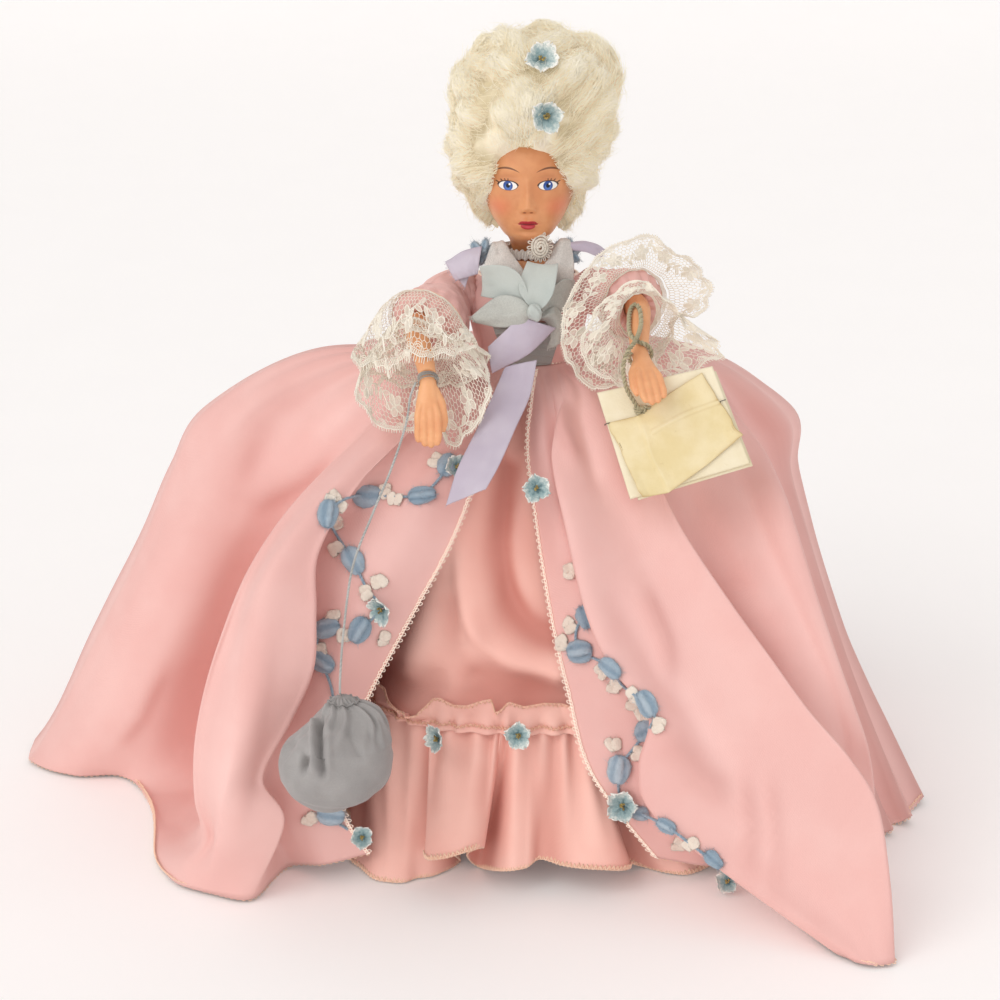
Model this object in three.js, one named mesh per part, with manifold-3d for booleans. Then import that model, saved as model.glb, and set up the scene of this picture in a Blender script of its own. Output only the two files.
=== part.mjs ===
// Jointed costume doll in eighteenth-century court dress, about 8 inches tall with its wig.
// Millimetres, +Z up, the doll faces -Y, its right side is -X. The origin is the bottom centre of the bounding box.
import * as THREE from "three";
import { mergeVertices } from "three/addons/utils/BufferGeometryUtils.js";
import Module from "manifold-3d";

const wasm = await Module();
wasm.setup();

// ---- driving dimensions -------------------------------------------------------------------------
const AX = 19.04, AY = 9.03; // the doll's upright axis, measured from the origin
const CLEAR = 0.4; // running gap between pieces
const WALL = 1.6; // torso shell
const CLOTH = 1.0; // overskirt and underskirt
const TRIM = 1.2; // ribbons
const SHOULDER_X = 17.2, SHOULDER_Z = 137; // arm pivots
const NECK_R = 4.2, NECK_HOLE_R = 4.7;
const ELASTIC_R = 0.8;
const LEG_X = 7.2, HIP_Z = 91.6;
const WAIST_Z = 118.6;
const CORD_R = 0.45;

// Overskirt control net: 23 meridians from the right front edge round the back to the left front edge,
// each with 7 points from waist to hem.
const NET = [
  [[-2.3, -12, 118.6], [-5.8, -19.2, 114], [-9.6, -27, 104.9], [-19.5, -46, 83.1], [-38.6, -55, 49], [-47.1, -62, 25.1], [-39.6, -61.5, 7.3]],
  [[-4.4, -11.5, 118.6], [-10.2, -20.9, 114.3], [-16.5, -31, 105.4], [-32.4, -51, 85], [-46.6, -58, 55.2], [-54, -62, 26.5], [-50.9, -62, 4.5]],
  [[-6.9, -10.5, 118.6], [-15.1, -19.8, 114.5], [-24, -30, 105.9], [-48, -42, 80.5], [-52.7, -46, 50.9], [-57.7, -51, 22.3], [-60.9, -56.7, 1]],
  [[-9.5, -8.6, 118.6], [-19.9, -21.3, 116.3], [-31.2, -35, 107.5], [-56.4, -62, 85.6], [-62.1, -71, 58.4], [-67.4, -77, 32.9], [-71, -72.8, 0.7]],
  [[-11.4, -6.5, 118.6], [-25.1, -17.8, 117.8], [-40, -30, 108.5], [-68.6, -52, 81.7], [-78.3, -60, 51.3], [-85, -64, 23.4], [-90.9, -64.1, 0.7]],
  [[-12.6, -4.2, 118.6], [-31.7, -8.9, 116.6], [-52.3, -14, 104], [-74.9, -20, 69.9], [-87.5, -24, 34.8], [-95.4, -27, 14.4], [-100.8, -24.5, 1]],
  [[-13.3, -1.7, 118.6], [-44.5, -2.4, 118.1], [-69.9, -3, 104.1], [-92.6, -5, 65.5], [-111.2, -4, 25.6], [-120.8, -5, 9.5], [-123.7, -6.9, 1]],
  [[-13.3, 1.3, 118.6], [-54.1, 4.9, 117.2], [-89.9, 8, 100.1], [-108.7, 11, 62.3], [-127.3, 12, 25.9], [-137.1, 12, 6.8], [-140.4, 3.7, 1.5]],
  [[-11.6, 6.1, 118.6], [-49.2, 19.4, 116.2], [-82, 31, 98], [-99, 40, 70], [-109, 45, 42], [-114, 48, 20], [-117, 50, 1]],
  [[-7.5, 10.1, 118.6], [-32, 29.9, 117.2], [-52, 46, 101], [-70, 60, 70], [-80, 67, 42], [-84, 71, 20], [-87, 74, 1]],
  [[-2.8, 11.9, 118.6], [-10.1, 31.2, 117.6], [-18, 52, 103], [-27, 68, 70], [-33, 76, 42], [-37, 80, 20], [-40, 83, 1]],
  [[2.8, 11.9, 118.6], [10.1, 31.2, 117.6], [18, 52, 103], [24, 68, 70], [28, 76, 42], [31, 80, 20], [33, 83, 1]],
  [[7.5, 10.1, 118.6], [30, 29.5, 117.2], [48, 45, 101], [58, 58, 70], [65, 66, 42], [71, 70, 20], [75, 73, 1]],
  [[11.6, 6.1, 118.6], [41.9, 18.1, 117.7], [67, 28, 101], [75, 36, 70], [84, 40, 42], [91, 43, 20], [97, 46, 1]],
  [[13.3, 1.3, 118.6], [45.1, 3.9, 118.3], [71.3, 6, 102.4], [77.2, 6, 70], [87.9, 4, 32.5], [100, 2, 6.1], [102.7, -28.8, 1.5]],
  [[13.3, -1.7, 118.6], [39.6, -5.3, 118.2], [59.9, -8, 104.3], [68, -12, 71], [79.2, -16, 38.4], [89.8, -20, 10.9], [93.2, -38.9, 1]],
  [[12.6, -4.2, 118.6], [29.3, -8.9, 116.3], [47.5, -14, 103.5], [57, -22, 69.3], [70.9, -30, 36.1], [83.1, -36, 11.7], [87.5, -48.5, 1]],
  [[11.4, -6.5, 118.6], [22, -17.8, 115.2], [33.6, -30, 103.3], [51.1, -50, 69.6], [67, -64, 46.5], [81.9, -76, 28.3], [85.2, -100.6, 0.7]],
  [[9.5, -8.6, 118.6], [14.9, -22.2, 115.1], [20.8, -37, 105.1], [32.9, -63, 75], [47.3, -78, 51.3], [62.6, -92, 28.9], [75.5, -96.2, 0.7]],
  [[7.1, -10.3, 118.6], [8.7, -23.1, 114.3], [10.4, -37, 105.6], [15.9, -61, 74.1], [28.7, -72, 50.2], [45.3, -78, 22.7], [63.4, -83.2, 0.7]],
  [[5, -11.3, 118.6], [6.7, -20.8, 113.4], [8.5, -31, 103.6], [18.9, -46, 68.8], [33.4, -54, 41.7], [44.6, -58, 18.9], [53.3, -56.7, 1]],
  [[3.2, -11.8, 118.6], [3.8, -21.5, 113.6], [4.5, -32, 103.9], [12.8, -51, 70.8], [24, -61, 45], [33.4, -67, 25], [43.6, -62, 4]],
  [[1.9, -12.1, 118.6], [1, -19.7, 112.9], [0, -28, 102.6], [5.2, -46, 68.8], [10.4, -57, 46.7], [15.8, -63.5, 30], [31.7, -63, 7]],
];

// Torso, head and wig profiles: height, half width, half depth, depth of the centre.
const TORSO = [
  [92, 14.5, 10.2, 0], [100, 15.5, 11, 0], [108, 13.6, 9.8, 0], [117, 10.8, 8.3, 0], [124, 12.3, 9, -0.5],
  [131, 14, 10.2, -1.2], [136, 14.6, 9.4, -0.6], [140, 13.6, 7.8, 0], [143, 9.5, 6.4, 0], [146, 6.2, 5.6, 0],
];
const HEAD = [
  [149.6, 4.2, 4.2, 0], [151.6, 6.2, 7.4, -3.2], [154, 8.4, 9.9, -2.6], [158, 10.6, 12, -1.3], [163.5, 12.2, 13.3, -0.2],
  [169, 12.9, 14, 0.6], [175, 12.6, 13.6, 1], [180, 10, 10.8, 1.2], [182.6, 6, 6.6, 1.2], [183.6, 2, 2, 1.2],
];
const WIG = [
  [152.6, 11.4, 10.5, 5], [158, 16.2, 14.6, 3.2], [165, 19.5, 16.8, 2], [173, 21.8, 18.8, 1], [182, 22.2, 19.4, 0.6],
  [190, 22.3, 18.8, 1], [196.5, 19.4, 16.4, 1.5], [200.6, 13, 11.4, 2], [202.6, 6, 6, 2],
];
// Underskirt and flounce: height, half width, half depth, centre x, squareness of the outline.
const PETTICOAT = [[112.6, 13.5, 10.6, 0, 2], [106, 24, 17, 0.3, 2], [96, 32, 24.5, 0.8, 2.1], [70, 38, 37, 2.4, 2.4], [36, 42, 47, 3.6, 2.8], [8, 44, 51, 4, 3]];
const UNDERSKIRT = [[116.4, 13.1, 10.9, 0, 2], [112, 20, 15.5, 0, 2], [104, 30, 22, 0.5, 2.1], [92, 38, 31, 1, 2.2], [70, 43.5, 42.4, 2.5, 2.5], [50, 47, 49.6, 3.3, 2.8], [36.8, 48.5, 54.5, 3.8, 3]];
const HEADING = [[45.4, 49.8, 55, 3.6, 3], [41, 49.7, 55.4, 3.7, 3], [37.6, 50.4, 56.6, 3.8, 3]];
const FLOUNCE = [[36, 49, 55.2, 3.8, 3], [24, 49.8, 56.6, 4, 3.1], [12, 50.4, 57.8, 4, 3.1], [0.3, 51, 59, 4, 3.2]];

// Arm centre lines with half width and half thickness, shoulder to fingertip.
const RIGHT_ARM = [
  [-17.2, 0, 137, 3.2, 3.2], [-18.7, -0.8, 137, 4.2, 4.2], [-21, -4, 136.2, 4.1, 4.1], [-25, -10.5, 133.8, 3.6, 3.6],
  [-28.3, -17, 131.4, 3.1, 3.1], [-27.2, -24, 129.8, 3, 3], [-25.6, -31.5, 127.4, 2.5, 2.5], [-24.5, -38, 125, 2, 2],
  [-24.3, -41, 120, 3, 1.8], [-24.3, -43, 115.5, 3.3, 1.7], [-24.3, -44.5, 111, 2.6, 1.4], [-24.3, -45.4, 108.4, 1.2, 0.8],
];
const LEFT_ARM = [
  [17.2, 0, 137, 3.2, 3.2], [18.7, -0.8, 137.2, 4.2, 4.2], [21, -4, 137.2, 4.1, 4.1], [24.7, -9.5, 137, 3.6, 3.6],
  [27.6, -15.5, 136.3, 3.1, 3.1], [27.6, -22, 134.8, 3, 3], [27.4, -30, 132, 2.5, 2.5], [27.3, -36, 129.9, 2, 2],
  [28.2, -42.2, 128, 3, 1.7], [29.2, -47, 126, 3.3, 1.6], [30, -51, 123.8, 2.6, 1.3], [30.4, -53.6, 122.2, 1.2, 0.8],
];
// Cord loop from the left wrist to the tag's corner.
const TAG_CORD = [[24.35, -36.9, 132.8], [24.2, -35.6, 135.4], [23.8, -36.8, 136.2], [23.2, -39.6, 132], [21.4, -42.4, 127], [21, -43.2, 124.6]];

// ---- helpers ------------------------------------------------------------------------------------
const V = (x, y, z) => new THREE.Vector3(x, y, z);
const lerp = (a, b, t) => a + (b - a) * t;

function spline(points, t) {
  // Catmull-Rom through equal-length number rows, straight beyond both ends.
  const n = points.length, i = Math.min(Math.max(Math.floor(t), 0), n - 2), f = t - i;
  const at = (k) => k < 0 ? points[0].map((c, j) => 2 * c - points[1][j]) : k >= n ? points[n - 1].map((c, j) => 2 * c - points[n - 2][j]) : points[k];
  const [a, b, c, d] = [at(i - 1), at(i), at(i + 1), at(i + 2)];
  return b.map((_, j) => 0.5 * (2 * b[j] + (c[j] - a[j]) * f + (2 * a[j] - 5 * b[j] + 4 * c[j] - d[j]) * f * f + (3 * b[j] - a[j] - 3 * c[j] + d[j]) * f ** 3));
}

function profile(table, z) {
  // Linear look-up by height in a table that rises or falls.
  const t = table[0][0] < table[table.length - 1][0] ? table : [...table].reverse();
  let i = 0;
  while (i < t.length - 2 && z > t[i + 1][0]) i++;
  const f = Math.min(1, Math.max(0, (z - t[i][0]) / (t[i + 1][0] - t[i][0])));
  return t[i].map((c, j) => lerp(c, t[i + 1][j], f));
}

function solid(points, faces) {
  // A closed mesh from points and triangles, with its faces turned outwards.
  let vol = 0;
  for (const [a, b, c] of faces) vol += points[a].dot(V(0, 0, 0).crossVectors(points[b], points[c]));
  const g = new THREE.BufferGeometry();
  g.setAttribute("position", new THREE.Float32BufferAttribute(points.flatMap((p) => [p.x, p.y, p.z]), 3));
  g.setIndex(faces.flatMap(([a, b, c]) => (vol < 0 ? [a, c, b] : [a, b, c])));
  return g;
}

function sheet(grid, t, ring = false) {
  // A cloth of thickness t about a grid of points [row][column]; ring joins the last column to the first.
  const R = grid.length, C = grid[0].length, points = [], faces = [];
  const at = (r, c) => grid[Math.min(R - 1, Math.max(0, r))][ring ? (c + C) % C : Math.min(C - 1, Math.max(0, c))];
  for (const s of [0.5, -0.5])
    for (let r = 0; r < R; r++)
      for (let c = 0; c < C; c++) {
        const du = at(r, c + 1).clone().sub(at(r, c - 1)), dv = at(r + 1, c).clone().sub(at(r - 1, c));
        points.push(at(r, c).clone().addScaledVector(du.cross(dv).normalize(), s * t));
      }
  const id = (s, r, c) => s * R * C + r * C + (c % C);
  const quad = (a, b, c, d) => faces.push([a, b, c], [a, c, d]);
  const W = ring ? C : C - 1;
  for (let r = 0; r < R - 1; r++)
    for (let c = 0; c < W; c++) {
      quad(id(0, r, c), id(0, r, c + 1), id(0, r + 1, c + 1), id(0, r + 1, c));
      quad(id(1, r, c), id(1, r + 1, c), id(1, r + 1, c + 1), id(1, r, c + 1));
    }
  for (let c = 0; c < W; c++) {
    quad(id(0, 0, c), id(1, 0, c), id(1, 0, c + 1), id(0, 0, c + 1));
    quad(id(0, R - 1, c), id(0, R - 1, c + 1), id(1, R - 1, c + 1), id(1, R - 1, c));
  }
  if (!ring)
    for (let r = 0; r < R - 1; r++) {
      quad(id(0, r, 0), id(0, r + 1, 0), id(1, r + 1, 0), id(1, r, 0));
      quad(id(0, r, C - 1), id(1, r, C - 1), id(1, r + 1, C - 1), id(0, r + 1, C - 1));
    }
  return solid(points, faces);
}

function loft(rings) {
  // A capped body through rings of equal point count.
  const C = rings[0].length, points = rings.flat(), faces = [];
  for (let r = 0; r < rings.length - 1; r++)
    for (let c = 0; c < C; c++) {
      const a = r * C + c, b = r * C + ((c + 1) % C);
      faces.push([a, b, b + C], [a, b + C, a + C]);
    }
  const mid = (ring) => ring.reduce((s, p) => s.add(p), V(0, 0, 0)).multiplyScalar(1 / C);
  const lo = points.push(mid(rings[0])) - 1, hi = points.push(mid(rings[rings.length - 1])) - 1, last = (rings.length - 1) * C;
  for (let c = 0; c < C; c++) faces.push([lo, (c + 1) % C, c], [hi, last + c, last + ((c + 1) % C)]);
  return solid(points, faces);
}

function oval(z, rx, ry, cx, cy, n, count) {
  // Level outline with squareness n (2 is an ellipse).
  const out = [];
  for (let i = 0; i < count; i++) {
    const a = (2 * Math.PI * i) / count, c = Math.cos(a), s = Math.sin(a);
    const k = (Math.abs(c) ** n + Math.abs(s) ** n) ** (-1 / n);
    out.push(V(cx + rx * k * c, cy + ry * k * s, z));
  }
  return out;
}
const bodyRings = (table, grow, count) => table.map(([z, rx, ry, cy]) => oval(z, rx + grow, ry + grow, 0, cy, 2, count));
const skirtRings = (table, count) => table.map(([z, rx, ry, cx, n]) => oval(z, rx, ry, cx, 0, n, count));

function across(a, b, c) {
  // Frame square to the middle of the path a-b-c: side and up directions.
  const t = c.clone().sub(a).normalize(), side = V(1, 0, 0).addScaledVector(t, -t.x).normalize();
  return [side, V(0, 0, 0).crossVectors(side, t).normalize()];
}

function limb(path, count) {
  // Arm through its stations; the rings turn with the path, and the hand is flat across X.
  const p = path.map(([x, y, z]) => V(x, y, z)), n = p.length;
  let carried = V(0, 1, 0);
  return loft(path.map(([, , , a, b], i) => {
    const t = i ? p[Math.min(i + 1, n - 1)].clone().sub(p[i - 1]).normalize() : V(Math.sign(path[0][0]), 0, 0);
    carried = carried.clone().addScaledVector(t, -carried.dot(t)).normalize();
    const side = i < 7 ? carried : V(1, 0, 0).addScaledVector(t, -t.x).normalize();
    const up = V(0, 0, 0).crossVectors(t, side), turn = Math.atan2(carried.dot(up), carried.dot(side));
    return Array.from({ length: count }, (_, k) => {
      const w = (2 * Math.PI * k) / count + turn;
      return p[i].clone().addScaledVector(side, a * Math.cos(w)).addScaledVector(up, b * Math.sin(w));
    });
  }));
}

function cuff(stations, count, t, next) {
  // Gathered tube of cloth: stations are centre point and radius; next is where the path goes on.
  const p = stations.map(([x, y, z]) => V(x, y, z));
  if (next) p.push(V(...next));
  return sheet(stations.map(([, , , r], i) => {
    const [side, up] = across(p[Math.max(i - 1, 0)], p[i], p[Math.min(i + 1, p.length - 1)]);
    return Array.from({ length: count }, (_, k) => {
      const w = (2 * Math.PI * k) / count;
      return p[i].clone().addScaledVector(side, r * Math.cos(w)).addScaledVector(up, r * Math.sin(w));
    });
  }), t, true);
}

function tube(path, r, steps, sides = 8) {
  const s = new THREE.Shape();
  for (let i = 0; i < sides; i++) {
    const a = (2 * Math.PI * i) / sides;
    i ? s.lineTo(r * Math.cos(a), r * Math.sin(a)) : s.moveTo(r, 0);
  }
  s.closePath();
  return new THREE.ExtrudeGeometry(s, { steps, bevelEnabled: false, extrudePath: new THREE.CatmullRomCurve3(path.map(([x, y, z]) => V(x, y, z)), false, "centripetal") });
}

function flower(r, depth, petals = 5, per = 2) {
  // Lobed disc with its face along +Z.
  const s = new THREE.Shape(), n = petals * per;
  for (let i = 0; i < n; i++) {
    const a = (2 * Math.PI * i) / n, k = r * (0.8 + 0.2 * Math.cos(petals * a));
    i ? s.lineTo(k * Math.cos(a), k * Math.sin(a)) : s.moveTo(k, 0);
  }
  s.closePath();
  return new THREE.ExtrudeGeometry(s, { depth, bevelEnabled: false, steps: 1 });
}

function toSolid(g) {
  const c = (g.index ? g.toNonIndexed() : g.clone());
  for (const k of Object.keys(c.attributes)) if (k !== "position") c.deleteAttribute(k);
  const m = mergeVertices(c, 1e-4);
  return new wasm.Manifold(new wasm.Mesh({ numProp: 3, vertProperties: new Float32Array(m.attributes.position.array), triVerts: new Uint32Array(m.index.array) }));
}
function toGeometry(m) {
  const mesh = m.getMesh(), n = mesh.numProp, p = [];
  for (let i = 0; i < mesh.numVert; i++) p.push(...mesh.vertProperties.subarray(i * n, i * n + 3));
  return new THREE.BufferGeometry().setAttribute("position", new THREE.Float32BufferAttribute(p, 3)).setIndex(Array.from(mesh.triVerts));
}
const block = (x0, y0, z0, x1, y1, z1) => toSolid(new THREE.BoxGeometry(x1 - x0, y1 - y0, z1 - z0).translate((x0 + x1) / 2, (y0 + y1) / 2, (z0 + z1) / 2));
const rodX = (r, x0, x1, z, sides = 12) => new THREE.CylinderGeometry(r, r, x1 - x0, sides).rotateZ(Math.PI / 2).translate((x0 + x1) / 2, 0, z);

// ---- scene --------------------------------------------------------------------------------------
const doll = new THREE.Group();
doll.position.set(AX, AY, 0);

function put(name, geometry, colour, roughness = 0.8, metalness = 0) {
  const mesh = new THREE.Mesh(geometry, new THREE.MeshStandardMaterial({ color: colour, roughness, metalness }));
  mesh.name = name;
  doll.add(mesh);
  return mesh;
}
function putFacing(name, geometry, at, normal, colour) {
  const mesh = put(name, geometry, colour);
  mesh.position.set(...at);
  mesh.quaternion.setFromUnitVectors(V(0, 0, 1), V(...normal).normalize());
  return mesh;
}

const SKIN = 0xd9a27a, HAIR = 0xe4dcc6, PINK = 0xf2b6b0, LACE = 0xf3efe2, AQUA = 0xa9c6cc, GREYBLUE = 0x9fb0bf, LAVENDER = 0xa9a9c9, BLUE = 0x8aa6c6;

// ---- torso: two moulded halves, with a neck hole and a hole for the arm elastic -----------------
{
  const outer = toSolid(loft(bodyRings(TORSO, 0, 18)));
  const inner = toSolid(loft(bodyRings(TORSO.map(([z, a, b, c]) => [z === 92 ? 92 + WALL : z, a, b, c]), -WALL, 18)));
  const neck = toSolid(new THREE.CylinderGeometry(NECK_HOLE_R, NECK_HOLE_R, 10, 14).rotateX(Math.PI / 2).translate(0, 0, 145));
  const shell = outer.subtract(inner).subtract(neck).subtract(toSolid(rodX(1.9, -30, 30, SHOULDER_Z)));
  put("torso_front", toGeometry(shell.intersect(block(-40, -40, 0, 40, -0.15, 300))), SKIN, 0.5);
  put("torso_back", toGeometry(shell.intersect(block(-40, 0.15, 0, 40, 40, 300))), SKIN, 0.5);
  put("arm_elastic", rodX(ELASTIC_R, -18.6, 18.6, SHOULDER_Z, 10), 0xe8e4d8);
  const dress = toSolid(loft([119.4, 124, 131, 136, 140, 141.8].map((z) => { const [, a, b, c] = profile(TORSO, z); return oval(z, a + 1.5, b + 1.5, 0, c, 2, 18); })));
  const lining = toSolid(loft([117, 119.4, 124, 131, 136, 140, 141.8, 143].map((z) => { const [, a, b, c] = profile(TORSO, z); return oval(z, a + CLEAR, b + CLEAR, 0, c, 2, 18); })));
  put("bodice", toGeometry(dress.subtract(lining).subtract(toSolid(rodX(2.4, -30, 30, SHOULDER_Z)))), PINK);
}

// ---- legs with moulded shoes --------------------------------------------------------------------
for (const [name, s] of [["right_leg", -1], ["left_leg", 1]]) {
  const leg = loft([[4, 3.4, 3.6, 0], [12, 3.1, 3.3, 0.4], [26, 4.4, 4.8, 0.8], [36, 4.6, 5, 0.8], [46, 4.2, 4.6, 0], [60, 5.2, 5.6, 0], [80, 6.3, 6.8, 0], [HIP_Z, 6.2, 6.8, 0]]
    .map(([z, a, b, cy]) => oval(z, a, b, s * LEG_X, cy, 2, 10)));
  const sole = new THREE.Shape();
  [[0, 5], [3, 4.2], [3.6, 1], [3.5, -4], [4.1, -9], [3.2, -13], [0.4, -15.4], [-2.4, -13.4], [-3.4, -9], [-3.1, -4], [-3.2, 1], [-2.8, 4.2]]
    .forEach(([x, y], i) => (i ? sole.lineTo(x * s, y) : sole.moveTo(x * s, y)));
  sole.closePath();
  const foot = new THREE.ExtrudeGeometry(sole, { depth: 4.6, bevelEnabled: false, steps: 1 }).translate(s * LEG_X, 0, 0);
  put(name, toGeometry(toSolid(leg).add(toSolid(foot))), SKIN, 0.5);
}

// ---- head, wig cap, wig -------------------------------------------------------------------------
{
  const plug = [[139.6, 4.95, 4.95, 0], [140.9, 4.95, 4.95, 0], [141.2, NECK_R, NECK_R, 0]];
  put("head", loft(bodyRings([...plug, ...HEAD], 0, 16)), SKIN, 0.45);
  const grown = (g) => toSolid(loft(bodyRings(HEAD.map(([z, a, b, c], i) => [i === HEAD.length - 1 ? z + g : z, a, b, c]), g, 16)));
  const face = toSolid(loft([-60, -2.2].map((y) => oval(0, 10.8, 15.2, 0, 0, 2, 14).map((p) => V(p.x, y, 161.5 + p.y)))));
  const cap = grown(1).subtract(grown(CLEAR)).subtract(block(-40, -60, 100, 40, -2.2, 176.5)).subtract(block(-40, -60, 100, 40, 60, 160));
  put("wig_cap", toGeometry(cap), HAIR);
  const wig = toSolid(loft(bodyRings(WIG, 0, 18))).subtract(grown(1.4)).subtract(face).subtract(block(-60, -60, 100, 60, 60, 152.7))
    .subtract(toSolid(new THREE.CylinderGeometry(6, 6, 40, 16).rotateX(Math.PI / 2).translate(0, 0, 140)));
  put("wig", toGeometry(wig), HAIR, 0.95);
  putFacing("hair_flower_upper", flower(4.1, 1.4), [3, -16, 197.4], [0.1, -0.9, 0.42], AQUA);
  putFacing("hair_flower_lower", flower(4.3, 1.4), [4, -19.6, 186.2], [0.12, -0.98, 0.15], AQUA);
}

// ---- arms, their hooks, wrist cords -------------------------------------------------------------
for (const [side, path, s] of [["right", RIGHT_ARM, -1], ["left", LEFT_ARM, 1]]) {
  const arm = toSolid(limb(path, 10)).subtract(toSolid(rodX(1.7, s < 0 ? -20.6 : 16, s < 0 ? -16 : 20.6, SHOULDER_Z)));
  put(side + "_arm", toGeometry(arm), SKIN, 0.45);
  put(side + "_arm_hook", new THREE.CylinderGeometry(0.45, 0.45, 2.7, 8).rotateX(Math.PI / 2).translate(s * 19.6, 0, SHOULDER_Z), 0xb8b8b8, 0.4, 0.9);
  const w = path[7];
  const turn = new THREE.TorusGeometry(s < 0 ? 3.1 : 4.2, CORD_R, 8, 14)
    .applyQuaternion(new THREE.Quaternion().setFromUnitVectors(V(0, 0, 1), V(path[8][0] - path[6][0], path[8][1] - path[6][1], path[8][2] - path[6][2]).normalize()))
    .translate(w[0], w[1], w[2]);
  if (s < 0) put("right_wrist_cord", turn, 0xb9b9ad);
  // on the left wrist the same cord goes on in a loop down to the card tag
  else put("tag_cord", toGeometry(toSolid(turn).add(toSolid(tube(TAG_CORD, CORD_R, 14)))), 0xc9c3a8);
}

// ---- sleeves and their two tiers of lace --------------------------------------------------------
put("right_sleeve", cuff([[-20.6, -3.6, 136.3, 5.4], [-23, -7.2, 135, 6.2], [-26, -12.3, 133.1, 6.9], [-28.3, -16.6, 131.5, 7.2]], 14, 0.9, [-26.4, -23.6, 129.8]), PINK);
put("right_lace_upper", cuff([[-28.1, -18.8, 131, 8.6], [-27.6, -21.6, 130.4, 10.6], [-27.2, -25.5, 129.4, 13]], 16, 0.7), LACE);
put("right_lace_lower", cuff([[-27.7, -20.6, 130.5, 5.4], [-27.2, -25, 129.6, 8.2], [-26.2, -30.5, 127.9, 11.4]], 16, 0.7), LACE);
put("left_sleeve", cuff([[20.6, -3.6, 137.1, 5.4], [22.8, -6.7, 137.1, 6.2], [25.4, -10.9, 136.8, 6.9], [27.6, -15, 136.4, 7.2]], 14, 0.9, [27.7, -22, 134.8]), PINK);
put("left_lace_upper", cuff([[27.6, -17.2, 135.9, 8.6], [27.7, -20, 135.2, 10.8], [27.7, -24, 134.2, 13.6]], 16, 0.7), LACE);
put("left_lace_lower", cuff([[27.6, -18.8, 135.6, 5.4], [27.6, -23.6, 134.4, 8.4], [27.5, -29.5, 132.3, 11.8]], 16, 0.7), LACE);

// ---- bodice trimmings ---------------------------------------------------------------------------
function onBodice(z, x, off) {
  // Point in front of the bodice at height z and width x.
  const [, a, b, c] = profile(TORSO, z), k = Math.max(0.05, 1 - (x / (a + off)) ** 2);
  return V(x, c - (b + off) * Math.sqrt(k), z);
}
{
  const rows = (zs, x0, x1, off, n) => zs.map((z, i) => Array.from({ length: n }, (_, k) => onBodice(z, lerp(x0(i / (zs.length - 1)), x1(i / (zs.length - 1)), k / (n - 1)), off)));
  put("stomacher", sheet(rows([131.6, 128, 124, 119.9], (t) => lerp(-9.4, -5.4, t), (t) => lerp(9.4, 5.8, t), 2.3, 9), 0.7), GREYBLUE);
  put("right_fichu", sheet(rows([142.2, 139.6, 136, 132.3], (t) => lerp(-8.8, -6.6, t), (t) => lerp(-4.6, -0.6, t), 2.4, 5), 0.7), GREYBLUE);
  put("left_fichu", sheet(rows([142.2, 139.6, 136, 132.3], (t) => lerp(4.6, 0.6, t), (t) => lerp(8.8, 6.6, t), 2.4, 5), 0.7), GREYBLUE);
}
{
  // ruched band round the neck with a rosette sewn on its front
  const band = sheet([148.5, 147.4, 146.5].map((z, i) => oval(z, 5.5 + 0.3 * i, 5.5 + 0.3 * i, 0, 0, 2, 16)), 1, true);
  const rosette = flower(2.3, 2.4).applyQuaternion(new THREE.Quaternion().setFromUnitVectors(V(0, 0, 1), V(0.2, -1, 0).normalize())).translate(2.9, -5.4, 148.2);
  put("neck_trim", toGeometry(toSolid(band).add(toSolid(rosette))), LACE);
}
putFacing("right_shoulder_posy", flower(2.5, 1.4), [-11.3, -8.2, 147.6], [-0.3, -0.9, 0.35], BLUE);
putFacing("left_shoulder_posy", flower(2.5, 1.4), [10.6, -8.2, 147.6], [0.3, -0.9, 0.35], BLUE);
const quad = (a, b, c, d, bulge, t = TRIM, n = 4, m = 3) => sheet(Array.from({ length: m }, (_, r) => Array.from({ length: n }, (_, k) => {
  const u = k / (n - 1), v = r / (m - 1);
  const p = V(...a).lerp(V(...b), u).lerp(V(...d).lerp(V(...c), u), v);
  return p.add(V(0, -bulge * 4 * u * (1 - u), 0));
})), t);
put("right_shoulder_ribbon", quad([-15.8, -6.6, 146.6], [-10.6, -7.4, 145.6], [-11.6, -9.9, 141.4], [-15.4, -9.4, 141], 0), LAVENDER);
put("left_shoulder_ribbon", quad([10.6, -7.4, 145.6], [15.8, -6.6, 146.6], [15.4, -9.4, 141.4], [11.6, -9.9, 141.4], 0), LAVENDER);
put("bow_loop_left", quad([-11, -14.4, 146.4], [-2.3, -14.8, 145.6], [-2.5, -17.5, 139.4], [-10.6, -17.2, 140], 1.2), AQUA);
put("bow_loop_right", quad([-1, -14.8, 147.2], [7.5, -14.4, 146], [5.5, -17.5, 138.4], [-1.3, -17.8, 139.2], 1.2), AQUA);
put("bow_end_left", quad([-12.2, -18.6, 133.8], [-7, -19.6, 138.8], [0.3, -20, 137.1], [-4, -19.5, 132.6], 0.4), AQUA);
put("bow_loop_side", quad([6.8, -13.6, 142.2], [11.1, -13.2, 141.6], [9.8, -15, 130], [4.3, -15.8, 131], 0.2), AQUA);
put("bow_knot", new THREE.SphereGeometry(1, 10, 6).scale(2.6, 1.4, 2.3).translate(1.2, -22.4, 137.2), AQUA);
put("sash_upper", quad([2.3, -18.6, 134.7], [7.3, -18.4, 131.2], [-7.8, -20.5, 120.8], [-10.1, -20.4, 125.6], 0.6), LAVENDER);
put("sash_tail", sheet([[[-4, -22.6, 124.6], [2.5, -22.6, 123]], [[-14.3, -35, 111.4], [-6.9, -35, 110.1]], [[-19.8, -46, 96], [-10.3, -46, 98.2]]]
  .map(([a, b]) => Array.from({ length: 4 }, (_, k) => V(...a).lerp(V(...b), k / 3))), 0.9), LAVENDER);

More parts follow.
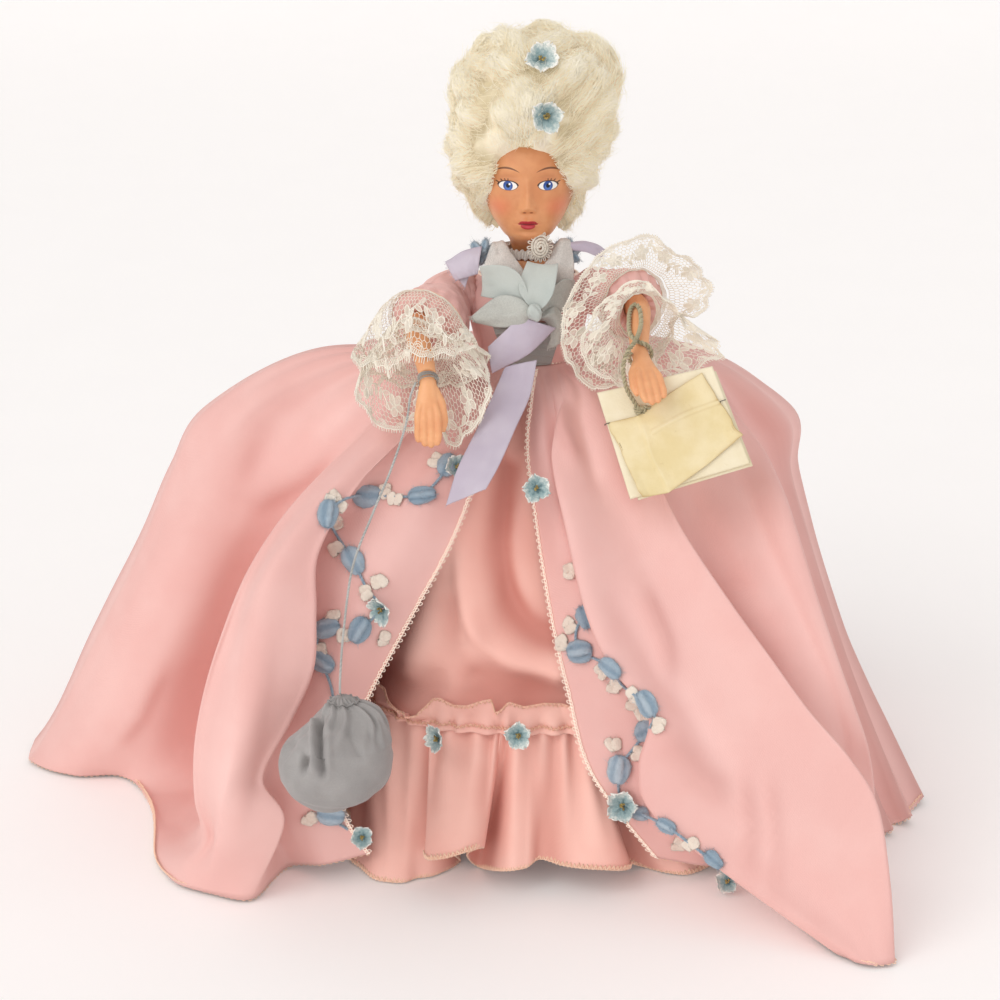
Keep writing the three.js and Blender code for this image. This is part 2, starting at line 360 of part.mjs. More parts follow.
// ---- waistband, petticoat, underskirt with flounce ----------------------------------------------
put("waistband", sheet([117.8, 116, 114.4].map((z) => { const [, a, b, c] = profile(TORSO, z); return oval(z, a + 0.95, b + 0.95, 0, c, 2, 18); }), 0.8, true), PINK);
put("petticoat", sheet(skirtRings(PETTICOAT, 20), 0.8, true), 0xf0dfe0);
put("underskirt", sheet(skirtRings(UNDERSKIRT, 24), CLOTH, true), PINK);
put("underskirt_heading", sheet(skirtRings(HEADING, 24), 0.8, true), PINK);
put("underskirt_flounce", sheet(skirtRings(FLOUNCE, 28), CLOTH, true), PINK);
putFacing("flounce_flower_right", flower(3.1, 1.4), [-22.6, -56.2, 37.4], [-0.2, -1, 0.05], AQUA);
putFacing("flounce_flower_left", flower(3.1, 1.4), [-2.5, -58.2, 38.4], [0, -1, 0.05], AQUA);

// ---- overskirt: right, back and left panels of one net ------------------------------------------
const skirtPoint = (u, v) => spline(NET.map((m) => spline(m, v)), u);
function skirtNormal(u, v) {
  const h = 0.01, p = (a, b) => V(...skirtPoint(a, b));
  const du = p(u + h, v).sub(p(u - h, v)), dv = p(u, v + h).sub(p(u, v - h));
  return du.cross(dv).normalize();
}
function panel(u0, u1, columns, rows) {
  const grid = [];
  for (let r = 0; r <= rows; r++) {
    const row = [];
    for (let c = 0; c <= columns; c++) {
      const p = V(...skirtPoint(lerp(u0, u1, c / columns), (6 * r) / rows));
      p.z = Math.max(p.z, 0.55);
      row.push(p);
    }
    grid.push(row);
  }
  return sheet(grid, CLOTH);
}
put("overskirt_right", panel(0, 7.99, 16, 9), PINK);
put("overskirt_back", panel(8.01, 12.99, 10, 9), PINK);
put("overskirt_left", panel(13.01, 22, 18, 9), PINK);

// ---- garlands and their flowers, standing off the overskirt's front edges -----------------------
const RIGHT_GARLAND = [[-27, -44, 103], [-31, -46.5, 98.5], [-38.5, -47, 96], [-44, -50.5, 93.4], [-46.2, -52.4, 87.4], [-44.5, -52, 80.5], [-39.5, -57.5, 77], [-38, -60, 70.5], [-44.5, -61.5, 64.5], [-50.5, -58, 58.5], [-49.5, -61, 52.5], [-49, -64, 45], [-51, -66.5, 35], [-51, -67.5, 26], [-47, -67.5, 18], [-42, -67, 11]];
const LEFT_GARLAND = [[6.5, -44.5, 93], [9, -48, 85], [10.6, -51.5, 77], [11, -56.5, 66.5], [14, -59.5, 60.5], [19.4, -62, 55.5], [25, -64.5, 50.5], [28.6, -67, 45.5], [28.6, -69, 40.5], [24, -69.5, 36], [21.5, -69.8, 30], [24, -70.5, 23], [32.6, -70.6, 17], [40.4, -69, 10], [47, -66, 4]];
put("right_garland", tube(RIGHT_GARLAND, 1, 30, 6), BLUE);
put("left_garland", tube(LEFT_GARLAND, 1, 30, 6), BLUE);
putFacing("right_garland_flower_top", flower(3.2, 1.3), [-22.6, -41.2, 103.6], [-0.1, -0.85, 0.5], AQUA);
putFacing("right_garland_flower_middle", flower(3.4, 1.3), [-36.2, -62.4, 73.4], [-0.1, -0.97, 0.2], AQUA);
putFacing("right_garland_flower_bottom", flower(3.2, 1.3), [-40.6, -69, 12.5], [0, -1, 0.05], AQUA);
putFacing("left_garland_flower_top", flower(3.4, 1.3), [2.6, -43.4, 97.2], [0, -0.9, 0.44], AQUA);
putFacing("left_garland_flower_middle", flower(3.7, 1.3), [23.6, -72.4, 26.6], [0, -1, 0.1], AQUA);
putFacing("left_garland_flower_bottom", flower(3.2, 1.3), [50.6, -67, 4.4], [0.1, -1, 0.1], AQUA);

// ---- bag on its cord from the right wrist -------------------------------------------------------
put("reticule_cord", tube([[-28.4, -40.6, 122.6], [-29.4, -44.5, 115], [-33, -49.5, 105], [-37.5, -55, 95], [-42, -61, 84], [-44, -68, 70], [-44.4, -74.6, 57.4]], CORD_R, 24), 0xb5bcc4);
put("reticule_pouch", loft([[57, 2.6, 2.4, -75], [54, 4.4, 4, -76.4], [51, 9.6, 7.6, -79], [46, 13.2, 10.4, -81.6], [40, 13.8, 11, -83], [34.5, 11, 9, -83.6], [31.4, 5, 4.4, -83.8]]
  .map(([z, a, b, cy]) => oval(z, a, b, -44.9, cy, 2, 14))), GREYBLUE);

// ---- card tag on its cord from the left wrist ---------------------------------------------------
{
  const A = V(16.7, -43.6, 122.3), B = V(44.6, -41.6, 128.5), C = V(53.4, -52, 107.1), D = V(24.5, -56, 99.4);
  const card = (a, b, c, d, off, t, n) => {
    const normal = B.clone().sub(A).cross(D.clone().sub(A)).normalize();
    if (normal.y > 0) normal.negate();
    const at = (u, v) => A.clone().lerp(B, u).lerp(D.clone().lerp(C, u), v).addScaledVector(normal, off);
    return sheet([0, 0.5, 1].map((r) => Array.from({ length: n }, (_, k) => at(lerp(a, b, k / (n - 1)), lerp(c, d, r)))), t);
  };
  put("tag_card", card(0, 1, 0, 1, 0, 0.6, 5), 0xe9dfc0);
  put("tag_label", card(0.05, 0.84, 0.16, 0.97, 0.8, 0.35, 5), 0xe2d09c);
}

const root = new THREE.Group();
root.add(doll);
export default root;
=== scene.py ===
import math

import bpy
import numpy as np
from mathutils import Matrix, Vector
from mathutils.bvhtree import BVHTree

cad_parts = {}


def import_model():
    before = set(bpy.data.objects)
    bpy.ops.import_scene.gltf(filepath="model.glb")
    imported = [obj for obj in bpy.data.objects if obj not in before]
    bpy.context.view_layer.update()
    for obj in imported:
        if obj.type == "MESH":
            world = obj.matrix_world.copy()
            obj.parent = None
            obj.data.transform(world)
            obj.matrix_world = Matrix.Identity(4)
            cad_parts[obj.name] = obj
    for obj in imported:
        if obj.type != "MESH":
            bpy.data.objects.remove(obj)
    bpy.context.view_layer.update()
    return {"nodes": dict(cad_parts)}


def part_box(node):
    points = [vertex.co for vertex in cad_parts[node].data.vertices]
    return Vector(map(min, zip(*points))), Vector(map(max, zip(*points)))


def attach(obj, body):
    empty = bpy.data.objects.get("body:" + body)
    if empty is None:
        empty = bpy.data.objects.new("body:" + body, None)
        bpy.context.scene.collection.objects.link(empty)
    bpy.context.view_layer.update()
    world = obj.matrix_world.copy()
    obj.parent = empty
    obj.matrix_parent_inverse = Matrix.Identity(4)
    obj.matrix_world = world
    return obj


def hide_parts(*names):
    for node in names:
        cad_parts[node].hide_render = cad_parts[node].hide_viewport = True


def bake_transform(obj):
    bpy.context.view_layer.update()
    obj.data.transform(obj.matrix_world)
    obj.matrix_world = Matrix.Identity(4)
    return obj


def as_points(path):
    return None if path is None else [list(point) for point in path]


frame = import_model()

AX, AY = 19.04, 9.03  # the doll's upright axis in the row frame, mm
SHIFT = np.array([AX, AY, 0.0])
rng = np.random.default_rng(20)

# =================================================================================================
# numbers and shapes: everything is worked out in millimetres about the doll's axis, facing -Y
# =================================================================================================
CAM_AT = np.array([0.0, -532.6, 268.05])
CAM_F, CAM_U0, CAM_V0 = 2109.52, 528.0, 444.43
EL = math.radians(18)
FWD, UP = np.array([0, math.cos(EL), -math.sin(EL)]), np.array([0, math.sin(EL), math.cos(EL)])


def ray(px, py):
    d = FWD + np.array([1.0, 0, 0]) * (px - CAM_U0) / CAM_F + UP * (CAM_V0 - py) / CAM_F
    return d / np.linalg.norm(d)


def at(px, py, y):
    """Point at depth y that the camera sees at (px, py)."""
    d = ray(px, py)
    return CAM_AT + d * (y - CAM_AT[1]) / d[1]


def A(x):
    return np.asarray(x, float)


def unit(v):
    v = A(v)
    return v / np.maximum(np.linalg.norm(v, axis=-1, keepdims=True), 1e-12)


def smooth(a, b, x):
    t = np.clip((A(x) - a) / (b - a), 0, 1)
    return t * t * (3 - 2 * t)


def noise(p, seed=0):
    """Smooth value noise in -1..1 at points (..., 3)."""
    p = A(p)
    i = np.floor(p).astype(np.int64)
    f = p - i
    f = f * f * f * (f * (f * 6 - 15) + 10)
    out = 0.0
    for dx in (0, 1):
        for dy in (0, 1):
            for dz in (0, 1):
                n = ((i[..., 0] + dx) * 374761393 + (i[..., 1] + dy) * 668265263 + (i[..., 2] + dz) * 1440670441 + seed * 974711) & 0x7FFFFFFF
                n = ((n ^ (n >> 13)) * 1274126177) & 0x7FFFFFFF
                h = ((n ^ (n >> 16)) & 0xFFFF) / 32767.5 - 1
                w = (f[..., 0] if dx else 1 - f[..., 0]) * (f[..., 1] if dy else 1 - f[..., 1]) * (f[..., 2] if dz else 1 - f[..., 2])
                out = out + w * h
    return out


def noise2(x, y, seed=0):
    x, y = np.broadcast_arrays(A(x), A(y))
    return noise(np.stack([x, y, np.full(x.shape, 0.5)], -1), seed)


def spline(points, t):
    """Catmull-Rom through rows of points at the parameters t, straight beyond both ends."""
    P = A(points)
    P = np.concatenate([[2 * P[0] - P[1]], P, [2 * P[-1] - P[-2]]])
    t = np.clip(A(t), 0, len(P) - 3)
    i = np.minimum(np.floor(t).astype(int), len(P) - 4)
    f = (t - i).reshape((-1,) + (1,) * (P.ndim - 1))
    a, b, c, d = P[i], P[i + 1], P[i + 2], P[i + 3]
    return 0.5 * (2 * b + (c - a) * f + (2 * a - 5 * b + 4 * c - d) * f ** 2 + (3 * b - a - 3 * c + d) * f ** 3)


def closed_spline(points, t):
    """Catmull-Rom round a closed loop, t in 0..1."""
    P = A(points)
    n = len(P)
    t = (A(t) % 1) * n
    i = np.floor(t).astype(int)
    f = (t - i).reshape(-1, 1)
    a, b, c, d = P[(i - 1) % n], P[i % n], P[(i + 1) % n], P[(i + 2) % n]
    return 0.5 * (2 * b + (c - a) * f + (2 * a - 5 * b + 4 * c - d) * f ** 2 + (3 * b - a - 3 * c + d) * f ** 3)


def even(path, n=None, step=None, closed=False):
    """The same path with evenly spaced points."""
    P = A(path)
    if closed:
        P = np.concatenate([P, P[:1]])
    s = np.concatenate([[0], np.cumsum(np.linalg.norm(np.diff(P, axis=0), axis=1))])
    if n is None:
        n = max(2, int(round(s[-1] / step)) + 1)
    q = np.linspace(0, s[-1], n)
    out = np.stack([np.interp(q, s, P[:, k]) for k in range(3)], 1)
    return out[:-1] if closed else out


def length(path):
    return float(np.linalg.norm(np.diff(A(path), axis=0), axis=1).sum())


def curve(points, step=0.5):
    """Evenly spaced smooth path through control points."""
    P = A(points)
    return even(spline(P, np.linspace(0, len(P) - 1, 24 * len(P))), step=step)


def table(rows, z):
    """Smooth look-up by the first column."""
    T = A(sorted(rows, key=lambda r: r[0]))
    zz = np.clip(A(z), T[0, 0], T[-1, 0])
    i = np.clip(np.searchsorted(T[:, 0], zz, side="right") - 1, 0, len(T) - 2)
    t = i + (zz - T[i, 0]) / (T[i + 1, 0] - T[i, 0])
    return spline(T, np.ravel(t)).reshape(zz.shape + (T.shape[1],))


def frames(path, closed=False, first=None):
    """Turning-free side and up directions along a path."""
    P = A(path)
    T = np.empty_like(P)
    if closed:
        T = np.roll(P, -1, 0) - np.roll(P, 1, 0)
    else:
        T[1:-1] = P[2:] - P[:-2]
        T[0], T[-1] = P[1] - P[0], P[-1] - P[-2]
    T = unit(T)
    s = A(first) if first is not None else np.eye(3)[np.argmin(np.abs(T[0]))]
    S = np.empty_like(P)
    for k in range(len(P)):
        s = s - T[k] * (s @ T[k])
        s = s / max(np.linalg.norm(s), 1e-9)
        S[k] = s
    return T, S, np.cross(T, S)


class Build:
    """Collects points and faces for one mesh object."""

    def __init__(self):
        self.v, self.q, self.t, self.tone, self.n = [], [], [], [], 0

    def add(self, v, quads=None, tris=None, tone=0.5):
        v = A(v).reshape(-1, 3)
        self.v.append(v)
        self.tone.append(np.broadcast_to(A(tone), (len(v),)))
        if quads is not None and len(quads):
            self.q.append(np.asarray(quads, np.int64).reshape(-1, 4) + self.n)
        if tris is not None and len(tris):
            self.t.append(np.asarray(tris, np.int64).reshape(-1, 3) + self.n)
        self.n += len(v)
        return self

    def tube(self, path, r, sides=6, closed=False, caps=True, tone=0.5, flat=1.0, first=None, phase=0.0):
        P = A(path)
        n = len(P)
        T, S, U = frames(P, closed, first)
        r = np.broadcast_to(A(r), (n,))[:, None, None]
        a = np.arange(sides) / sides * 2 * np.pi + phase
        ring = P[:, None] + r * (np.cos(a)[None, :, None] * S[:, None] + flat * np.sin(a)[None, :, None] * U[:, None])
        idx = np.arange(n * sides).reshape(n, sides)
        top = np.roll(idx, -1, 1)
        if closed:
            q = np.stack([idx, top, np.roll(top, -1, 0), np.roll(idx, -1, 0)], -1).reshape(-1, 4)
        else:
            q = np.stack([idx[:-1], top[:-1], top[1:], idx[1:]], -1).reshape(-1, 4)
        v = ring.reshape(-1, 3)
        tris = None
        tone = np.broadcast_to(A(tone), (n,)) if np.ndim(tone) else np.full(n, tone)
        tv = np.repeat(tone, sides)
        if caps and not closed:
            v = np.concatenate([v, P[:1], P[-1:]])
            tv = np.concatenate([tv, tone[:1], tone[-1:]])
            k = np.arange(sides)
            lo = np.stack([np.full(sides, n * sides), (k + 1) % sides, k], 1)
            hi = np.stack([np.full(sides, n * sides + 1), (n - 1) * sides + k, (n - 1) * sides + (k + 1) % sides], 1)
            tris = np.concatenate([lo, hi])
        return self.add(v, q, tris, tv)

    def sheet(self, grid, t, ring=False, tone=0.5):
        """A cloth of thickness t about a grid of points [row][column]; ring joins the last column to the first."""
        G = A(grid)
        R, C = G.shape[:2]
        N = normals(G, ring)
        tt = np.broadcast_to(A(t), (R, C))[..., None]
        v = np.concatenate([(G + N * tt / 2).reshape(-1, 3), (G - N * tt / 2).reshape(-1, 3)])
        i = np.arange(R * C).reshape(R, C)
        j = np.roll(i, -1, 1) if ring else i[:, 1:]
        a = i if ring else i[:, :-1]
        k = R * C
        q = [np.stack([a[:-1], j[:-1], j[1:], a[1:]], -1).reshape(-1, 4)]
        q.append(q[0][:, ::-1] + k)
        q.append(np.stack([a[0], a[0] + k, j[0] + k, j[0]], -1))
        q.append(np.stack([a[-1], j[-1], j[-1] + k, a[-1] + k], -1))
        if not ring:
            q.append(np.stack([i[:-1, 0], i[1:, 0], i[1:, 0] + k, i[:-1, 0] + k], -1))
            q.append(np.stack([i[:-1, -1], i[:-1, -1] + k, i[1:, -1] + k, i[1:, -1]], -1))
        tone = np.broadcast_to(A(tone), (R, C)).ravel()
        return self.add(v, np.concatenate(q), None, np.concatenate([tone, tone]))

    def loft(self, rings, tone=0.5):
        """A capped body through rings [station][point]."""
        G = A(rings)
        R, C = G.shape[:2]
        i = np.arange(R * C).reshape(R, C)
        j = np.roll(i, -1, 1)
        q = np.stack([i[:-1], j[:-1], j[1:], i[1:]], -1).reshape(-1, 4)
        v = np.concatenate([G.reshape(-1, 3), G[0].mean(0)[None], G[-1].mean(0)[None]])
        k = np.arange(C)
        lo = np.stack([np.full(C, R * C), (k + 1) % C, k], 1)
        hi = np.stack([np.full(C, R * C + 1), i[-1], j[-1]], 1)
        tone = np.broadcast_to(A(tone), (R, C)).ravel()
        return self.add(v, q, np.concatenate([lo, hi]), np.concatenate([tone, tone[:1], tone[-1:]]))

    def mesh(self, name):
        v = (np.concatenate(self.v) + SHIFT) / 1000
        q = np.concatenate(self.q) if self.q else np.zeros((0, 4), np.int64)
        t = np.concatenate(self.t) if self.t else np.zeros((0, 3), np.int64)
        me = bpy.data.meshes.new(name)
        me.vertices.add(len(v))
        me.vertices.foreach_set("co", v.astype(np.float32).ravel())
        loops = np.concatenate([q.ravel(), t.ravel()]).astype(np.int32)
        me.loops.add(len(loops))
        me.loops.foreach_set("vertex_index", loops)
        starts = np.concatenate([np.arange(len(q)) * 4, len(q) * 4 + np.arange(len(t)) * 3]).astype(np.int32)
        me.polygons.add(len(starts))
        me.polygons.foreach_set("loop_start", starts)
        me.polygons.foreach_set("use_smooth", np.ones(len(starts), bool))
        tone = np.concatenate(self.tone)
        me.attributes.new("tone", "FLOAT", "POINT").data.foreach_set("value", tone.astype(np.float32))
        me.update(calc_edges=True)
        me.validate()
        return me

    def make(self, name, material, body=None, replaces=(), slot=None):
        o = bpy.data.objects.new(name, self.mesh(name))
        bpy.context.scene.collection.objects.link(o)
        for m in material if isinstance(material, (list, tuple)) else [material]:
            o.data.materials.append(m)
        if body:
            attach(o, body)
        if replaces:
            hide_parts(*replaces)
        return o


def normals(G, ring=False):
    """Unit normals of a grid, across columns x down rows."""
    if ring:
        du = np.roll(G, -1, 1) - np.roll(G, 1, 1)
    else:
        du = np.empty_like(G)
        du[:, 1:-1] = G[:, 2:] - G[:, :-2]
        du[:, 0], du[:, -1] = G[:, 1] - G[:, 0], G[:, -1] - G[:, -2]
    dv = np.empty_like(G)
    dv[1:-1] = G[2:] - G[:-2]
    dv[0], dv[-1] = G[1] - G[0], G[-1] - G[-2]
    return unit(np.cross(du, dv))


def grid_area(G, ring=False):
    """Area of a grid surface in square millimetres."""
    G = np.concatenate([G, G[:, :1]], 1) if ring else G
    a, b, c, d = G[:-1, :-1], G[:-1, 1:], G[1:, 1:], G[1:, :-1]
    return float(np.linalg.norm(np.cross(c - a, d - b), axis=-1).sum() / 2)


def oval(z, rx, ry, cx, cy, n, a):
    """Level outline with squareness n; angle 0 is the front (-Y), and angles grow towards +X."""
    c, s = np.sin(a), -np.cos(a)
    k = (np.abs(c) ** n + np.abs(s) ** n) ** (-1 / n)
    return np.stack([cx + rx * k * c, cy + ry * k * s, np.broadcast_to(z, np.shape(rx * k * c))], -1)


def stitches(path, side, width=1.1, pitch=1.3, r=0.2, lift=None, sides=4, edge=True, seed=0):
    """A zig-zag edging thread along a path, between the path and width to its side, and a cord on the edge itself."""
    P = even(path, step=pitch / 2)
    s = np.stack([np.interp(np.linspace(0, 1, len(P)), np.linspace(0, 1, len(side)), A(side)[:, k]) for k in range(3)], 1)
    l = np.stack([np.interp(np.linspace(0, 1, len(P)), np.linspace(0, 1, len(lift)), A(lift)[:, k]) for k in range(3)], 1)
    g = np.random.default_rng(seed)
    z = P + s * (np.where(np.arange(len(P)) % 2 == 0, -0.12, width) * (1 + 0.12 * g.standard_normal(len(P))))[:, None] + l * 0.2
    t = np.linspace(0, len(z) - 1, (len(z) - 1) * 3 + 1)
    zig = np.stack([np.interp(t, np.arange(len(z)), z[:, k]) for k in range(3)], 1)
    zig += np.interp(t, np.arange(len(P)), np.zeros(len(P)))[:, None] + 0.12 * np.abs(np.sin(t * np.pi))[:, None] * np.stack([np.interp(t, np.arange(len(P)), l[:, k]) for k in range(3)], 1)
    b = Build().tube(zig, r, sides, tone=0.5 + 0.4 * np.sin(t * 2.1 + seed))
    if edge:
        b.tube(P + l * 0.05, r * 0.9, sides, tone=0.35 + 0.25 * g.random(len(P)))
    return b


def picot(path, side, lift, width=1.8, pitch=1.5, r=0.17, seed=0, loops=0.8):
    """An open edging: two crossing zig-zags between the edge and a line inside it, a cord on the edge, small loops
    outside the edge.
    """
    n = max(8, int(round(length(path) / pitch)))
    P = even(path, n=2 * n + 1)
    e = np.linspace(0, 1, len(P))
    s = unit(np.stack([np.interp(e, np.linspace(0, 1, len(side)), A(side)[:, k]) for k in range(3)], 1))
    l = unit(np.stack([np.interp(e, np.linspace(0, 1, len(lift)), A(lift)[:, k]) for k in range(3)], 1))
    g = np.random.default_rng(seed)
    b = Build()
    k = np.arange(len(P))
    for ph in (0, 1):
        w = np.where((k + ph) % 2 == 0, 0.0, width) * (1 + 0.08 * g.standard_normal(len(P)))
        z = P + s * w[:, None] + l * (0.34 + 0.12 * ph)
        b.tube(spline(z, np.linspace(0, len(z) - 1, (len(z) - 1) * 4 + 1)), r, 5, tone=0.45 + 0.4 * g.random())
    b.tube(P + l * 0.34, r * 0.7, 5, tone=0.45 + 0.3 * g.random(len(P)))
    T = unit(np.gradient(P, axis=0))
    for i in range(1, len(P) - 1, 2):
        h = loops * g.uniform(0.75, 1.2)
        c = P[i] + l[i] * 0.3
        b.tube(spline(A([c - T[i] * 0.3, c - T[i] * 0.42 - s[i] * h * 0.55, c - s[i] * h, c + T[i] * 0.42 - s[i] * h * 0.55, c + T[i] * 0.3]), np.linspace(0, 4, 11)), r * 0.8, 5, tone=0.6 + 0.35 * g.random())
    return b


# =================================================================================================
# materials
# =================================================================================================
def lin(hexa):
    c = A([int(hexa[k:k + 2], 16) for k in (0, 2, 4)]) / 255
    c = np.where(c <= 0.04045, c / 12.92, ((c + 0.055) / 1.055) ** 2.4)
    return (float(c[0]), float(c[1]), float(c[2]), 1.0)


class Mat:
    def __init__(self, name, rough=0.6, **sockets):
        self.m = bpy.data.materials.new(name)
        self.m.use_nodes = True
        self.t = self.m.node_tree
        self.b = self.t.nodes["Principled BSDF"]
        self.b.inputs["Roughness"].default_value = rough
        for k, v in sockets.items():
            self.b.inputs[k.replace("_", " ")].default_value = v
        self._co = None

    def node(self, kind, ins=(), **props):
        n = self.t.nodes.new("ShaderNode" + kind)
        for k, v in props.items():
            setattr(n, k, v)
        for k, v in dict(ins).items():
            self.feed(n.inputs[k], v)
        return n

    def feed(self, socket, v):
        if isinstance(v, bpy.types.NodeSocket):
            self.t.links.new(v, socket)
        else:
            socket.default_value = v

    @property
    def mm(self):
        """Place on the piece at rest, in millimetres about the doll's axis."""
        if self._co is None:
            c = self.node("TexCoord").outputs["Object"]
            s = self.node("VectorMath", {0: c, 1: (1000, 1000, 1000)}, operation="MULTIPLY").outputs[0]
            self._co = self.node("VectorMath", {0: s, 1: (AX, AY, 0)}, operation="SUBTRACT").outputs[0]
        return self._co

    def xyz(self):
        s = self.node("SeparateXYZ", {0: self.mm})
        return s.outputs[0], s.outputs[1], s.outputs[2]

    def stretched(self, x, y, z):
        return self.node("VectorMath", {0: self.mm, 1: (x, y, z)}, operation="MULTIPLY").outputs[0]

    def noise(self, scale, detail=2.0, rough=0.5, co=None):
        return self.node("TexNoise", {"Vector": co or self.mm, "Scale": scale, "Detail": detail, "Roughness": rough}).outputs["Fac"]

    def voronoi(self, scale, co=None, out="Distance"):
        return self.node("TexVoronoi", {"Vector": co or self.mm, "Scale": scale}).outputs[out]

    def math(self, op, a, b=0.0, c=0.0, clamp=False):
        n = self.node("Math", {0: a, 1: b, 2: c}, operation=op)
        n.use_clamp = clamp
        return n.outputs[0]

    def ramp(self, x, a, b, lo=0.0, hi=1.0):
        n = self.node("MapRange", {0: x, 1: a, 2: b, 3: lo, 4: hi}, interpolation_type="SMOOTHSTEP")
        return n.outputs[0]

    def mix(self, f, a, b, kind="MIX"):
        n = self.node("Mix", data_type="RGBA", blend_type=kind)
        self.feed(n.inputs[0], f)
        self.feed(n.inputs[6], a)
        self.feed(n.inputs[7], b)
        return n.outputs[2]

    def tone(self):
        return self.node("Attribute", attribute_name="tone").outputs["Fac"]

    def colour(self, c):
        self.feed(self.b.inputs["Base Color"], c)
        return self

    def rough(self, x):
        self.feed(self.b.inputs["Roughness"], x)
        return self

    def bump(self, height, strength=0.3, distance=0.0002):
        n = self.node("Bump", {"Height": height, "Strength": strength, "Distance": distance})
        prior = self.b.inputs["Normal"]
        if prior.is_linked:
            self.t.links.new(prior.links[0].from_socket, n.inputs["Normal"])
        self.t.links.new(n.outputs[0], prior)
        return self

    def alpha(self, x):
        self.feed(self.b.inputs["Alpha"], x)
        return self


def cloth(name, light, dark, rough=0.62, sheen=0.25, weave=3.2, bump=0.25, mottle=0.08, grain=0.35, alpha=None, tint=None, painted_fold_shade=0.0):
    """Fine woven cloth: crossed threads, a grainy surface and slow colour drift; if asked, painted shade in the fold
    valleys and painted highlight on the crests, from the tone attribute. Lengths are per millimetre.
    """
    m = Mat(name, rough, **{"Sheen_Weight": sheen, "Sheen_Roughness": 0.45, "Specular_IOR_Level": 0.3})
    if tint:
        m.b.inputs["Sheen Tint"].default_value = lin(tint)
    x, y, z = m.xyz()
    w1 = m.math("SINE", m.math("MULTIPLY", m.math("ADD", x, m.math("MULTIPLY", y, 0.8)), weave * 6.28))
    w2 = m.math("SINE", m.math("MULTIPLY", m.math("SUBTRACT", z, m.math("MULTIPLY", y, 0.35)), weave * 6.28))
    threads = m.math("MULTIPLY", w1, w2)
    fine = m.noise(2.6, 3.0, 0.7)
    slow = m.noise(0.045, 3.0, 0.55)
    f = m.ramp(slow, 0.35, 0.68)
    c = m.mix(m.math("MULTIPLY", f, 1.0), lin(dark), lin(light))
    g = m.math("ADD", m.math("MULTIPLY", fine, grain), m.math("MULTIPLY", threads, 0.06))
    shade = m.ramp(g, 0.0, 0.7, 1 - mottle, 1 + mottle * 0.5)
    grey = m.node("CombineColor", {0: shade, 1: shade, 2: shade}).outputs[0]
    c = m.mix(1.0, c, grey, "MULTIPLY")
    if painted_fold_shade:  # painted shade: deeper colour in the fold valleys; painted highlight: paler on the crests
        t = m.tone()
        k = [m.ramp(t, 0.05, 0.95, 1 - painted_fold_shade * d, 1 + painted_fold_shade * u) for d, u in ((0.75, 0.1), (1.2, 0.22), (1.25, 0.25))]
        c = m.mix(1.0, c, m.node("CombineColor", {0: k[0], 1: k[1], 2: k[2]}).outputs[0], "MULTIPLY")
    m.colour(c)
    m.rough(m.ramp(fine, 0.3, 0.7, rough - 0.08, rough + 0.08))
    m.bump(threads, bump, 0.00006).bump(fine, bump * 1.2, 0.00012)
    if alpha is not None:
        m.alpha(m.ramp(m.math("ADD", fine, m.math("MULTIPLY", threads, 0.15)), 0.25, 0.75, alpha - 0.08, min(1.0, alpha + 0.1)))
    return m.m


def thread(name, light, dark, rough=0.8, twist=0.0, sheen=0.3, painted_glow=0.0):
    """Spun thread: tone from the strand, fine fuzz, and an even emission if asked, which is painted light."""
    m = Mat(name, rough, **{"Sheen_Weight": sheen, "Sheen_Roughness": 0.5, "Specular_IOR_Level": 0.25, "Emission_Color": lin(light), "Emission_Strength": painted_glow})
    n = m.noise(3.5, 3.0, 0.65)
    f = m.math("ADD", m.math("MULTIPLY", m.tone(), 0.7), m.math("MULTIPLY", n, 0.5), clamp=True)
    m.colour(m.mix(f, lin(dark), lin(light)))
    m.rough(m.ramp(n, 0.3, 0.7, rough - 0.1, min(1.0, rough + 0.1)))
    m.bump(n, 0.5, 0.00008)
    return m.m


pink = cloth("pink_satin", "eebfb8", "ecb8b1", 0.55, 0.3, 2.6, 0.22, 0.04, tint="ffd9d2")
pink_light = cloth("pink_lining", "f7c4b6", "f5bdb0", 0.6, 0.3, 2.6, 0.22, 0.04, tint="ffd9d2")
# These three materials paint shade into the fold valleys and highlight onto the crests, from each piece's tone.
pink_fold_shaded = cloth("pink_satin_fold_shaded", "f4c6bf", "f1bfb8", 0.55, 0.3, 2.6, 0.22, 0.04, tint="ffd9d2", painted_fold_shade=0.22)
lining_fold_shaded = cloth("pink_lining_fold_shaded", "fcc6b8", "f9beb0", 0.6, 0.3, 2.6, 0.22, 0.04, tint="ffd9d2", painted_fold_shade=0.3)
under_fold_shaded = cloth("pink_underskirt_fold_shaded", "f9c2b4", "f6baac", 0.6, 0.3, 2.6, 0.22, 0.04, tint="ffd9d2", painted_fold_shade=0.44)
# The edging and hem stitching are given a little emission: painted light to brighten the fine threads.
edging = thread("peach_edging", "fff1e2", "f7d9c2", painted_glow=0.2)
gather_thread = thread("gather_stitching", "f6cdb2", "dda386")
hem_thread = thread("hem_stitching", "f6d3ba", "e3b397", painted_glow=0.06)
net_cloth = cloth("stiff_net", "f3dcd9", "e9cbc8", 0.8, 0.1, 1.1, 0.5, 0.12)


# =================================================================================================
# camera, floor, light
# =================================================================================================
scene = bpy.context.scene
cam = bpy.data.cameras.new("camera")
cam.sensor_width, cam.lens = 36.0, CAM_F * 36 / 1000
cam.shift_x, cam.shift_y = -(CAM_U0 - 500) / 1000, (CAM_V0 - 500) / 1000
cam.clip_start, cam.clip_end = 0.05, 20
cam_o = bpy.data.objects.new("camera", cam)
scene.collection.objects.link(cam_o)
cam_o.location = Vector((CAM_AT + SHIFT) / 1000)
cam_o.rotation_euler = (math.radians(72), 0, 0)
scene.camera = cam_o

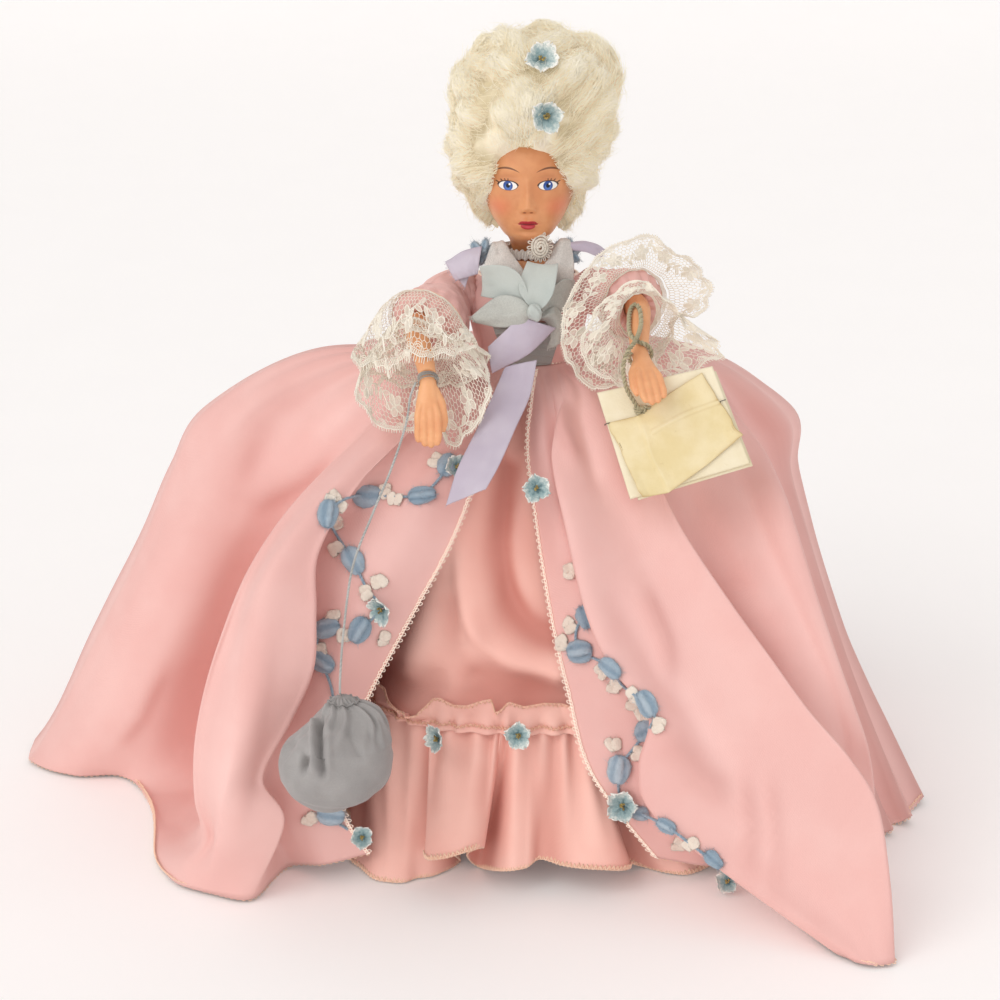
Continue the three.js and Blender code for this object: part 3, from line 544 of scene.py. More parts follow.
fb = Build()
fx = np.linspace(-2600, 2600, 40)
fy = np.concatenate([np.linspace(-2000, 1500, 30), 1500 + 900 * np.sin(np.linspace(0.05, 1, 14) * np.pi / 2), np.full(8, 2400.0)])
fz = np.concatenate([np.zeros(30), 900 * (1 - np.cos(np.linspace(0.05, 1, 14) * np.pi / 2)), np.linspace(1000, 2600, 8)])
G = np.stack([np.broadcast_to(fx, (len(fy), len(fx))), np.broadcast_to(fy[:, None], (len(fy), len(fx))), np.broadcast_to(fz[:, None], (len(fy), len(fx)))], -1)
idx = np.arange(G.shape[0] * G.shape[1]).reshape(G.shape[:2])
fb.add(G.reshape(-1, 3), np.stack([idx[:-1, :-1], idx[:-1, 1:], idx[1:, 1:], idx[1:, :-1]], -1).reshape(-1, 4))
fm = Mat("paper_sweep", 0.75, **{"Specular_IOR_Level": 0.2, "Emission_Color": (1.0, 0.97, 0.955, 1), "Emission_Strength": 0.06})
fn = fm.noise(0.02, 4.0, 0.6)
fm.colour(fm.mix(fm.ramp(fn, 0.3, 0.7), lin("fcfaf9"), lin("fdfbfa"))).bump(fm.noise(0.8, 4.0), 0.05, 0.0001)
fb.make("floor", fm.m)

world = bpy.data.worlds.new("studio")
scene.world = world
world.use_nodes = True
world.node_tree.nodes["Background"].inputs[0].default_value = (1.0, 0.985, 0.98, 1)
world.node_tree.nodes["Background"].inputs[1].default_value = 0.66


def lamp(name, place, target, size, power, colour=(1, 1, 1)):
    l = bpy.data.lights.new(name, "AREA")
    l.shape, l.size, l.size_y, l.energy, l.color = "RECTANGLE", size[0], size[1], power, colour
    o = bpy.data.objects.new(name, l)
    scene.collection.objects.link(o)
    o.location = Vector(place)
    o.rotation_euler = (Vector(target) - Vector(place)).to_track_quat("-Z", "Y").to_euler()
    return o


def sun(name, towards, angle, strength, colour=(1, 1, 1)):
    l = bpy.data.lights.new(name, "SUN")
    l.angle, l.energy, l.color = math.radians(angle), strength, colour
    o = bpy.data.objects.new(name, l)
    scene.collection.objects.link(o)
    o.location = Vector(towards) * 2
    o.rotation_euler = (-Vector(towards)).to_track_quat("-Z", "Y").to_euler()
    return o


sun("key", (-0.6, -0.5, 0.66), 46, 0.88, (1.0, 0.985, 0.965))
lamp("front", (-0.55, -1.3, 0.42), (-0.01, -0.05, 0.05), (1.5, 0.6), 3.4, (1.0, 0.985, 0.965))
lamp("fill", (1.2, -0.6, 0.7), (0.02, 0, 0.08), (1.4, 1.2), 2.2, (1.0, 0.98, 0.98))
scene.view_settings.view_transform = "Standard"
scene.view_settings.look = "None"
scene.view_settings.exposure = 0.0
scene.view_settings.gamma = 1.0

# =================================================================================================
# overskirt
# =================================================================================================
NET_V = A([0, 1, 2, 2.5, 3, 3.5, 4, 4.5, 5, 5.5, 6])  # rows from the waist (0) to the hem (6)
NET = A([
    [[-2.3, -12.0, 118.6], [-5.8, -19.2, 114.0], [-9.6, -27.0, 104.9], [-13.6, -36.4, 95.6], [-19.5, -46.0, 83.1], [-29.1, -51.2, 66.2], [-38.6, -55.0, 49.0], [-44.5, -59.1, 36.0], [-47.1, -62.0, 25.1], [-44.4, -62.2, 15.8], [-39.6, -61.5, 7.3]],
    [[-4.4, -11.5, 118.6], [-10.2, -20.9, 114.3], [-16.5, -31.0, 105.4], [-24.0, -41.2, 96.5], [-32.4, -51.0, 85.0], [-40.0, -55.5, 70.6], [-46.6, -58.0, 55.2], [-51.4, -60.4, 40.4], [-54.0, -62.0, 26.5], [-53.1, -62.2, 15.1], [-50.9, -62.0, 4.5]],
    [[-6.9, -10.5, 118.6], [-15.1, -19.8, 114.5], [-24.0, -30.0, 105.9], [-41.0, -39.4, 95.4], [-55.1, -48.0, 81.8], [-55.6, -52.0, 68.5], [-56.2, -55.0, 54.9], [-61.3, -58.0, 41.7], [-65.8, -62.0, 28.4], [-64.9, -61.1, 14.8], [-60.4, -56.7, 1.0]],
    [[-9.0, -9.0, 118.6], [-18.9, -21.3, 115.9], [-31.8, -32.4, 106.7], [-43.6, -43.8, 97.2], [-52.1, -54.5, 85.0], [-52.7, -59.4, 72.0], [-53.4, -62.5, 58.3], [-59.3, -64.0, 44.6], [-66.3, -65.5, 30.2], [-60.8, -69.0, 20.0], [-67.1, -72.1, 1.0]],
    [[-9.5, -8.6, 118.6], [-19.9, -21.3, 116.3], [-31.3, -34.0, 107.2], [-42.5, -46.8, 98.2], [-50.7, -58.5, 86.6], [-51.3, -63.5, 73.8], [-52.0, -66.5, 60.0], [-57.8, -68.0, 46.5], [-64.7, -69.5, 32.2], [-59.3, -73.0, 22.2], [-68.0, -73.0, 1.0]],
    [[-9.7, -8.4, 118.6], [-20.4, -21.2, 116.5], [-31.8, -34.2, 107.3], [-43.3, -47.1, 98.3], [-51.9, -58.9, 86.7], [-52.5, -63.9, 73.9], [-53.1, -66.9, 60.2], [-59.0, -68.4, 46.7], [-65.9, -69.9, 32.4], [-60.5, -73.4, 22.4], [-69.2, -73.5, 1.0]],
    [[-10.5, -7.6, 118.6], [-22.4, -20.2, 117.2], [-35.2, -35.0, 108.6], [-48.3, -49.6, 99.0], [-60.1, -62.5, 86.3], [-64.7, -67.4, 72.6], [-67.9, -70.5, 58.2], [-70.7, -73.2, 44.3], [-73.4, -74.5, 30.2], [-76.3, -73.4, 15.8], [-79.2, -70.1, 1.0]],
    [[-11.2, -6.7, 118.6], [-24.5, -18.4, 117.8], [-39.6, -29.2, 108.3], [-54.8, -44.4, 95.6], [-66.0, -53.4, 81.5], [-73.6, -58.4, 64.9], [-78.1, -61.4, 51.1], [-80.6, -63.9, 37.8], [-80.6, -66.4, 24.7], [-78.3, -67.4, 13.9], [-87.4, -65.7, 1.0]],
    [[-11.4, -6.5, 118.6], [-25.1, -17.8, 117.8], [-40.1, -29.0, 108.2], [-56.0, -44.0, 95.5], [-67.2, -53.0, 81.3], [-74.8, -58.0, 64.7], [-79.4, -61.0, 50.9], [-81.9, -63.5, 37.6], [-81.9, -66.0, 24.5], [-79.6, -67.0, 13.7], [-89.5, -63.3, 1.0]],
    [[-11.7, -6.1, 118.6], [-26.2, -16.3, 117.7], [-39.8, -27.4, 107.7], [-55.5, -40.4, 94.2], [-66.8, -49.0, 79.8], [-74.5, -54.0, 63.0], [-79.1, -57.0, 49.1], [-81.6, -59.5, 35.6], [-81.6, -62.0, 22.4], [-83.3, -60.0, 9.6], [-94.2, -54.7, 1.0]],
    [[-12.4, -4.7, 118.6], [-30.0, -10.6, 116.7], [-45.8, -16.0, 102.5], [-58.4, -10.0, 81.2], [-71.2, -2.0, 60.0], [-79.5, 1.0, 38.3], [-84.7, 1.0, 21.2], [-87.5, -3.0, 7.0], [-88.2, -14.0, 0.3], [-95.7, -24.0, -1.1], [-101.1, -24.5, 1.0]],
    [[-13.0, -3.0, 118.6], [-37.9, -5.6, 117.3], [-59.4, -8.0, 104.0], [-71.1, -8.4, 86.7], [-81.9, -8.5, 64.9], [-90.8, -8.5, 44.7], [-97.7, -8.5, 27.7], [-102.2, -9.2, 15.9], [-105.9, -10.0, 8.0], [-109.5, -9.0, 3.3], [-112.8, -6.4, 1.0]],
    [[-13.3, -1.7, 118.6], [-44.5, -2.4, 118.1], [-70.9, -3.5, 104.5], [-82.5, -6.0, 87.8], [-93.1, -8.0, 66.4], [-103.3, -7.8, 44.8], [-111.5, -7.5, 27.2], [-117.1, -8.0, 17.7], [-121.1, -8.5, 10.9], [-123.8, -7.9, 5.2], [-125.5, -6.4, 1.0]],
    [[-13.3, 1.3, 118.6], [-54.9, 4.9, 119.4], [-85.3, 5.0, 103.6], [-95.9, 5.0, 86.0], [-105.3, 5.0, 64.6], [-115.5, 5.8, 44.8], [-124.2, 7.0, 28.2], [-130.3, 7.7, 16.6], [-134.9, 8.0, 8.7], [-138.3, 7.0, 3.7], [-140.7, 4.7, 1.0]],
    [[-11.6, 6.1, 118.6], [-47.5, 19.4, 116.2], [-77.0, 31.0, 98.0], [-86.9, 35.9, 84.6], [-94.0, 40.0, 70.0], [-99.8, 42.9, 55.6], [-104.0, 45.0, 42.0], [-106.9, 46.7, 30.4], [-109.0, 48.0, 20.0], [-110.6, 49.1, 10.3], [-112.0, 50.0, 1.0]],
    [[-7.5, 10.1, 118.6], [-31.0, 29.9, 117.2], [-49.0, 46.0, 101.0], [-58.6, 53.6, 86.2], [-67.0, 60.0, 70.0], [-72.9, 64.1, 55.4], [-77.0, 67.0, 42.0], [-79.4, 69.2, 30.4], [-81.0, 71.0, 20.0], [-82.6, 72.6, 10.3], [-84.0, 74.0, 1.0]],
    [[-2.8, 11.9, 118.6], [-10.1, 31.2, 117.6], [-18.0, 52.0, 103.0], [-22.6, 60.8, 87.3], [-27.0, 68.0, 70.0], [-30.3, 72.8, 55.3], [-33.0, 76.0, 42.0], [-35.2, 78.3, 30.4], [-37.0, 80.0, 20.0], [-38.6, 81.6, 10.3], [-40.0, 83.0, 1.0]],
    [[2.8, 11.9, 118.6], [10.1, 31.2, 117.6], [18.0, 52.0, 103.0], [21.2, 60.8, 87.3], [24.0, 68.0, 70.0], [26.2, 72.8, 55.3], [28.0, 76.0, 42.0], [29.6, 78.3, 30.4], [31.0, 80.0, 20.0], [32.1, 81.6, 10.3], [33.0, 83.0, 1.0]],
    [[7.5, 10.1, 118.6], [29.0, 29.5, 117.2], [45.0, 45.0, 101.0], [50.7, 52.0, 86.2], [55.0, 58.0, 70.0], [58.8, 62.6, 55.4], [62.0, 66.0, 42.0], [65.2, 68.3, 30.4], [68.0, 70.0, 20.0], [70.1, 71.6, 10.3], [72.0, 73.0, 1.0]],
    [[11.6, 6.1, 118.6], [39.9, 18.1, 117.7], [61.0, 28.0, 101.0], [66.0, 32.4, 86.2], [69.0, 36.0, 70.0], [73.6, 38.3, 55.4], [78.0, 40.0, 42.0], [81.7, 41.6, 30.4], [85.0, 43.0, 20.0], [88.1, 44.5, 10.3], [91.0, 46.0, 1.0]],
    [[13.3, 1.3, 118.6], [45.1, 3.9, 118.3], [69.7, 4.0, 102.2], [71.5, 3.0, 87.4], [75.6, 0.0, 70.8], [80.0, -2.8, 55.4], [84.7, -6.0, 41.3], [90.2, -10.6, 28.4], [95.5, -16.0, 17.2], [99.6, -21.7, 8.2], [102.9, -27.9, 1.0]],
    [[13.4, -0.6, 118.6], [42.6, -2.3, 118.4], [56.3, -4.0, 99.7], [61.6, -12.0, 88.7], [66.6, -22.0, 76.2], [72.2, -26.5, 60.6], [77.5, -30.0, 44.6], [82.0, -33.4, 30.3], [86.0, -36.0, 18.1], [89.7, -37.8, 8.5], [93.2, -38.9, 1.0]],
    [[13.3, -1.4, 118.6], [40.4, -4.6, 118.3], [57.0, -17.4, 102.9], [61.9, -33.4, 95.4], [65.3, -45.0, 85.9], [69.9, -52.0, 71.7], [75.1, -57.0, 57.4], [79.2, -59.0, 46.0], [83.1, -60.0, 34.5], [86.7, -56.2, 19.5], [90.2, -46.4, 1.0]],
    [[13.3, -1.7, 118.6], [39.6, -5.3, 118.2], [57.3, -19.0, 103.4], [62.4, -37.0, 96.7], [65.8, -49.0, 87.4], [70.3, -56.0, 73.4], [75.4, -61.0, 59.2], [79.5, -63.0, 47.9], [83.4, -64.0, 36.5], [86.5, -59.3, 20.9], [89.2, -47.4, 1.0]],
    [[13.3, -2.0, 118.6], [38.8, -5.9, 118.1], [56.7, -19.2, 103.5], [61.2, -37.4, 96.8], [64.5, -49.4, 87.5], [69.1, -56.4, 73.5], [74.1, -61.4, 59.4], [78.2, -63.4, 48.0], [82.1, -64.4, 36.7], [85.5, -60.2, 21.0], [88.6, -49.5, 1.0]],
    [[13.0, -3.0, 118.6], [34.6, -7.1, 117.3], [48.9, -21.0, 104.1], [52.9, -35.6, 92.3], [56.9, -50.0, 78.3], [63.8, -58.1, 65.1], [70.8, -63.0, 52.1], [75.5, -65.1, 40.4], [79.5, -66.0, 28.5], [83.7, -62.0, 15.3], [87.6, -52.7, 1.0]],
    [[12.6, -4.2, 118.6], [29.3, -8.9, 116.3], [39.5, -25.0, 103.2], [38.8, -40.0, 88.3], [45.2, -52.0, 69.6], [54.4, -60.9, 57.8], [64.2, -67.0, 47.6], [73.0, -70.4, 37.0], [79.7, -72.0, 26.0], [83.9, -68.2, 13.9], [86.2, -58.8, 1.0]],
    [[11.8, -5.8, 118.6], [24.1, -15.3, 115.4], [30.0, -33.4, 101.2], [36.9, -46.4, 88.0], [48.1, -57.0, 73.0], [57.4, -65.0, 62.0], [66.1, -72.0, 51.6], [75.2, -78.0, 42.1], [81.4, -84.0, 32.5], [83.8, -92.0, 17.1], [85.0, -98.6, 1.0]],
    [[11.4, -6.5, 118.6], [22.0, -17.8, 115.2], [30.3, -35.0, 101.8], [37.5, -50.0, 89.3], [48.7, -61.0, 74.6], [57.8, -69.0, 63.8], [66.4, -76.0, 53.4], [75.5, -82.0, 44.1], [81.7, -88.0, 34.6], [84.0, -96.0, 19.4], [85.4, -101.6, 1.0]],
    [[11.2, -6.8, 118.6], [20.9, -18.7, 115.1], [29.7, -34.8, 101.7], [36.0, -49.5, 89.1], [47.0, -60.4, 74.4], [56.2, -68.4, 63.5], [64.9, -75.4, 53.1], [74.0, -81.4, 43.8], [80.1, -87.4, 34.3], [82.5, -95.4, 19.0], [83.9, -102.5, 1.0]],
    [[9.5, -8.6, 118.6], [14.9, -22.2, 115.1], [19.1, -37.0, 104.0], [25.0, -47.0, 89.6], [32.6, -57.0, 72.5], [38.3, -64.8, 59.9], [44.1, -72.0, 48.4], [50.5, -78.9, 38.1], [58.5, -86.0, 27.0], [71.5, -94.0, 11.6], [79.6, -102.9, 1.0]],
    [[7.4, -10.1, 118.6], [9.4, -23.2, 114.4], [6.4, -38.2, 104.7], [10.3, -52.4, 91.5], [14.9, -62.4, 74.7], [20.8, -69.4, 62.4], [30.3, -74.4, 51.4], [28.2, -77.4, 39.4], [31.3, -79.9, 28.5], [50.3, -88.4, 15.3], [74.5, -99.5, 1.0]],
    [[7.1, -10.3, 118.6], [8.7, -23.1, 114.3], [5.9, -38.0, 104.6], [9.2, -52.0, 91.3], [13.7, -62.0, 74.5], [19.6, -69.0, 62.2], [29.1, -74.0, 51.2], [27.0, -77.0, 39.2], [30.2, -79.5, 28.3], [49.2, -88.0, 15.1], [72.8, -98.2, 1.0]],
    [[6.7, -10.6, 118.6], [8.0, -22.8, 114.1], [6.3, -36.4, 104.1], [10.2, -48.4, 90.0], [14.8, -58.0, 72.9], [20.7, -65.0, 60.4], [30.3, -70.0, 49.3], [28.2, -73.0, 37.2], [31.4, -75.5, 26.2], [50.6, -84.0, 12.8], [69.4, -92.0, 1.0]],
    [[5.0, -11.3, 118.6], [6.7, -20.8, 113.4], [9.0, -31.0, 103.1], [12.4, -41.4, 88.5], [17.7, -52.0, 71.0], [26.8, -58.6, 58.6], [33.2, -63.0, 46.8], [32.4, -65.0, 33.2], [36.5, -66.0, 22.3], [43.4, -63.6, 11.5], [53.2, -57.3, 1.0]],
    [[3.2, -11.8, 118.6], [3.8, -21.5, 113.6], [4.5, -32.0, 103.9], [8.0, -41.5, 88.4], [12.8, -51.0, 70.8], [18.3, -56.8, 57.1], [24.0, -61.0, 45.0], [28.8, -64.9, 34.7], [33.4, -67.0, 25.0], [38.4, -65.2, 14.6], [43.6, -62.0, 4.0]],
    [[1.9, -12.1, 118.6], [1.0, -19.7, 112.9], [0.0, -28.0, 102.6], [2.2, -36.8, 86.4], [5.2, -46.0, 68.8], [7.8, -52.2, 56.7], [10.4, -57.0, 46.7], [12.4, -61.0, 38.4], [15.8, -63.5, 30.0], [23.1, -63.7, 18.9], [31.7, -63.0, 7.0]],
])
NET_COLUMNS = [16, 16, 10, 5, 4, 14, 14, 4, 5, 6, 14, 16, 18, 8, 7, 7, 7, 7, 7, 8, 12, 6, 5, 4, 12, 12, 8, 5, 4, 16, 16, 4, 5, 8, 14, 12]  # columns from one meridian to the next
us = np.concatenate([np.linspace(i, i + 1, n, endpoint=False) for i, n in enumerate(NET_COLUMNS)] + [[len(NET_COLUMNS)]])
vs = np.linspace(0, 6, 128)
NU, NV, UMAX = len(us), len(vs), len(NET_COLUMNS)
meridians = spline(NET.transpose(1, 0, 2), np.interp(vs, NET_V, np.arange(len(NET_V))))  # rows x meridians x 3


def folded(P, u):
    """A curve through P (rows x points x 3) that turns tightly where its points crowd together."""
    d = np.maximum(np.linalg.norm(np.diff(P, axis=1), axis=2, keepdims=True), 0.05) ** 0.75
    slope = np.diff(P, axis=1) / d
    m = np.concatenate([slope[:, :1], (slope[:, 1:] * d[:, :-1] + slope[:, :-1] * d[:, 1:]) / (d[:, :-1] + d[:, 1:]), slope[:, -1:]], 1)
    i = np.minimum(u.astype(int), P.shape[1] - 2)
    f = (u - i)[None, :, None]
    dd = d[:, i]
    return (2 * f**3 - 3 * f**2 + 1) * P[:, i] + (f**3 - 2 * f**2 + f) * dd * m[:, i] + (3 * f**2 - 2 * f**3) * P[:, i + 1] + (f**3 - f**2) * dd * m[:, i + 1]


SK = folded(meridians, us)  # rows x columns x 3
UU, VV = np.meshgrid(us, vs)
OUT = -normals(SK)


def along(row):
    """How far round each column is at a row, 0..22."""
    d = np.concatenate([[0], np.cumsum(np.linalg.norm(np.diff(SK[row], axis=0), axis=1))])
    return np.broadcast_to(22 * d / d[-1], UU.shape)


WA, MA = along(10), along(60)
gather = np.sin(2 * np.pi * (1.9 * WA + 0.55 * noise2(WA * 0.8, 0 * VV, 3))) * (0.75 + 0.35 * noise2(WA * 1.1, VV * 0.4, 4))
wrinkle = 0.55 * noise2(MA * 1.7 + 0.5 * VV, VV * 0.55, 5) + 0.3 * noise2(MA * 3.1 - 0.6 * VV, VV * 0.9, 6) + 0.1 * noise2(MA * 7, VV * 2.2, 7)
away = smooth(0, 0.8, UU) * smooth(0, 0.8, UMAX - UU)
disp = gather * (0.5 * smooth(0, 0.25, VV) * (1 - smooth(0.6, 2.6, VV)) + 0.06) + wrinkle * (0.3 + 0.45 * smooth(0.8, 3, VV)) * (0.35 + 0.65 * away)


def seen(P):
    """Where points fall in the picture."""
    d = P - CAM_AT
    k = CAM_F / (d @ FWD)
    return CAM_U0 + k * d[..., 0], CAM_V0 - k * (d @ UP)


def stroke(points, width, depth, u0, u1):
    """A soft ridge (depth > 0) or valley (depth < 0) of the cloth along a line in the picture, on the columns u0..u1 only."""
    X, Y = seen(SK)
    pts = A(points)
    seg = np.linalg.norm(np.diff(pts, axis=0), axis=1)
    run = np.concatenate([[0], np.cumsum(seg)])
    best, where = np.full(X.shape, 1e9), np.zeros(X.shape)
    for a, b, l, r0 in zip(pts[:-1], pts[1:], seg, run):
        t = np.clip(((X - a[0]) * (b - a)[0] + (Y - a[1]) * (b - a)[1]) / l**2, 0, 1)
        q = np.hypot(X - a[0] - t * (b - a)[0], Y - a[1] - t * (b - a)[1])
        near = q < best
        best, where = np.where(near, q, best), np.where(near, (r0 + t * l) / run[-1], where)
    return depth * np.exp(-((best / width) ** 2)) * (0.15 + 0.85 * smooth(0, 0.25, where) * smooth(0, 0.3, 1 - where)) * smooth(u0 - 0.3, u0 + 0.1, UU) * (1 - smooth(u1 - 0.1, u1 + 0.3, UU))


disp = disp + stroke([(352, 395), (300, 440), (262, 468), (243, 482)], 17, 0.9, 10.2, 13.6)
disp = disp + stroke([(345, 452), (303, 478), (262, 499), (236, 494)], 10, -1.3, 10.2, 13.6)
disp = disp + stroke([(300, 378), (264, 408), (246, 446), (234, 494)], 13, -0.9, 10.2, 13.6)
disp = disp + stroke([(236, 500), (216, 560), (176, 650), (142, 735)], 20, -0.7, 10.2, 13.6)
disp = disp + stroke([(205, 520), (170, 600), (120, 705), (90, 752)], 20, 0.6, 10.2, 13.6)
disp = disp + stroke([(112, 750), (140, 715), (165, 660)], 8, -1.0, 10.2, 13.6)
disp = disp + stroke([(238, 600), (226, 680), (222, 770), (226, 840)], 14, 1.0, 5.2, 7.4)
disp = disp + stroke([(270, 620), (258, 700), (246, 770), (232, 860)], 12, -0.9, 5.2, 7.4)
disp = disp + stroke([(638, 580), (664, 640), (672, 695)], 9, -1.4, 29.2, 31.2)
disp = disp + stroke([(598, 560), (640, 640), (690, 715), (742, 790)], 15, 1.3, 29.2, 31.2)
disp = disp + stroke([(660, 730), (692, 772), (736, 806)], 15, -1.6, 29.2, 31.4)
disp = disp + stroke([(742, 770), (752, 830), (744, 880)], 7, -1.1, 29.2, 31.4)
disp = disp + stroke([(770, 770), (778, 850), (772, 910)], 6, -0.9, 29.2, 31.4)
disp = disp + stroke([(556, 392), (562, 430), (580, 468)], 8, -1.8, 29.2, 31.6)
disp = disp + stroke([(574, 392), (586, 440), (604, 500)], 9, 1.4, 29.2, 31.6)
disp = disp + stroke([(604, 410), (618, 460), (640, 520)], 13, -1.5, 29.2, 31.6)
disp = disp + stroke([(700, 480), (730, 540), (772, 610)], 14, -0.9, 24.4, 26.4)
disp = disp + stroke([(735, 470), (765, 540), (800, 620), (836, 700)], 9, 0.9, 24.2, 26.2)
behind = smooth(12.4, 14.4, UU) * smooth(22.4, 20.4, UU)  # soft folds from the gathered waist down the back
disp = disp + behind * np.sin(2 * np.pi * (1.75 * MA + 0.5 * noise2(MA * 0.7, VV * 0.25, 8))) * (0.75 + 0.4 * noise2(MA * 0.9, 0 * VV, 9)) * (0.7 * smooth(0, 1, VV) + 1.6 * smooth(1, 6, VV)) * 1.5
SK = SK + OUT * disp[..., None] * smooth(-0.02, 0.25, VV)[..., None]
for k in range(10):  # the top is drawn in to the bodice's waist
    w = (1 - k / 10) ** 2
    wa = np.arctan2(SK[k, :, 0], -SK[k, :, 1])
    SK[k] = SK[k] * (1 - w) + oval(119.6 - 0.25 * k, 12.7 + 0.12 * k, 10.1 + 0.12 * k, 0.0, -0.3, 2, wa) * w
SK[..., 2] = np.maximum(SK[..., 2], 0.45 + 0.0 * VV)
OUT = -normals(SK)
# The tone follows the fold displacement: it drives painted shade in the valleys and painted highlight on the crests.
skirt = Build().sheet(SK, 0.34, tone=np.clip(0.56 + 0.22 * disp, 0, 1)).make("overskirt", pink_fold_shaded, "doll_body", ["overskirt_right", "overskirt_back", "overskirt_left"], "pink_satin")
print("overskirt area mm2", grid_area(SK), "waist", length(SK[0]), "hem", length(SK[-1]))

idx = np.arange(NV * NU).reshape(NV, NU)
skirt_tree = BVHTree.FromPolygons([tuple(p) for p in SK.reshape(-1, 3)], np.stack([idx[:-1, :-1], idx[:-1, 1:], idx[1:, 1:], idx[1:, :-1]], -1).reshape(-1, 4).tolist())


def on_skirt(px, py, lift=0.5):
    """Point on the overskirt's visible side at a place in the picture, lifted off it towards the camera; None where the skirt isn't."""
    d = ray(px, py)
    hit, n, _, _ = skirt_tree.ray_cast(Vector(CAM_AT), Vector(d))
    if hit is None:
        return None, None
    n = A(n)
    if n @ d > 0:
        n = -n
    return A(hit) + n * lift, n


edge_parts = Build()
for c, inner in ((0, 6), (NU - 1, NU - 7)):
    path, side = SK[2:, c], unit(SK[2:, inner] - SK[2:, c])
    near = OUT[2:, c] * np.sign(((CAM_AT - path) * OUT[2:, c]).sum(-1))[:, None]
    s = picot(path, side, near, 0.8, 1.7, 0.12, seed=c, loops=0.85)
    edge_parts.add(np.concatenate(s.v), np.concatenate(s.q), np.concatenate(s.t), np.concatenate(s.tone))
front_edges = edge_parts.make("overskirt_front_edging", edging, "doll_body", (), "pink_satin")
up_in = unit(SK[-8] - SK[-1])
s = picot(SK[-1], up_in, OUT[-1], 0.95, 1.6, 0.13, seed=3, loops=0.6)
hem_edge = s.make("overskirt_hem_edging", hem_thread, "doll_body", (), "pink_satin")

# =================================================================================================
# underskirt, heading frill, flounce, petticoat
# =================================================================================================
def more(b, s):
    """Adds another Build's shape to b."""
    k = b.n
    for v, t in zip(s.v, s.tone):
        b.v.append(v)
        b.tone.append(t)
        b.n += len(v)
    b.q += [q + k for q in s.q]
    b.t += [t + k for t in s.t]
    return b


def ring_grid(rows, z, a):
    T = table(rows, z)[:, None, :]
    return oval(T[..., 0], T[..., 1], T[..., 2], T[..., 3], 0, T[..., 4], a[None])


PETTICOAT = [[112.6, 13.5, 10.6, 0, 2], [106, 24, 17, 0.3, 2], [96, 32, 24.5, 0.8, 2.1], [70, 38, 37, 2.4, 2.4], [36, 42, 47, 3.6, 2.8], [8, 44, 51, 4, 3]]
UNDERSKIRT = [[116.4, 13.1, 10.9, 0, 2], [112, 20, 15.5, 0, 2], [104, 30, 22, 0.5, 2.1], [92, 38, 31, 1, 2.2], [70, 43.5, 42.4, 2.5, 2.5], [50, 47, 49.6, 3.3, 2.8], [36.8, 48.5, 54.5, 3.8, 3]]
HEADING = [[45.4, 49.8, 55, 3.6, 3], [41, 49.7, 55.4, 3.7, 3], [37.6, 50.4, 56.6, 3.8, 3]]
FLOUNCE = [[38, 48.9, 55, 3.8, 3], [24, 49.8, 56.6, 4, 3.1], [12, 50.4, 57.8, 4, 3.1], [0.3, 51, 59, 4, 3.2]]


def radial(G):
    d = G - A([3.5, 0, 0])
    d[..., 2] = 0
    return unit(d)


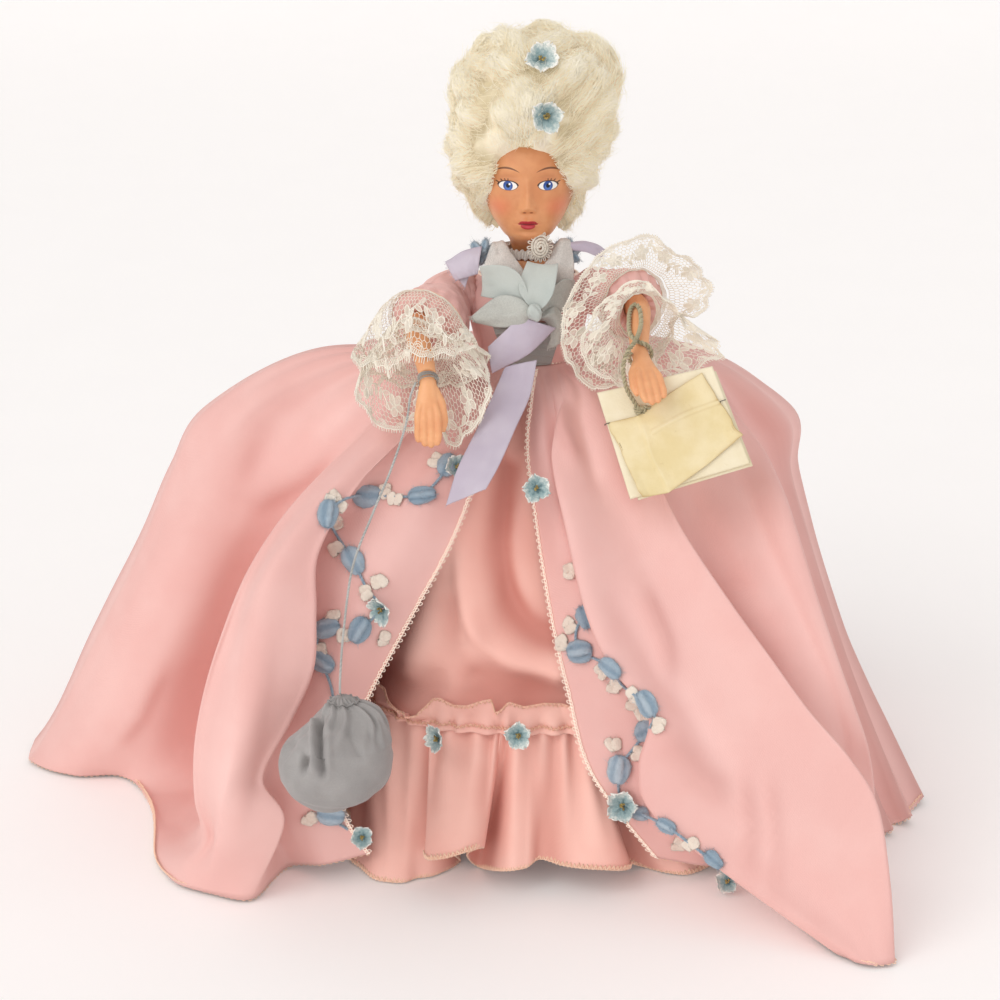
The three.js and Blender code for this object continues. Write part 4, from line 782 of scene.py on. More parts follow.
def underskirt_shape():
    z = np.linspace(116.2, 37.0, 74)
    a = np.linspace(-np.pi, np.pi, 400, endpoint=False)
    G = ring_grid(UNDERSKIRT, z, a)
    aa, zz = np.meshgrid(a, z)
    gath = np.sin(30 * aa + 1.6 * noise2(aa * 3, zz / 60, 11)) * (0.3 + 0.45 * smooth(116, 108, zz)) * smooth(72, 104, zz) * 0.8
    x = G[..., 0]
    front = smooth(0.2, 0.5, np.cos(aa))

    def ridge(x0, z0, x1, z1, w, h):
        c = x0 + (x1 - x0) * (z0 - zz) / (z0 - z1)
        return h * np.exp(-((x - c) / w) ** 2) * smooth(z0 + 8, z0 - 6, zz) * smooth(z1 - 8, z1 + 6, zz)

    drape = ridge(5, 106, -20, 44, 4.6, 3.6) + ridge(-3, 78, 13, 44, 4.0, 2.4) - ridge(-4, 92, -9, 52, 3.4, 2.4) + ridge(-14, 90, -27, 48, 4.4, 2.2) - ridge(10, 96, 4, 56, 3.6, 1.8) - ridge(2, 60, -2, 40, 6, 2.0)
    sag = -2.4 * np.exp(-((zz - 47) / 6) ** 2) * front
    pu, pv = seen(G)

    def swag(points, w, h):
        """A fold drawn through places in the picture, on the front only."""
        q = spline(A(points), np.linspace(0, len(points) - 1, 60))
        d = np.sqrt(np.min((pu[..., None] - q[:, 0]) ** 2 + (pv[..., None] - q[:, 1]) ** 2, axis=-1))
        return h * np.exp(-(d / w) ** 2) * front

    drape = drape * 0.5 + 1.45 * swag([(486, 470), (472, 540), (471, 590), (480, 622), (506, 652), (556, 668)], 13, 3.4) + 1.5 * swag([(504, 470), (500, 540), (506, 590), (530, 622), (556, 634)], 15, -3.6) + swag([(462, 520), (432, 600), (408, 668)], 13, 2.0) + swag([(452, 600), (452, 640), (470, 670)], 12, -1.6)
    slow = 0.9 * noise2(aa * 2.4 + zz / 55, zz / 45, 12) + 0.35 * noise2(aa * 6, zz / 22, 13)
    fade = smooth(36.8, 42, zz)
    G = G + radial(G) * ((gath + drape * front + sag + slow * smooth(116, 100, zz)) * fade * 0.9 - 0.3)[..., None]
    lines = []
    for c in (0, NU - 1):
        e = SK[np.argsort(SK[:, c, 2]), c]
        lines.append((np.interp(z, e[:, 2], e[:, 0])[:, None], np.interp(z, e[:, 2], e[:, 1])[:, None]))
    (xl, yl), (xr, yr) = lines
    f = (G[..., 0] - xl) / np.maximum(xr - xl, 4)
    line = yl + (yr - yl) * np.clip(f, 0, 1)
    gap = np.maximum(0, G[..., 1] - line - 1.8)
    near_edge = 0.3 + 0.6 * np.clip(np.abs(2 * np.clip(f, 0, 1) - 1), 0, 1) ** 1.5
    side_fade = smooth(-0.7, 0.0, f) * smooth(1.7, 1.0, f) * smooth(0.0, 0.35, np.cos(aa))
    held_back = 1 - 0.75 * smooth(0.5, 0.05, f) * smooth(86, 66, zz)  # it falls back from the right edge low down
    G[..., 1] -= np.minimum(gap, 11) * near_edge * side_fade * held_back * smooth(44, 58, zz) * smooth(112, 100, zz)
    # The tone follows the drapes and gathers, lower in the valleys and higher on the crests: it drives painted shade
    # and highlight.
    return G, a, np.clip(0.56 + 0.11 * (drape * front + gath + sag * 0.8) + 0.1 * slow, 0, 1)


UG, UA, under_shade_tone = underskirt_shape()
under = Build().sheet(UG, 0.3, True, tone=under_shade_tone).make("underskirt_cloth", under_fold_shaded, "doll_body", ["underskirt"], "pink_satin")

# the gathered flounce: a few broad lobes in front that overlap one another, smaller ones round the back
def front_top(px):
    """Place on the flounce's gathering line, in front, at a column of the picture."""
    x = A(at(px, 752, -56.0))[0]
    return A([x, -54.4 * max(0.02, 1 - (abs(x - 3.8) / 48.4) ** 3) ** (1 / 3), 38.2])


def hem_place(px, py, y=None):
    """Hem place seen in the picture, on the floor or at a depth."""
    if y is not None:
        return A(at(px, py, y))
    d = ray(px, py)
    return CAM_AT + d * ((0.6 - CAM_AT[2]) / d[2])


HEM = [(340, 352, 858, None), (352, 362, 868, None), (366, 374, 878, None), (384, 388, 881, None), (404, 404, 882, None), (420, 416, 878, None),
       (429, 432, 876, None), (434, 450, 868, None), (436, 461, 860, None), (435, 448, 852, -59), (434, 434, 853, -61), (432, 425, 855, -66),
       (438, 428, 860, -71), (454, 444, 858, -74), (474, 462, 853, -74), (490, 477, 849, -71.5), (499, 484, 847, -67), (502, 478, 848, -61.5),
       (500, 468, 854, -60), (504, 480, 866, None), (516, 506, 870, -69), (530, 526, 868, -69), (544, 540, 859, -65), (560, 562, 865, -68), (574, 584, 868, -70.5),
       (584, 606, 869, -70.5), (591, 624, 869, -68.5), (595, 631, 866, -64), (597, 626, 862, -59), (600, 628, 862, -58), (608, 644, 866, None), (622, 668, 872, None),
       (640, 690, 873, None), (660, 714, 862, None)]
tops = [front_top(h[0]) for h in HEM]
hems = [hem_place(*h[1:]) for h in HEM]
g = np.random.default_rng(26)
ends = [math.atan2(p[0] - 3.9, -p[1] * 50.4 / 58.4) for p in (hems[-1], hems[0])]
lobes = 20
for k, q in enumerate(np.linspace(0, 1, lobes * 4 + 1)[1:-1]):
    ang = ends[0] + (ends[1] + 2 * np.pi - ends[0]) * q
    j, m = divmod(k + 1, 4)
    amp = 2.2 + 2.6 * math.sin(2.1 * j + 0.6) ** 2
    out = amp * (0.1, 0.9, 1.0, 0.35)[m]
    lean = (0.02, -0.035, 0.02, 0.055)[m]
    t_ = oval(38.2, 48.3, 54.4, 3.8, 0, 3, A([ang]))[0]
    h_ = oval(0.6 + 1.2 * (m == 0), 50.2, 58.2, 3.9, 0, 3.2, A([ang + lean]))[0]
    rad = unit((h_ - A([3.9, 0, 0])) * A([1.0, 1.0, 0]))
    tops.append(t_ + rad * (0.4, 0.7, 0.5, 0.0)[m])
    hems.append(h_ + rad * out)
tops, hems = A(tops), A(hems)
K_ = len(HEM)
per = np.where(np.arange(len(tops)) < K_, 11, 5)
us_ = np.concatenate([k + np.arange(n) / n for k, n in enumerate(per)])
TOPS, HEMS = closed_spline(tops, us_ / len(tops)), closed_spline(hems, us_ / len(hems))
z = np.linspace(0, 1, 52)
FG = np.empty((len(z), len(us_), 3))
turn_ = np.linspace(0, 2 * np.pi, len(us_), endpoint=False)
for k, q in enumerate(z):
    w = 0.35 * q + 0.65 * q ** 1.7
    row = TOPS * (1 - w) + HEMS * w
    row[:, 2] = TOPS[:, 2] * (1 - q) + HEMS[:, 2] * q
    rd = radial(row[None])[0]
    small = 0.85 * np.sin(us_ * 4.1 + 2.4 * noise2(us_ / 2, 0 * us_, 24)) * (1 - q) ** 1.0 + 1.3 * noise2(us_ / 1.5, np.full(len(us_), q * 1.6), 27) * smooth(0, 0.4, q) * (1 - 0.45 * q)
    FG[k] = row + rd * (small + 1.3 * math.sin(math.pi * min(1.0, q * 1.15)) * (0.5 + 0.5 * noise2(us_ / 3, 0 * us_, 28)))[:, None]
FG[..., 2] = np.maximum(FG[..., 2], 0.4)
f_r = np.hypot(FG[..., 0] - 3.9, FG[..., 1])
f_m = np.stack([np.roll(f_r, k, 1) for k in range(-26, 27)]).mean(0)
# The tone is higher where the flounce stands out past its neighbours and lower where it sinks in: painted highlight and
# shade.
flounce = Build().sheet(FG, 0.3, True, tone=np.clip(0.58 + 0.2 * (f_r - f_m), 0, 1)).make("flounce", lining_fold_shaded, "doll_body", ["underskirt_flounce"], "pink_satin")
fl_hem = stitches(np.concatenate([FG[-1], FG[-1][:1]]), np.concatenate([unit(FG[-4] - FG[-1]), unit(FG[-4] - FG[-1])[:1]]), 1.2, 1.1, 0.2, np.concatenate([radial(FG)[-1], radial(FG)[-1][:1]]), seed=8).make("flounce_hem_edging", hem_thread, "doll_body", (), "pink_satin")

# the frill that stands above the gathering line, flipped here and there
EDGE = [(372, 722), (390, 721), (406, 724), (413, 723), (417, 713), (420, 708), (432, 706), (449, 711), (470, 706), (491, 702), (495, 714), (499, 714), (508, 705), (524, 710), (545, 706), (567, 708), (585, 706)]
ea = A([math.atan2(at(p[0], p[1], -56.5)[0] - 3.7, 56.5 * 49.7 / 55.4) for p in EDGE])
ez = A([at(p[0], p[1], -56.5)[2] for p in EDGE])
q = np.linspace(0, 1, 24)
a = np.linspace(-np.pi, np.pi, 760, endpoint=False)
rnd = 44.6 + 1.1 * noise2(a * 5.5, 0 * a, 36) + 0.7 * noise2(a * 13, 0 * a, 37)
inside_ = smooth(ea[0] - 0.12, ea[0], a) * smooth(ea[-1] + 0.12, ea[-1], a)
zt = np.interp(a, ea, ez) * inside_ + rnd * (1 - inside_)
aa, qq = np.meshgrid(a, q)
zz = zt[None] * (1 - qq) + 37.4 * qq
up = smooth(0.78, 0.0, qq)
ph = 17 * aa + 2.4 * noise2(a * 2.8, 0 * a, 31)[None] + 1.0 * noise2(a * 7, 0 * a, 32)[None]
kick = np.maximum(0, np.sin(ph)) ** 2 * (0.75 + 0.5 * noise2(a * 5, 0 * a, 33)[None]) + 0.8 * smooth(44.0, 41.5, zt)[None]
T = table(HEADING, zz.ravel()).reshape(zz.shape + (-1,))
HG = oval(zz, T[..., 1], T[..., 2], T[..., 3], 0, T[..., 4], aa + 0.03 * np.cos(ph) * up * kick)
crimp = np.sin(58 * aa + 3 * noise2(a * 8, 0 * a, 34)[None]) * 0.55 * np.exp(-((zz - 38.9) / 2.0) ** 2)
HG = HG + radial(HG) * (3.2 * kick * up ** 1.3 + 1.1 * noise2(aa * 9, zz / 8, 35) * up + 0.4 * np.sin(58 * aa + 3 * noise2(a * 8, 0 * a, 34)[None]) * smooth(0, 0.6, qq) * 0.6 + crimp - 0.55 * np.exp(-((zz - 38.9) / 0.9) ** 2) - 0.35)[..., None]
heading = Build().sheet(HG, 0.3, True).make("flounce_heading", pink_light, "doll_body", ["underskirt_heading"], "pink_satin")
hd = stitches(np.concatenate([HG[0], HG[0][:1]]), np.concatenate([unit(HG[3] - HG[0]), unit(HG[3] - HG[0])[:1]]), 0.8, 1.1, 0.14, np.concatenate([radial(HG)[0], radial(HG)[0][:1]]), seed=9)
row = 19
st = stitches(np.concatenate([HG[row], HG[row][:1]]) + 0.25 * np.concatenate([radial(HG)[row], radial(HG)[row][:1]]), np.concatenate([unit(HG[row - 3] - HG[row]), unit(HG[row - 3] - HG[row])[:1]]), 0.7, 1.1, 0.16, np.concatenate([radial(HG)[row], radial(HG)[row][:1]]), edge=False, seed=10)
more(hd, st)
head_edge = hd.make("flounce_heading_stitches", gather_thread, "doll_body", (), "pink_satin")

z = np.linspace(112.4, 8.2, 50)
a = np.linspace(-np.pi, np.pi, 300, endpoint=False)
aa, zz = np.meshgrid(a, z)
PG = ring_grid(PETTICOAT, z, a)
PG = PG + radial(PG) * (np.sin(34 * aa + 1.5 * noise2(a * 3, 0 * a, 41)[None]) * 0.55 * smooth(112, 90, zz) - 0.6)[..., None]
pett = Build().sheet(PG, 0.3, True).make("petticoat_net", net_cloth, "doll_body", ["petticoat"], "net")
print("areas", grid_area(UG, True), grid_area(FG, True), length(FG[-1]), grid_area(HG, True), length(HG[0]), grid_area(PG, True))
frame["nodes"]["waistband"].data.materials.clear()
frame["nodes"]["waistband"].data.materials.append(pink)

# =================================================================================================
# bodice, sleeves, stomacher, neck scarf
# =================================================================================================
TORSO = [[92, 14.5, 10.2, 0], [100, 15.5, 11, 0], [108, 13.6, 9.8, 0], [117, 10.8, 8.3, 0], [124, 12.3, 9, -0.5],
         [131, 14, 10.2, -1.2], [136, 14.6, 9.4, -0.6], [140, 13.6, 7.8, 0], [143, 9.5, 6.4, 0], [146, 6.2, 5.6, 0]]
grey = cloth("grey_blue_chiffon", "b3b2ae", "a3a19e", 0.7, 0.3, 3.4, 0.35, 0.12, 0.5)
sheer = cloth("sheer_scarf", "efeae4", "e1dbd5", 0.7, 0.3, 3.4, 0.3, 0.1, 0.5, alpha=0.74)
aqua = cloth("aqua_ribbon", "cbd0ca", "b6beba", 0.66, 0.3, 3.4, 0.3, 0.09, 0.45)
aqua_sheer = cloth("aqua_ribbon_sheer", "cfd0c8", "bfc0ba", 0.66, 0.3, 3.4, 0.3, 0.09, 0.45, alpha=0.93)
lavender = cloth("lavender_ribbon", "d1c7d3", "c0b4c4", 0.5, 0.35, 3.4, 0.22, 0.06, 0.3, tint="e6e4f5")


def torso_grid(z, a, grow):
    T = table(TORSO, z)
    T = T[:, None, :]
    return oval(T[..., 0], T[..., 1] + grow, T[..., 2] + grow, 0, T[..., 3], 2, a[None])


z = np.linspace(141.9, 118.9, 60)
a = np.linspace(-np.pi, np.pi, 260, endpoint=False)
aa, zz = np.meshgrid(a, z)
seams = sum(np.exp(-((np.abs(aa) - s) / 0.03) ** 2) for s in (1.05, 2.35))
back_lace = np.exp(-((np.abs(aa) - np.pi) / 0.02) ** 2)
BG = torso_grid(z, a, 1.25 + 0.16 * noise2(aa * 4, zz / 6, 51) + 0.12 * noise2(aa * 14, zz / 3, 52) - 0.35 * seams - 0.4 * back_lace)
bodice = Build().sheet(BG, 0.3, True).make("bodice_cloth", pink, "doll_body", ["bodice"], "pink_satin")
trim = Build()
for row in (0, -1):
    more(trim, stitches(np.concatenate([BG[row], BG[row][:1]]), np.concatenate([unit(BG[row - 2 if row else 2] - BG[row])] + [unit(BG[row - 2 if row else 2] - BG[row])[:1]]), 0.7, 1.0, 0.15, np.concatenate([radial(BG)[row], radial(BG)[row][:1]]), seed=row + 5))
bod_edge = trim.make("bodice_edging", edging, "doll_body", (), "pink_satin")
print("bodice", grid_area(BG, True))

SLEEVES = {
    "right": [[-12.6, 0.2, 137.4, 3.4], [-15, -0.2, 137.2, 5.6], [-17.8, -1.4, 136.9, 6.0], [-20.6, -3.6, 136.3, 6.0], [-22.2, -6.8, 134.4, 7.6], [-23.8, -10.4, 132.7, 9.2], [-25.2, -13.4, 131.6, 10.0]],
    "left": [[12.6, 0.2, 137.4, 3.4], [15, -0.2, 137.2, 5.6], [17.8, -1.4, 137.1, 6.0], [20.6, -3.6, 137.1, 6.0], [22.6, -6.4, 137.0, 7.0], [24.6, -9.6, 136.8, 8.2], [26.4, -12.6, 136.6, 8.8]],
}
sleeve_end = {}
for side, st in SLEEVES.items():
    s = A(st)
    n = 64
    path = spline(s, np.linspace(0, len(s) - 1, n))
    P, R = path[:, :3], path[:, 3]
    Tn, S, U = frames(P, first=(0, 0, 1))
    w = np.linspace(0, 2 * np.pi, 180, endpoint=False)
    ww, qq = np.meshgrid(w, np.linspace(0, 1, n))
    pucker = 0.34 * np.sin(15 * ww + 2 * noise2(ww * 1.5, qq * 2, 61)) * (smooth(0.7, 1, qq) + smooth(0.32, 0.1, qq) * 0.8)
    crease = 0.5 * noise2(ww * 1.3 + 3 * qq, qq * 9, 62) + 0.3 * noise2(ww * 3, qq * 18, 63)
    r = R[:, None] + pucker + crease * smooth(0.15, 0.5, qq) * 0.9 - 0.25 * np.exp(-((ww - np.pi) / 0.05) ** 2)
    G = P[:, None] + r[..., None] * (np.cos(w)[None, :, None] * S[:, None] + np.sin(w)[None, :, None] * U[:, None])
    inner = A([-26.5, -13.4, 132.7]) if side == "right" else A([26.3, -12.6, 136.7])
    rows = []
    for q in np.linspace(0, 1, 16)[1:]:  # the mouth is drawn in round the arm, under the lace
        rr = R[-1] * (1 - q) + 3.4 * q
        c = P[-1] * (1 - q) + inner * q + Tn[-1] * (2.6 * np.sin(np.pi * (q * 0.85)))
        fold = 0.5 * np.sin(14 * w + 2 * noise2(w * 1.5, 0 * w, 64)) * np.sin(np.pi * q) + 0.34 * np.sin(15 * w + 2 * noise2(w * 1.5, 0 * w + 2, 61)) * (1 - q) ** 2
        rows.append(c + rr * (np.cos(w)[:, None] * S[-1] + np.sin(w)[:, None] * U[-1]) + fold[:, None] * Tn[-1])
    G = np.concatenate([G, np.stack(rows)])
    o = Build().sheet(G, 0.3, True).make(side + "_sleeve_cloth", pink)
    sg = -1 if side == "right" else 1
    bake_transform(o)
    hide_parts(side + "_sleeve")
    print(side, "sleeve area", grid_area(G, True))
    sleeve_end[side] = (P[-1], Tn[-1], S[-1], U[-1])


def on_bodice(z, x, off):
    T = table(TORSO, z)
    k = np.maximum(0.05, 1 - (x / (T[..., 1] + off)) ** 2)
    return np.stack([x, T[..., 3] - (T[..., 2] + off) * np.sqrt(k), z], -1)


# stomacher: horizontal pleats of chiffon
R_, C_ = 70, 60
v, u = np.meshgrid(np.linspace(0, 1, R_), np.linspace(0, 1, C_), indexing="ij")
zz = 131.8 - 12.0 * v
xx = (-9.4 + 4.0 * v) * (1 - u) + (9.4 - 3.6 * v) * u
pl = (v * 6.5 + 0.25 * np.sin(u * 5) + 0.2 * noise2(u * 3, v * 2, 71)) % 1
G = on_bodice(zz, xx, 2.0 + 0.85 * pl ** 1.6 * (1 - smooth(0.86, 1, pl)) + 0.1 * noise2(u * 12, v * 12, 72))
stom = Build().sheet(G, 0.28).make("stomacher_cloth", grey, "doll_body", ["stomacher"], "grey_blue_chiffon")
print("stomacher", grid_area(G))


# =================================================================================================
# ribbons
# =================================================================================================
def ribbon(name, left, right, material, nodes, slot, thick=0.22, width_n=22, step=0.45, ripple=0.16, seed=0, cup=0.0, ravel=(0, 0), body="doll_body", extra=()):
    """A strip between two edge paths (rows of points), slightly rippled, with raw threads at either end if asked."""
    Lp, Rp = A(left), A(right)
    n = max(12, int(max(length(spline(Lp, np.linspace(0, len(Lp) - 1, 80))), length(spline(Rp, np.linspace(0, len(Rp) - 1, 80)))) / step))
    q = np.linspace(0, 1, n)
    l, r = spline(Lp, q * (len(Lp) - 1)), spline(Rp, q * (len(Rp) - 1))
    u = np.linspace(0, 1, width_n)
    G = l[:, None] * (1 - u)[None, :, None] + r[:, None] * u[None, :, None]
    N = normals(G)
    if N[..., 1].mean() > 0:
        N = -N
    uu, vv = np.meshgrid(u, q)
    d = ripple * noise2(uu * 2.2 + seed, vv * 5, seed) + 0.4 * ripple * noise2(uu * 6, vv * 11, seed + 1) + cup * 4 * uu * (1 - uu)
    G = G + N * d[..., None]
    o = Build().sheet(G, thick).make(name, material, body, nodes, slot)
    parts = list(extra)
    fr = Build()
    g = np.random.default_rng(seed + 77)
    for end, on in ((0, ravel[0]), (-1, ravel[1])):
        if on:
            row, inn = G[end], G[end - 1 if end else 1]
            k = np.linspace(0, width_n - 1, int(on))
            base = np.stack([np.interp(k, np.arange(width_n), row[:, c]) for c in range(3)], 1)
            out = unit(row - inn).mean(0)
            for p in base:
                e = out * g.uniform(0.25, 0.95) + g.standard_normal(3) * 0.16
                fr.tube(np.stack([p - out * 0.2, p + e * 0.5, p + e]), 0.05, 3, tone=g.uniform(0.4, 0.9))
    if fr.n:
        parts.append(fr.make(name + "_raw_edge", fray_of[material.name], body, (), slot))
    return o, G


fray_of = {m.name: thread(m.name + "_fray", c, d) for m, c, d in ((grey, "bcbab6", "9c9a97"), (sheer, "dedad4", "bfbab6"), (aqua, "d8dcd3", "b6beb6"), (aqua_sheer, "d8d9d2", "b8b9b3"), (lavender, "d9d0da", "b3a7b8"))}

# scarf bands from the neck down under the bow
ribbon("right_scarf", [(0.5, 7.0, 148.6), (-5.2, 5.0, 148.8), (-7.6, 0.0, 149.0), at(504, 242, -6.9), at(512, 254, -9.7), at(523, 270, -12.6), at(530, 290, -13.6)],
       [(0.5, 9.6, 144.4), (-8.0, 7.4, 144.6), (-11.6, 0.5, 144.8), at(491, 245, -7.0), at(487, 257, -9.5), at(484, 272, -12.0), at(487, 296, -13.6)], sheer, ["right_fichu"], "grey_blue_chiffon", seed=101, ripple=0.45, cup=0.7, width_n=26)
ribbon("left_scarf", [(-0.5, 7.4, 148.9), (5.2, 5.3, 149.0), (7.6, 0.2, 149.1), at(557, 243, -6.8), at(550, 256, -9.8), at(541, 270, -12.6), at(533, 290, -13.4)],
       [(-0.5, 10.0, 144.6), (8.0, 7.7, 144.7), (11.8, 0.6, 144.9), at(570, 240, -6.8), at(573, 255, -9.4), at(574, 275, -11.5), at(570, 296, -13.2)], sheer, ["left_fichu"], "grey_blue_chiffon", seed=103, ripple=0.45, cup=0.7, width_n=26)


def loop_of_ribbon(name, a_px, b_px, y_tip, y_knot, gap, material, node, seed, bulge=1.6):
    """A bow loop: from the knot out to the fold and back to the knot behind; its two edges are given in the picture from the fold to the knot."""
    t = np.linspace(0, 1, len(a_px))
    yf = y_tip + (y_knot - y_tip) * t - bulge * np.sin(np.pi * t ** 0.8)
    yb = yf + gap * (0.75 + 0.5 * np.sin(np.pi * t)) * (1 - 0.6 * t)
    edges = []
    mid = (A(a_px) + A(b_px)) / 2
    for e_px in (A(a_px), A(b_px)):
        front = [at(p[0], p[1], y) for p, y in zip(e_px, yf)]
        behind = [at(*(p * 0.94 + m * 0.06), y) for p, m, y in zip(e_px, mid, yb)]
        out = unit(front[0] - front[1]) * 0.9
        edges.append(front[::-1] + [(front[0] + behind[0]) / 2 + out] + behind)
    return ribbon(name, edges[0], edges[1], material, [node] if node else [], "aqua_ribbon", seed=seed, step=0.3, width_n=26, ripple=0.28, cup=0.5)


loop_of_ribbon("bow_loop_upper_left", [(483, 266), (497, 265), (511, 268), (522, 278), (531, 301)], [(484, 297), (497, 299), (511, 300), (522, 303), (531, 310)], -16.4, -21.0, 2.8, aqua, "bow_loop_left", 111, 1.7)
loop_of_ribbon("bow_loop_upper_right", [(526, 264), (521, 277), (519, 290), (525, 301), (532, 307)], [(558, 267), (556, 281), (553, 294), (546, 305), (538, 311)], -16.0, -21.6, 3.0, aqua, "bow_loop_right", 113, 2.2)
loop_of_ribbon("bow_loop_behind", [(573, 280), (565, 279), (556, 285), (547, 297), (540, 306)], [(571, 306), (564, 312), (556, 313), (548, 313), (541, 313)], -13.6, -18.6, 2.0, aqua_sheer, "bow_loop_side", 115, 0.9)
ribbon("bow_end_raw", [at(534, 307, -20.6), at(519, 298, -21.4), at(503, 295, -20.8), at(490, 301, -19.6), at(472, 316, -18.4)], [at(535, 315, -20.6), at(526, 324, -21.6), at(513, 327, -21.8), at(497, 327, -20.6), at(478, 323, -18.8)], aqua_sheer, ["bow_end_left"], "aqua_ribbon", seed=117, ravel=(0, 22), ripple=0.4, cup=1.0, width_n=26)
ribbon("bow_end_lower", [at(540, 314, -18.6), at(556, 307, -17.4), at(563, 320, -16.4), at(563, 338, -15.4)], [at(538, 320, -18.6), at(546, 322, -18.0), at(550, 334, -17.0), at(547, 349, -15.6)], aqua_sheer, [], "aqua_ribbon", seed=119, ravel=(0, 16), ripple=0.4, cup=1.0)

# knot: a wrapped band with creases
K = Build()
q = np.linspace(0, 2 * np.pi, 60, endpoint=False)
kn = at(534.5, 312.5, -22.4)
rings = []
for s in np.linspace(-1, 1, 21):
    e = math.sqrt(max(0.03, 1 - abs(s) ** 2.6))
    rr = e * (1 + 0.09 * np.sin(5 * q + s * 3) + 0.06 * noise2(np.cos(q) * 2, np.sin(q) * 2 + s, 121))
    c = kn + A([0.9 * s, -0.25 * s * s, -0.55 * s]) * 1.9
    rings.append(np.stack([c[0] + rr * np.cos(q) * 0.55, c[1] + rr * np.sin(q) * 1.5, c[2] + rr * np.cos(q) * 1.9], 1))
K.loft(rings).make("bow_knot_wrap", aqua, "doll_body", ["bow_knot"], "aqua_ribbon")

# sash: a band across, and its long tail with a slanted, frayed end
ribbon("sash_band", [at(521, 316, -21.6), at(505, 331, -22.0), at(488, 347, -21.4)], [at(556, 328, -19.4), at(527, 355, -21.8), at(492, 373, -21.2)], lavender, ["sash_upper"], "lavender_ribbon", seed=123, ripple=0.25, cup=0.9, width_n=26)
tail_l = [at(505, 368, -22.2), at(493, 395, -28.5), at(474, 435, -38.5), at(457, 470, -45.6), at(446, 506, -51.0)]
tail_r = [at(537, 360, -22.4), at(530, 396, -28.8), at(514, 432, -38.2), at(499, 466, -44.8), at(486, 489, -48.4)]
ribbon("sash_tail_ribbon", tail_l, tail_r, lavender, ["sash_tail"], "lavender_ribbon", seed=125, ripple=0.3, cup=0.35, width_n=26, ravel=(0, 10))

# shoulder ribbons: short folded ends
ribbon("right_shoulder_ribbon_end", [at(482, 246, -8.0), at(463, 251, -8.6), at(446, 262, -8.2)], [at(478, 274, -11.6), at(468, 277, -11.8), at(456, 281, -11.0)], lavender, ["right_shoulder_ribbon"], "lavender_ribbon", seed=127, ripple=0.45, cup=0.9, ravel=(0, 16))
ribbon("right_shoulder_ribbon_under", [at(482, 250, -7.6), at(474, 262, -9.4), at(465, 288, -11.0)], [at(476, 247, -7.2), at(464, 258, -8.4), at(449, 266, -8.6)], lavender, [], "lavender_ribbon", seed=129, ripple=0.3, cup=0.3, ravel=(0, 12))
ribbon("left_shoulder_ribbon_end", [at(567, 243, -7.6), at(584, 241, -7.0), at(598, 245, -6.6), at(605, 250, -6.8)], [at(569, 250, -8.2), at(585, 252, -8.4), at(595, 256, -8.6), at(602, 258, -8.4)], lavender, ["left_shoulder_ribbon"], "lavender_ribbon", seed=131, ripple=0.35, cup=0.5, ravel=(0, 10))
# =================================================================================================
# skin, arms and hands
# =================================================================================================
def moulded(b, name, voxel, iterations, material, body, nodes):
    """One smooth moulded skin round overlapping closed shapes."""
    tmp = bpy.data.objects.new(name + "_shape", b.mesh(name + "_shape"))
    scene.collection.objects.link(tmp)
    r = tmp.modifiers.new("skin", "REMESH")
    r.mode, r.voxel_size, r.adaptivity = "VOXEL", voxel / 1000, 0.0
    s = tmp.modifiers.new("soften", "SMOOTH")
    s.factor, s.iterations = 0.5, iterations
    me = bpy.data.meshes.new_from_object(tmp.evaluated_get(bpy.context.evaluated_depsgraph_get()))
    me.name = name
    bpy.data.objects.remove(tmp)
    me.polygons.foreach_set("use_smooth", np.ones(len(me.polygons), bool))
    me.materials.clear()
    me.materials.append(material)
    o = bpy.data.objects.new(name, me)
    scene.collection.objects.link(o)
    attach(o, body)
    if nodes:
        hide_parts(*nodes)
    return o


def skin(name, light="d08a5c", lit="dd9b6b", deep="b9744a"):
    m = Mat(name, 0.4, **{"Specular_IOR_Level": 0.42, "Subsurface_Weight": 0.06, "Subsurface_Scale": 0.002})
    m.b.inputs["Subsurface Radius"].default_value = (1.0, 0.45, 0.25)
    slow, fine = m.noise(0.16, 3.0, 0.6), m.noise(1.8, 4.0, 0.6)
    c = m.mix(m.ramp(slow, 0.3, 0.72), lin(light), lin(lit))
    c = m.mix(m.ramp(fine, 0.62, 0.8, 0.0, 0.25), c, lin(deep))
    m.rough(m.ramp(fine, 0.3, 0.75, 0.34, 0.5)).bump(fine, 0.08, 0.0001).bump(m.noise(0.5, 3.0), 0.12, 0.0004)
    return m, c


# The body, arms and hands take this skin, paler than the face's: painted light, for the brighter lit hands.
sk, c = skin("skin_plastic", "e39f70", "eeb07f", "cb8656")
sk.colour(c)
skin_m = sk.m

RIGHT_ARM = [[-17.2, 0, 137, 3.2], [-18.7, -0.8, 137, 4.0], [-21, -4, 136.2, 3.9], [-25, -10.5, 133.8, 3.5], [-28.3, -17, 131.4, 3.1], [-27.2, -24, 129.8, 3.0], [-25.6, -31.5, 127.4, 2.5], [-24.5, -38, 125, 2.05]]
LEFT_ARM = [[17.2, 0, 137, 3.2], [18.7, -0.8, 137.2, 4.0], [21, -4, 137.2, 3.9], [24.7, -9.5, 137, 3.5], [27.6, -15.5, 136.3, 3.1], [27.6, -22, 134.8, 3.0], [27.4, -30, 132, 2.5], [27.3, -36, 129.9, 2.05]]
HANDS = {"right": [[-24.5, -38, 125], [-24.3, -41, 120], [-24.3, -43, 115.5], [-24.3, -44.5, 111], [-24.3, -45.2, 108.8]],
         "left": [[27.3, -36, 129.9], [28.2, -42.2, 128], [29.2, -47, 126], [30, -51, 123.8], [30.3, -53.2, 122.5]]}
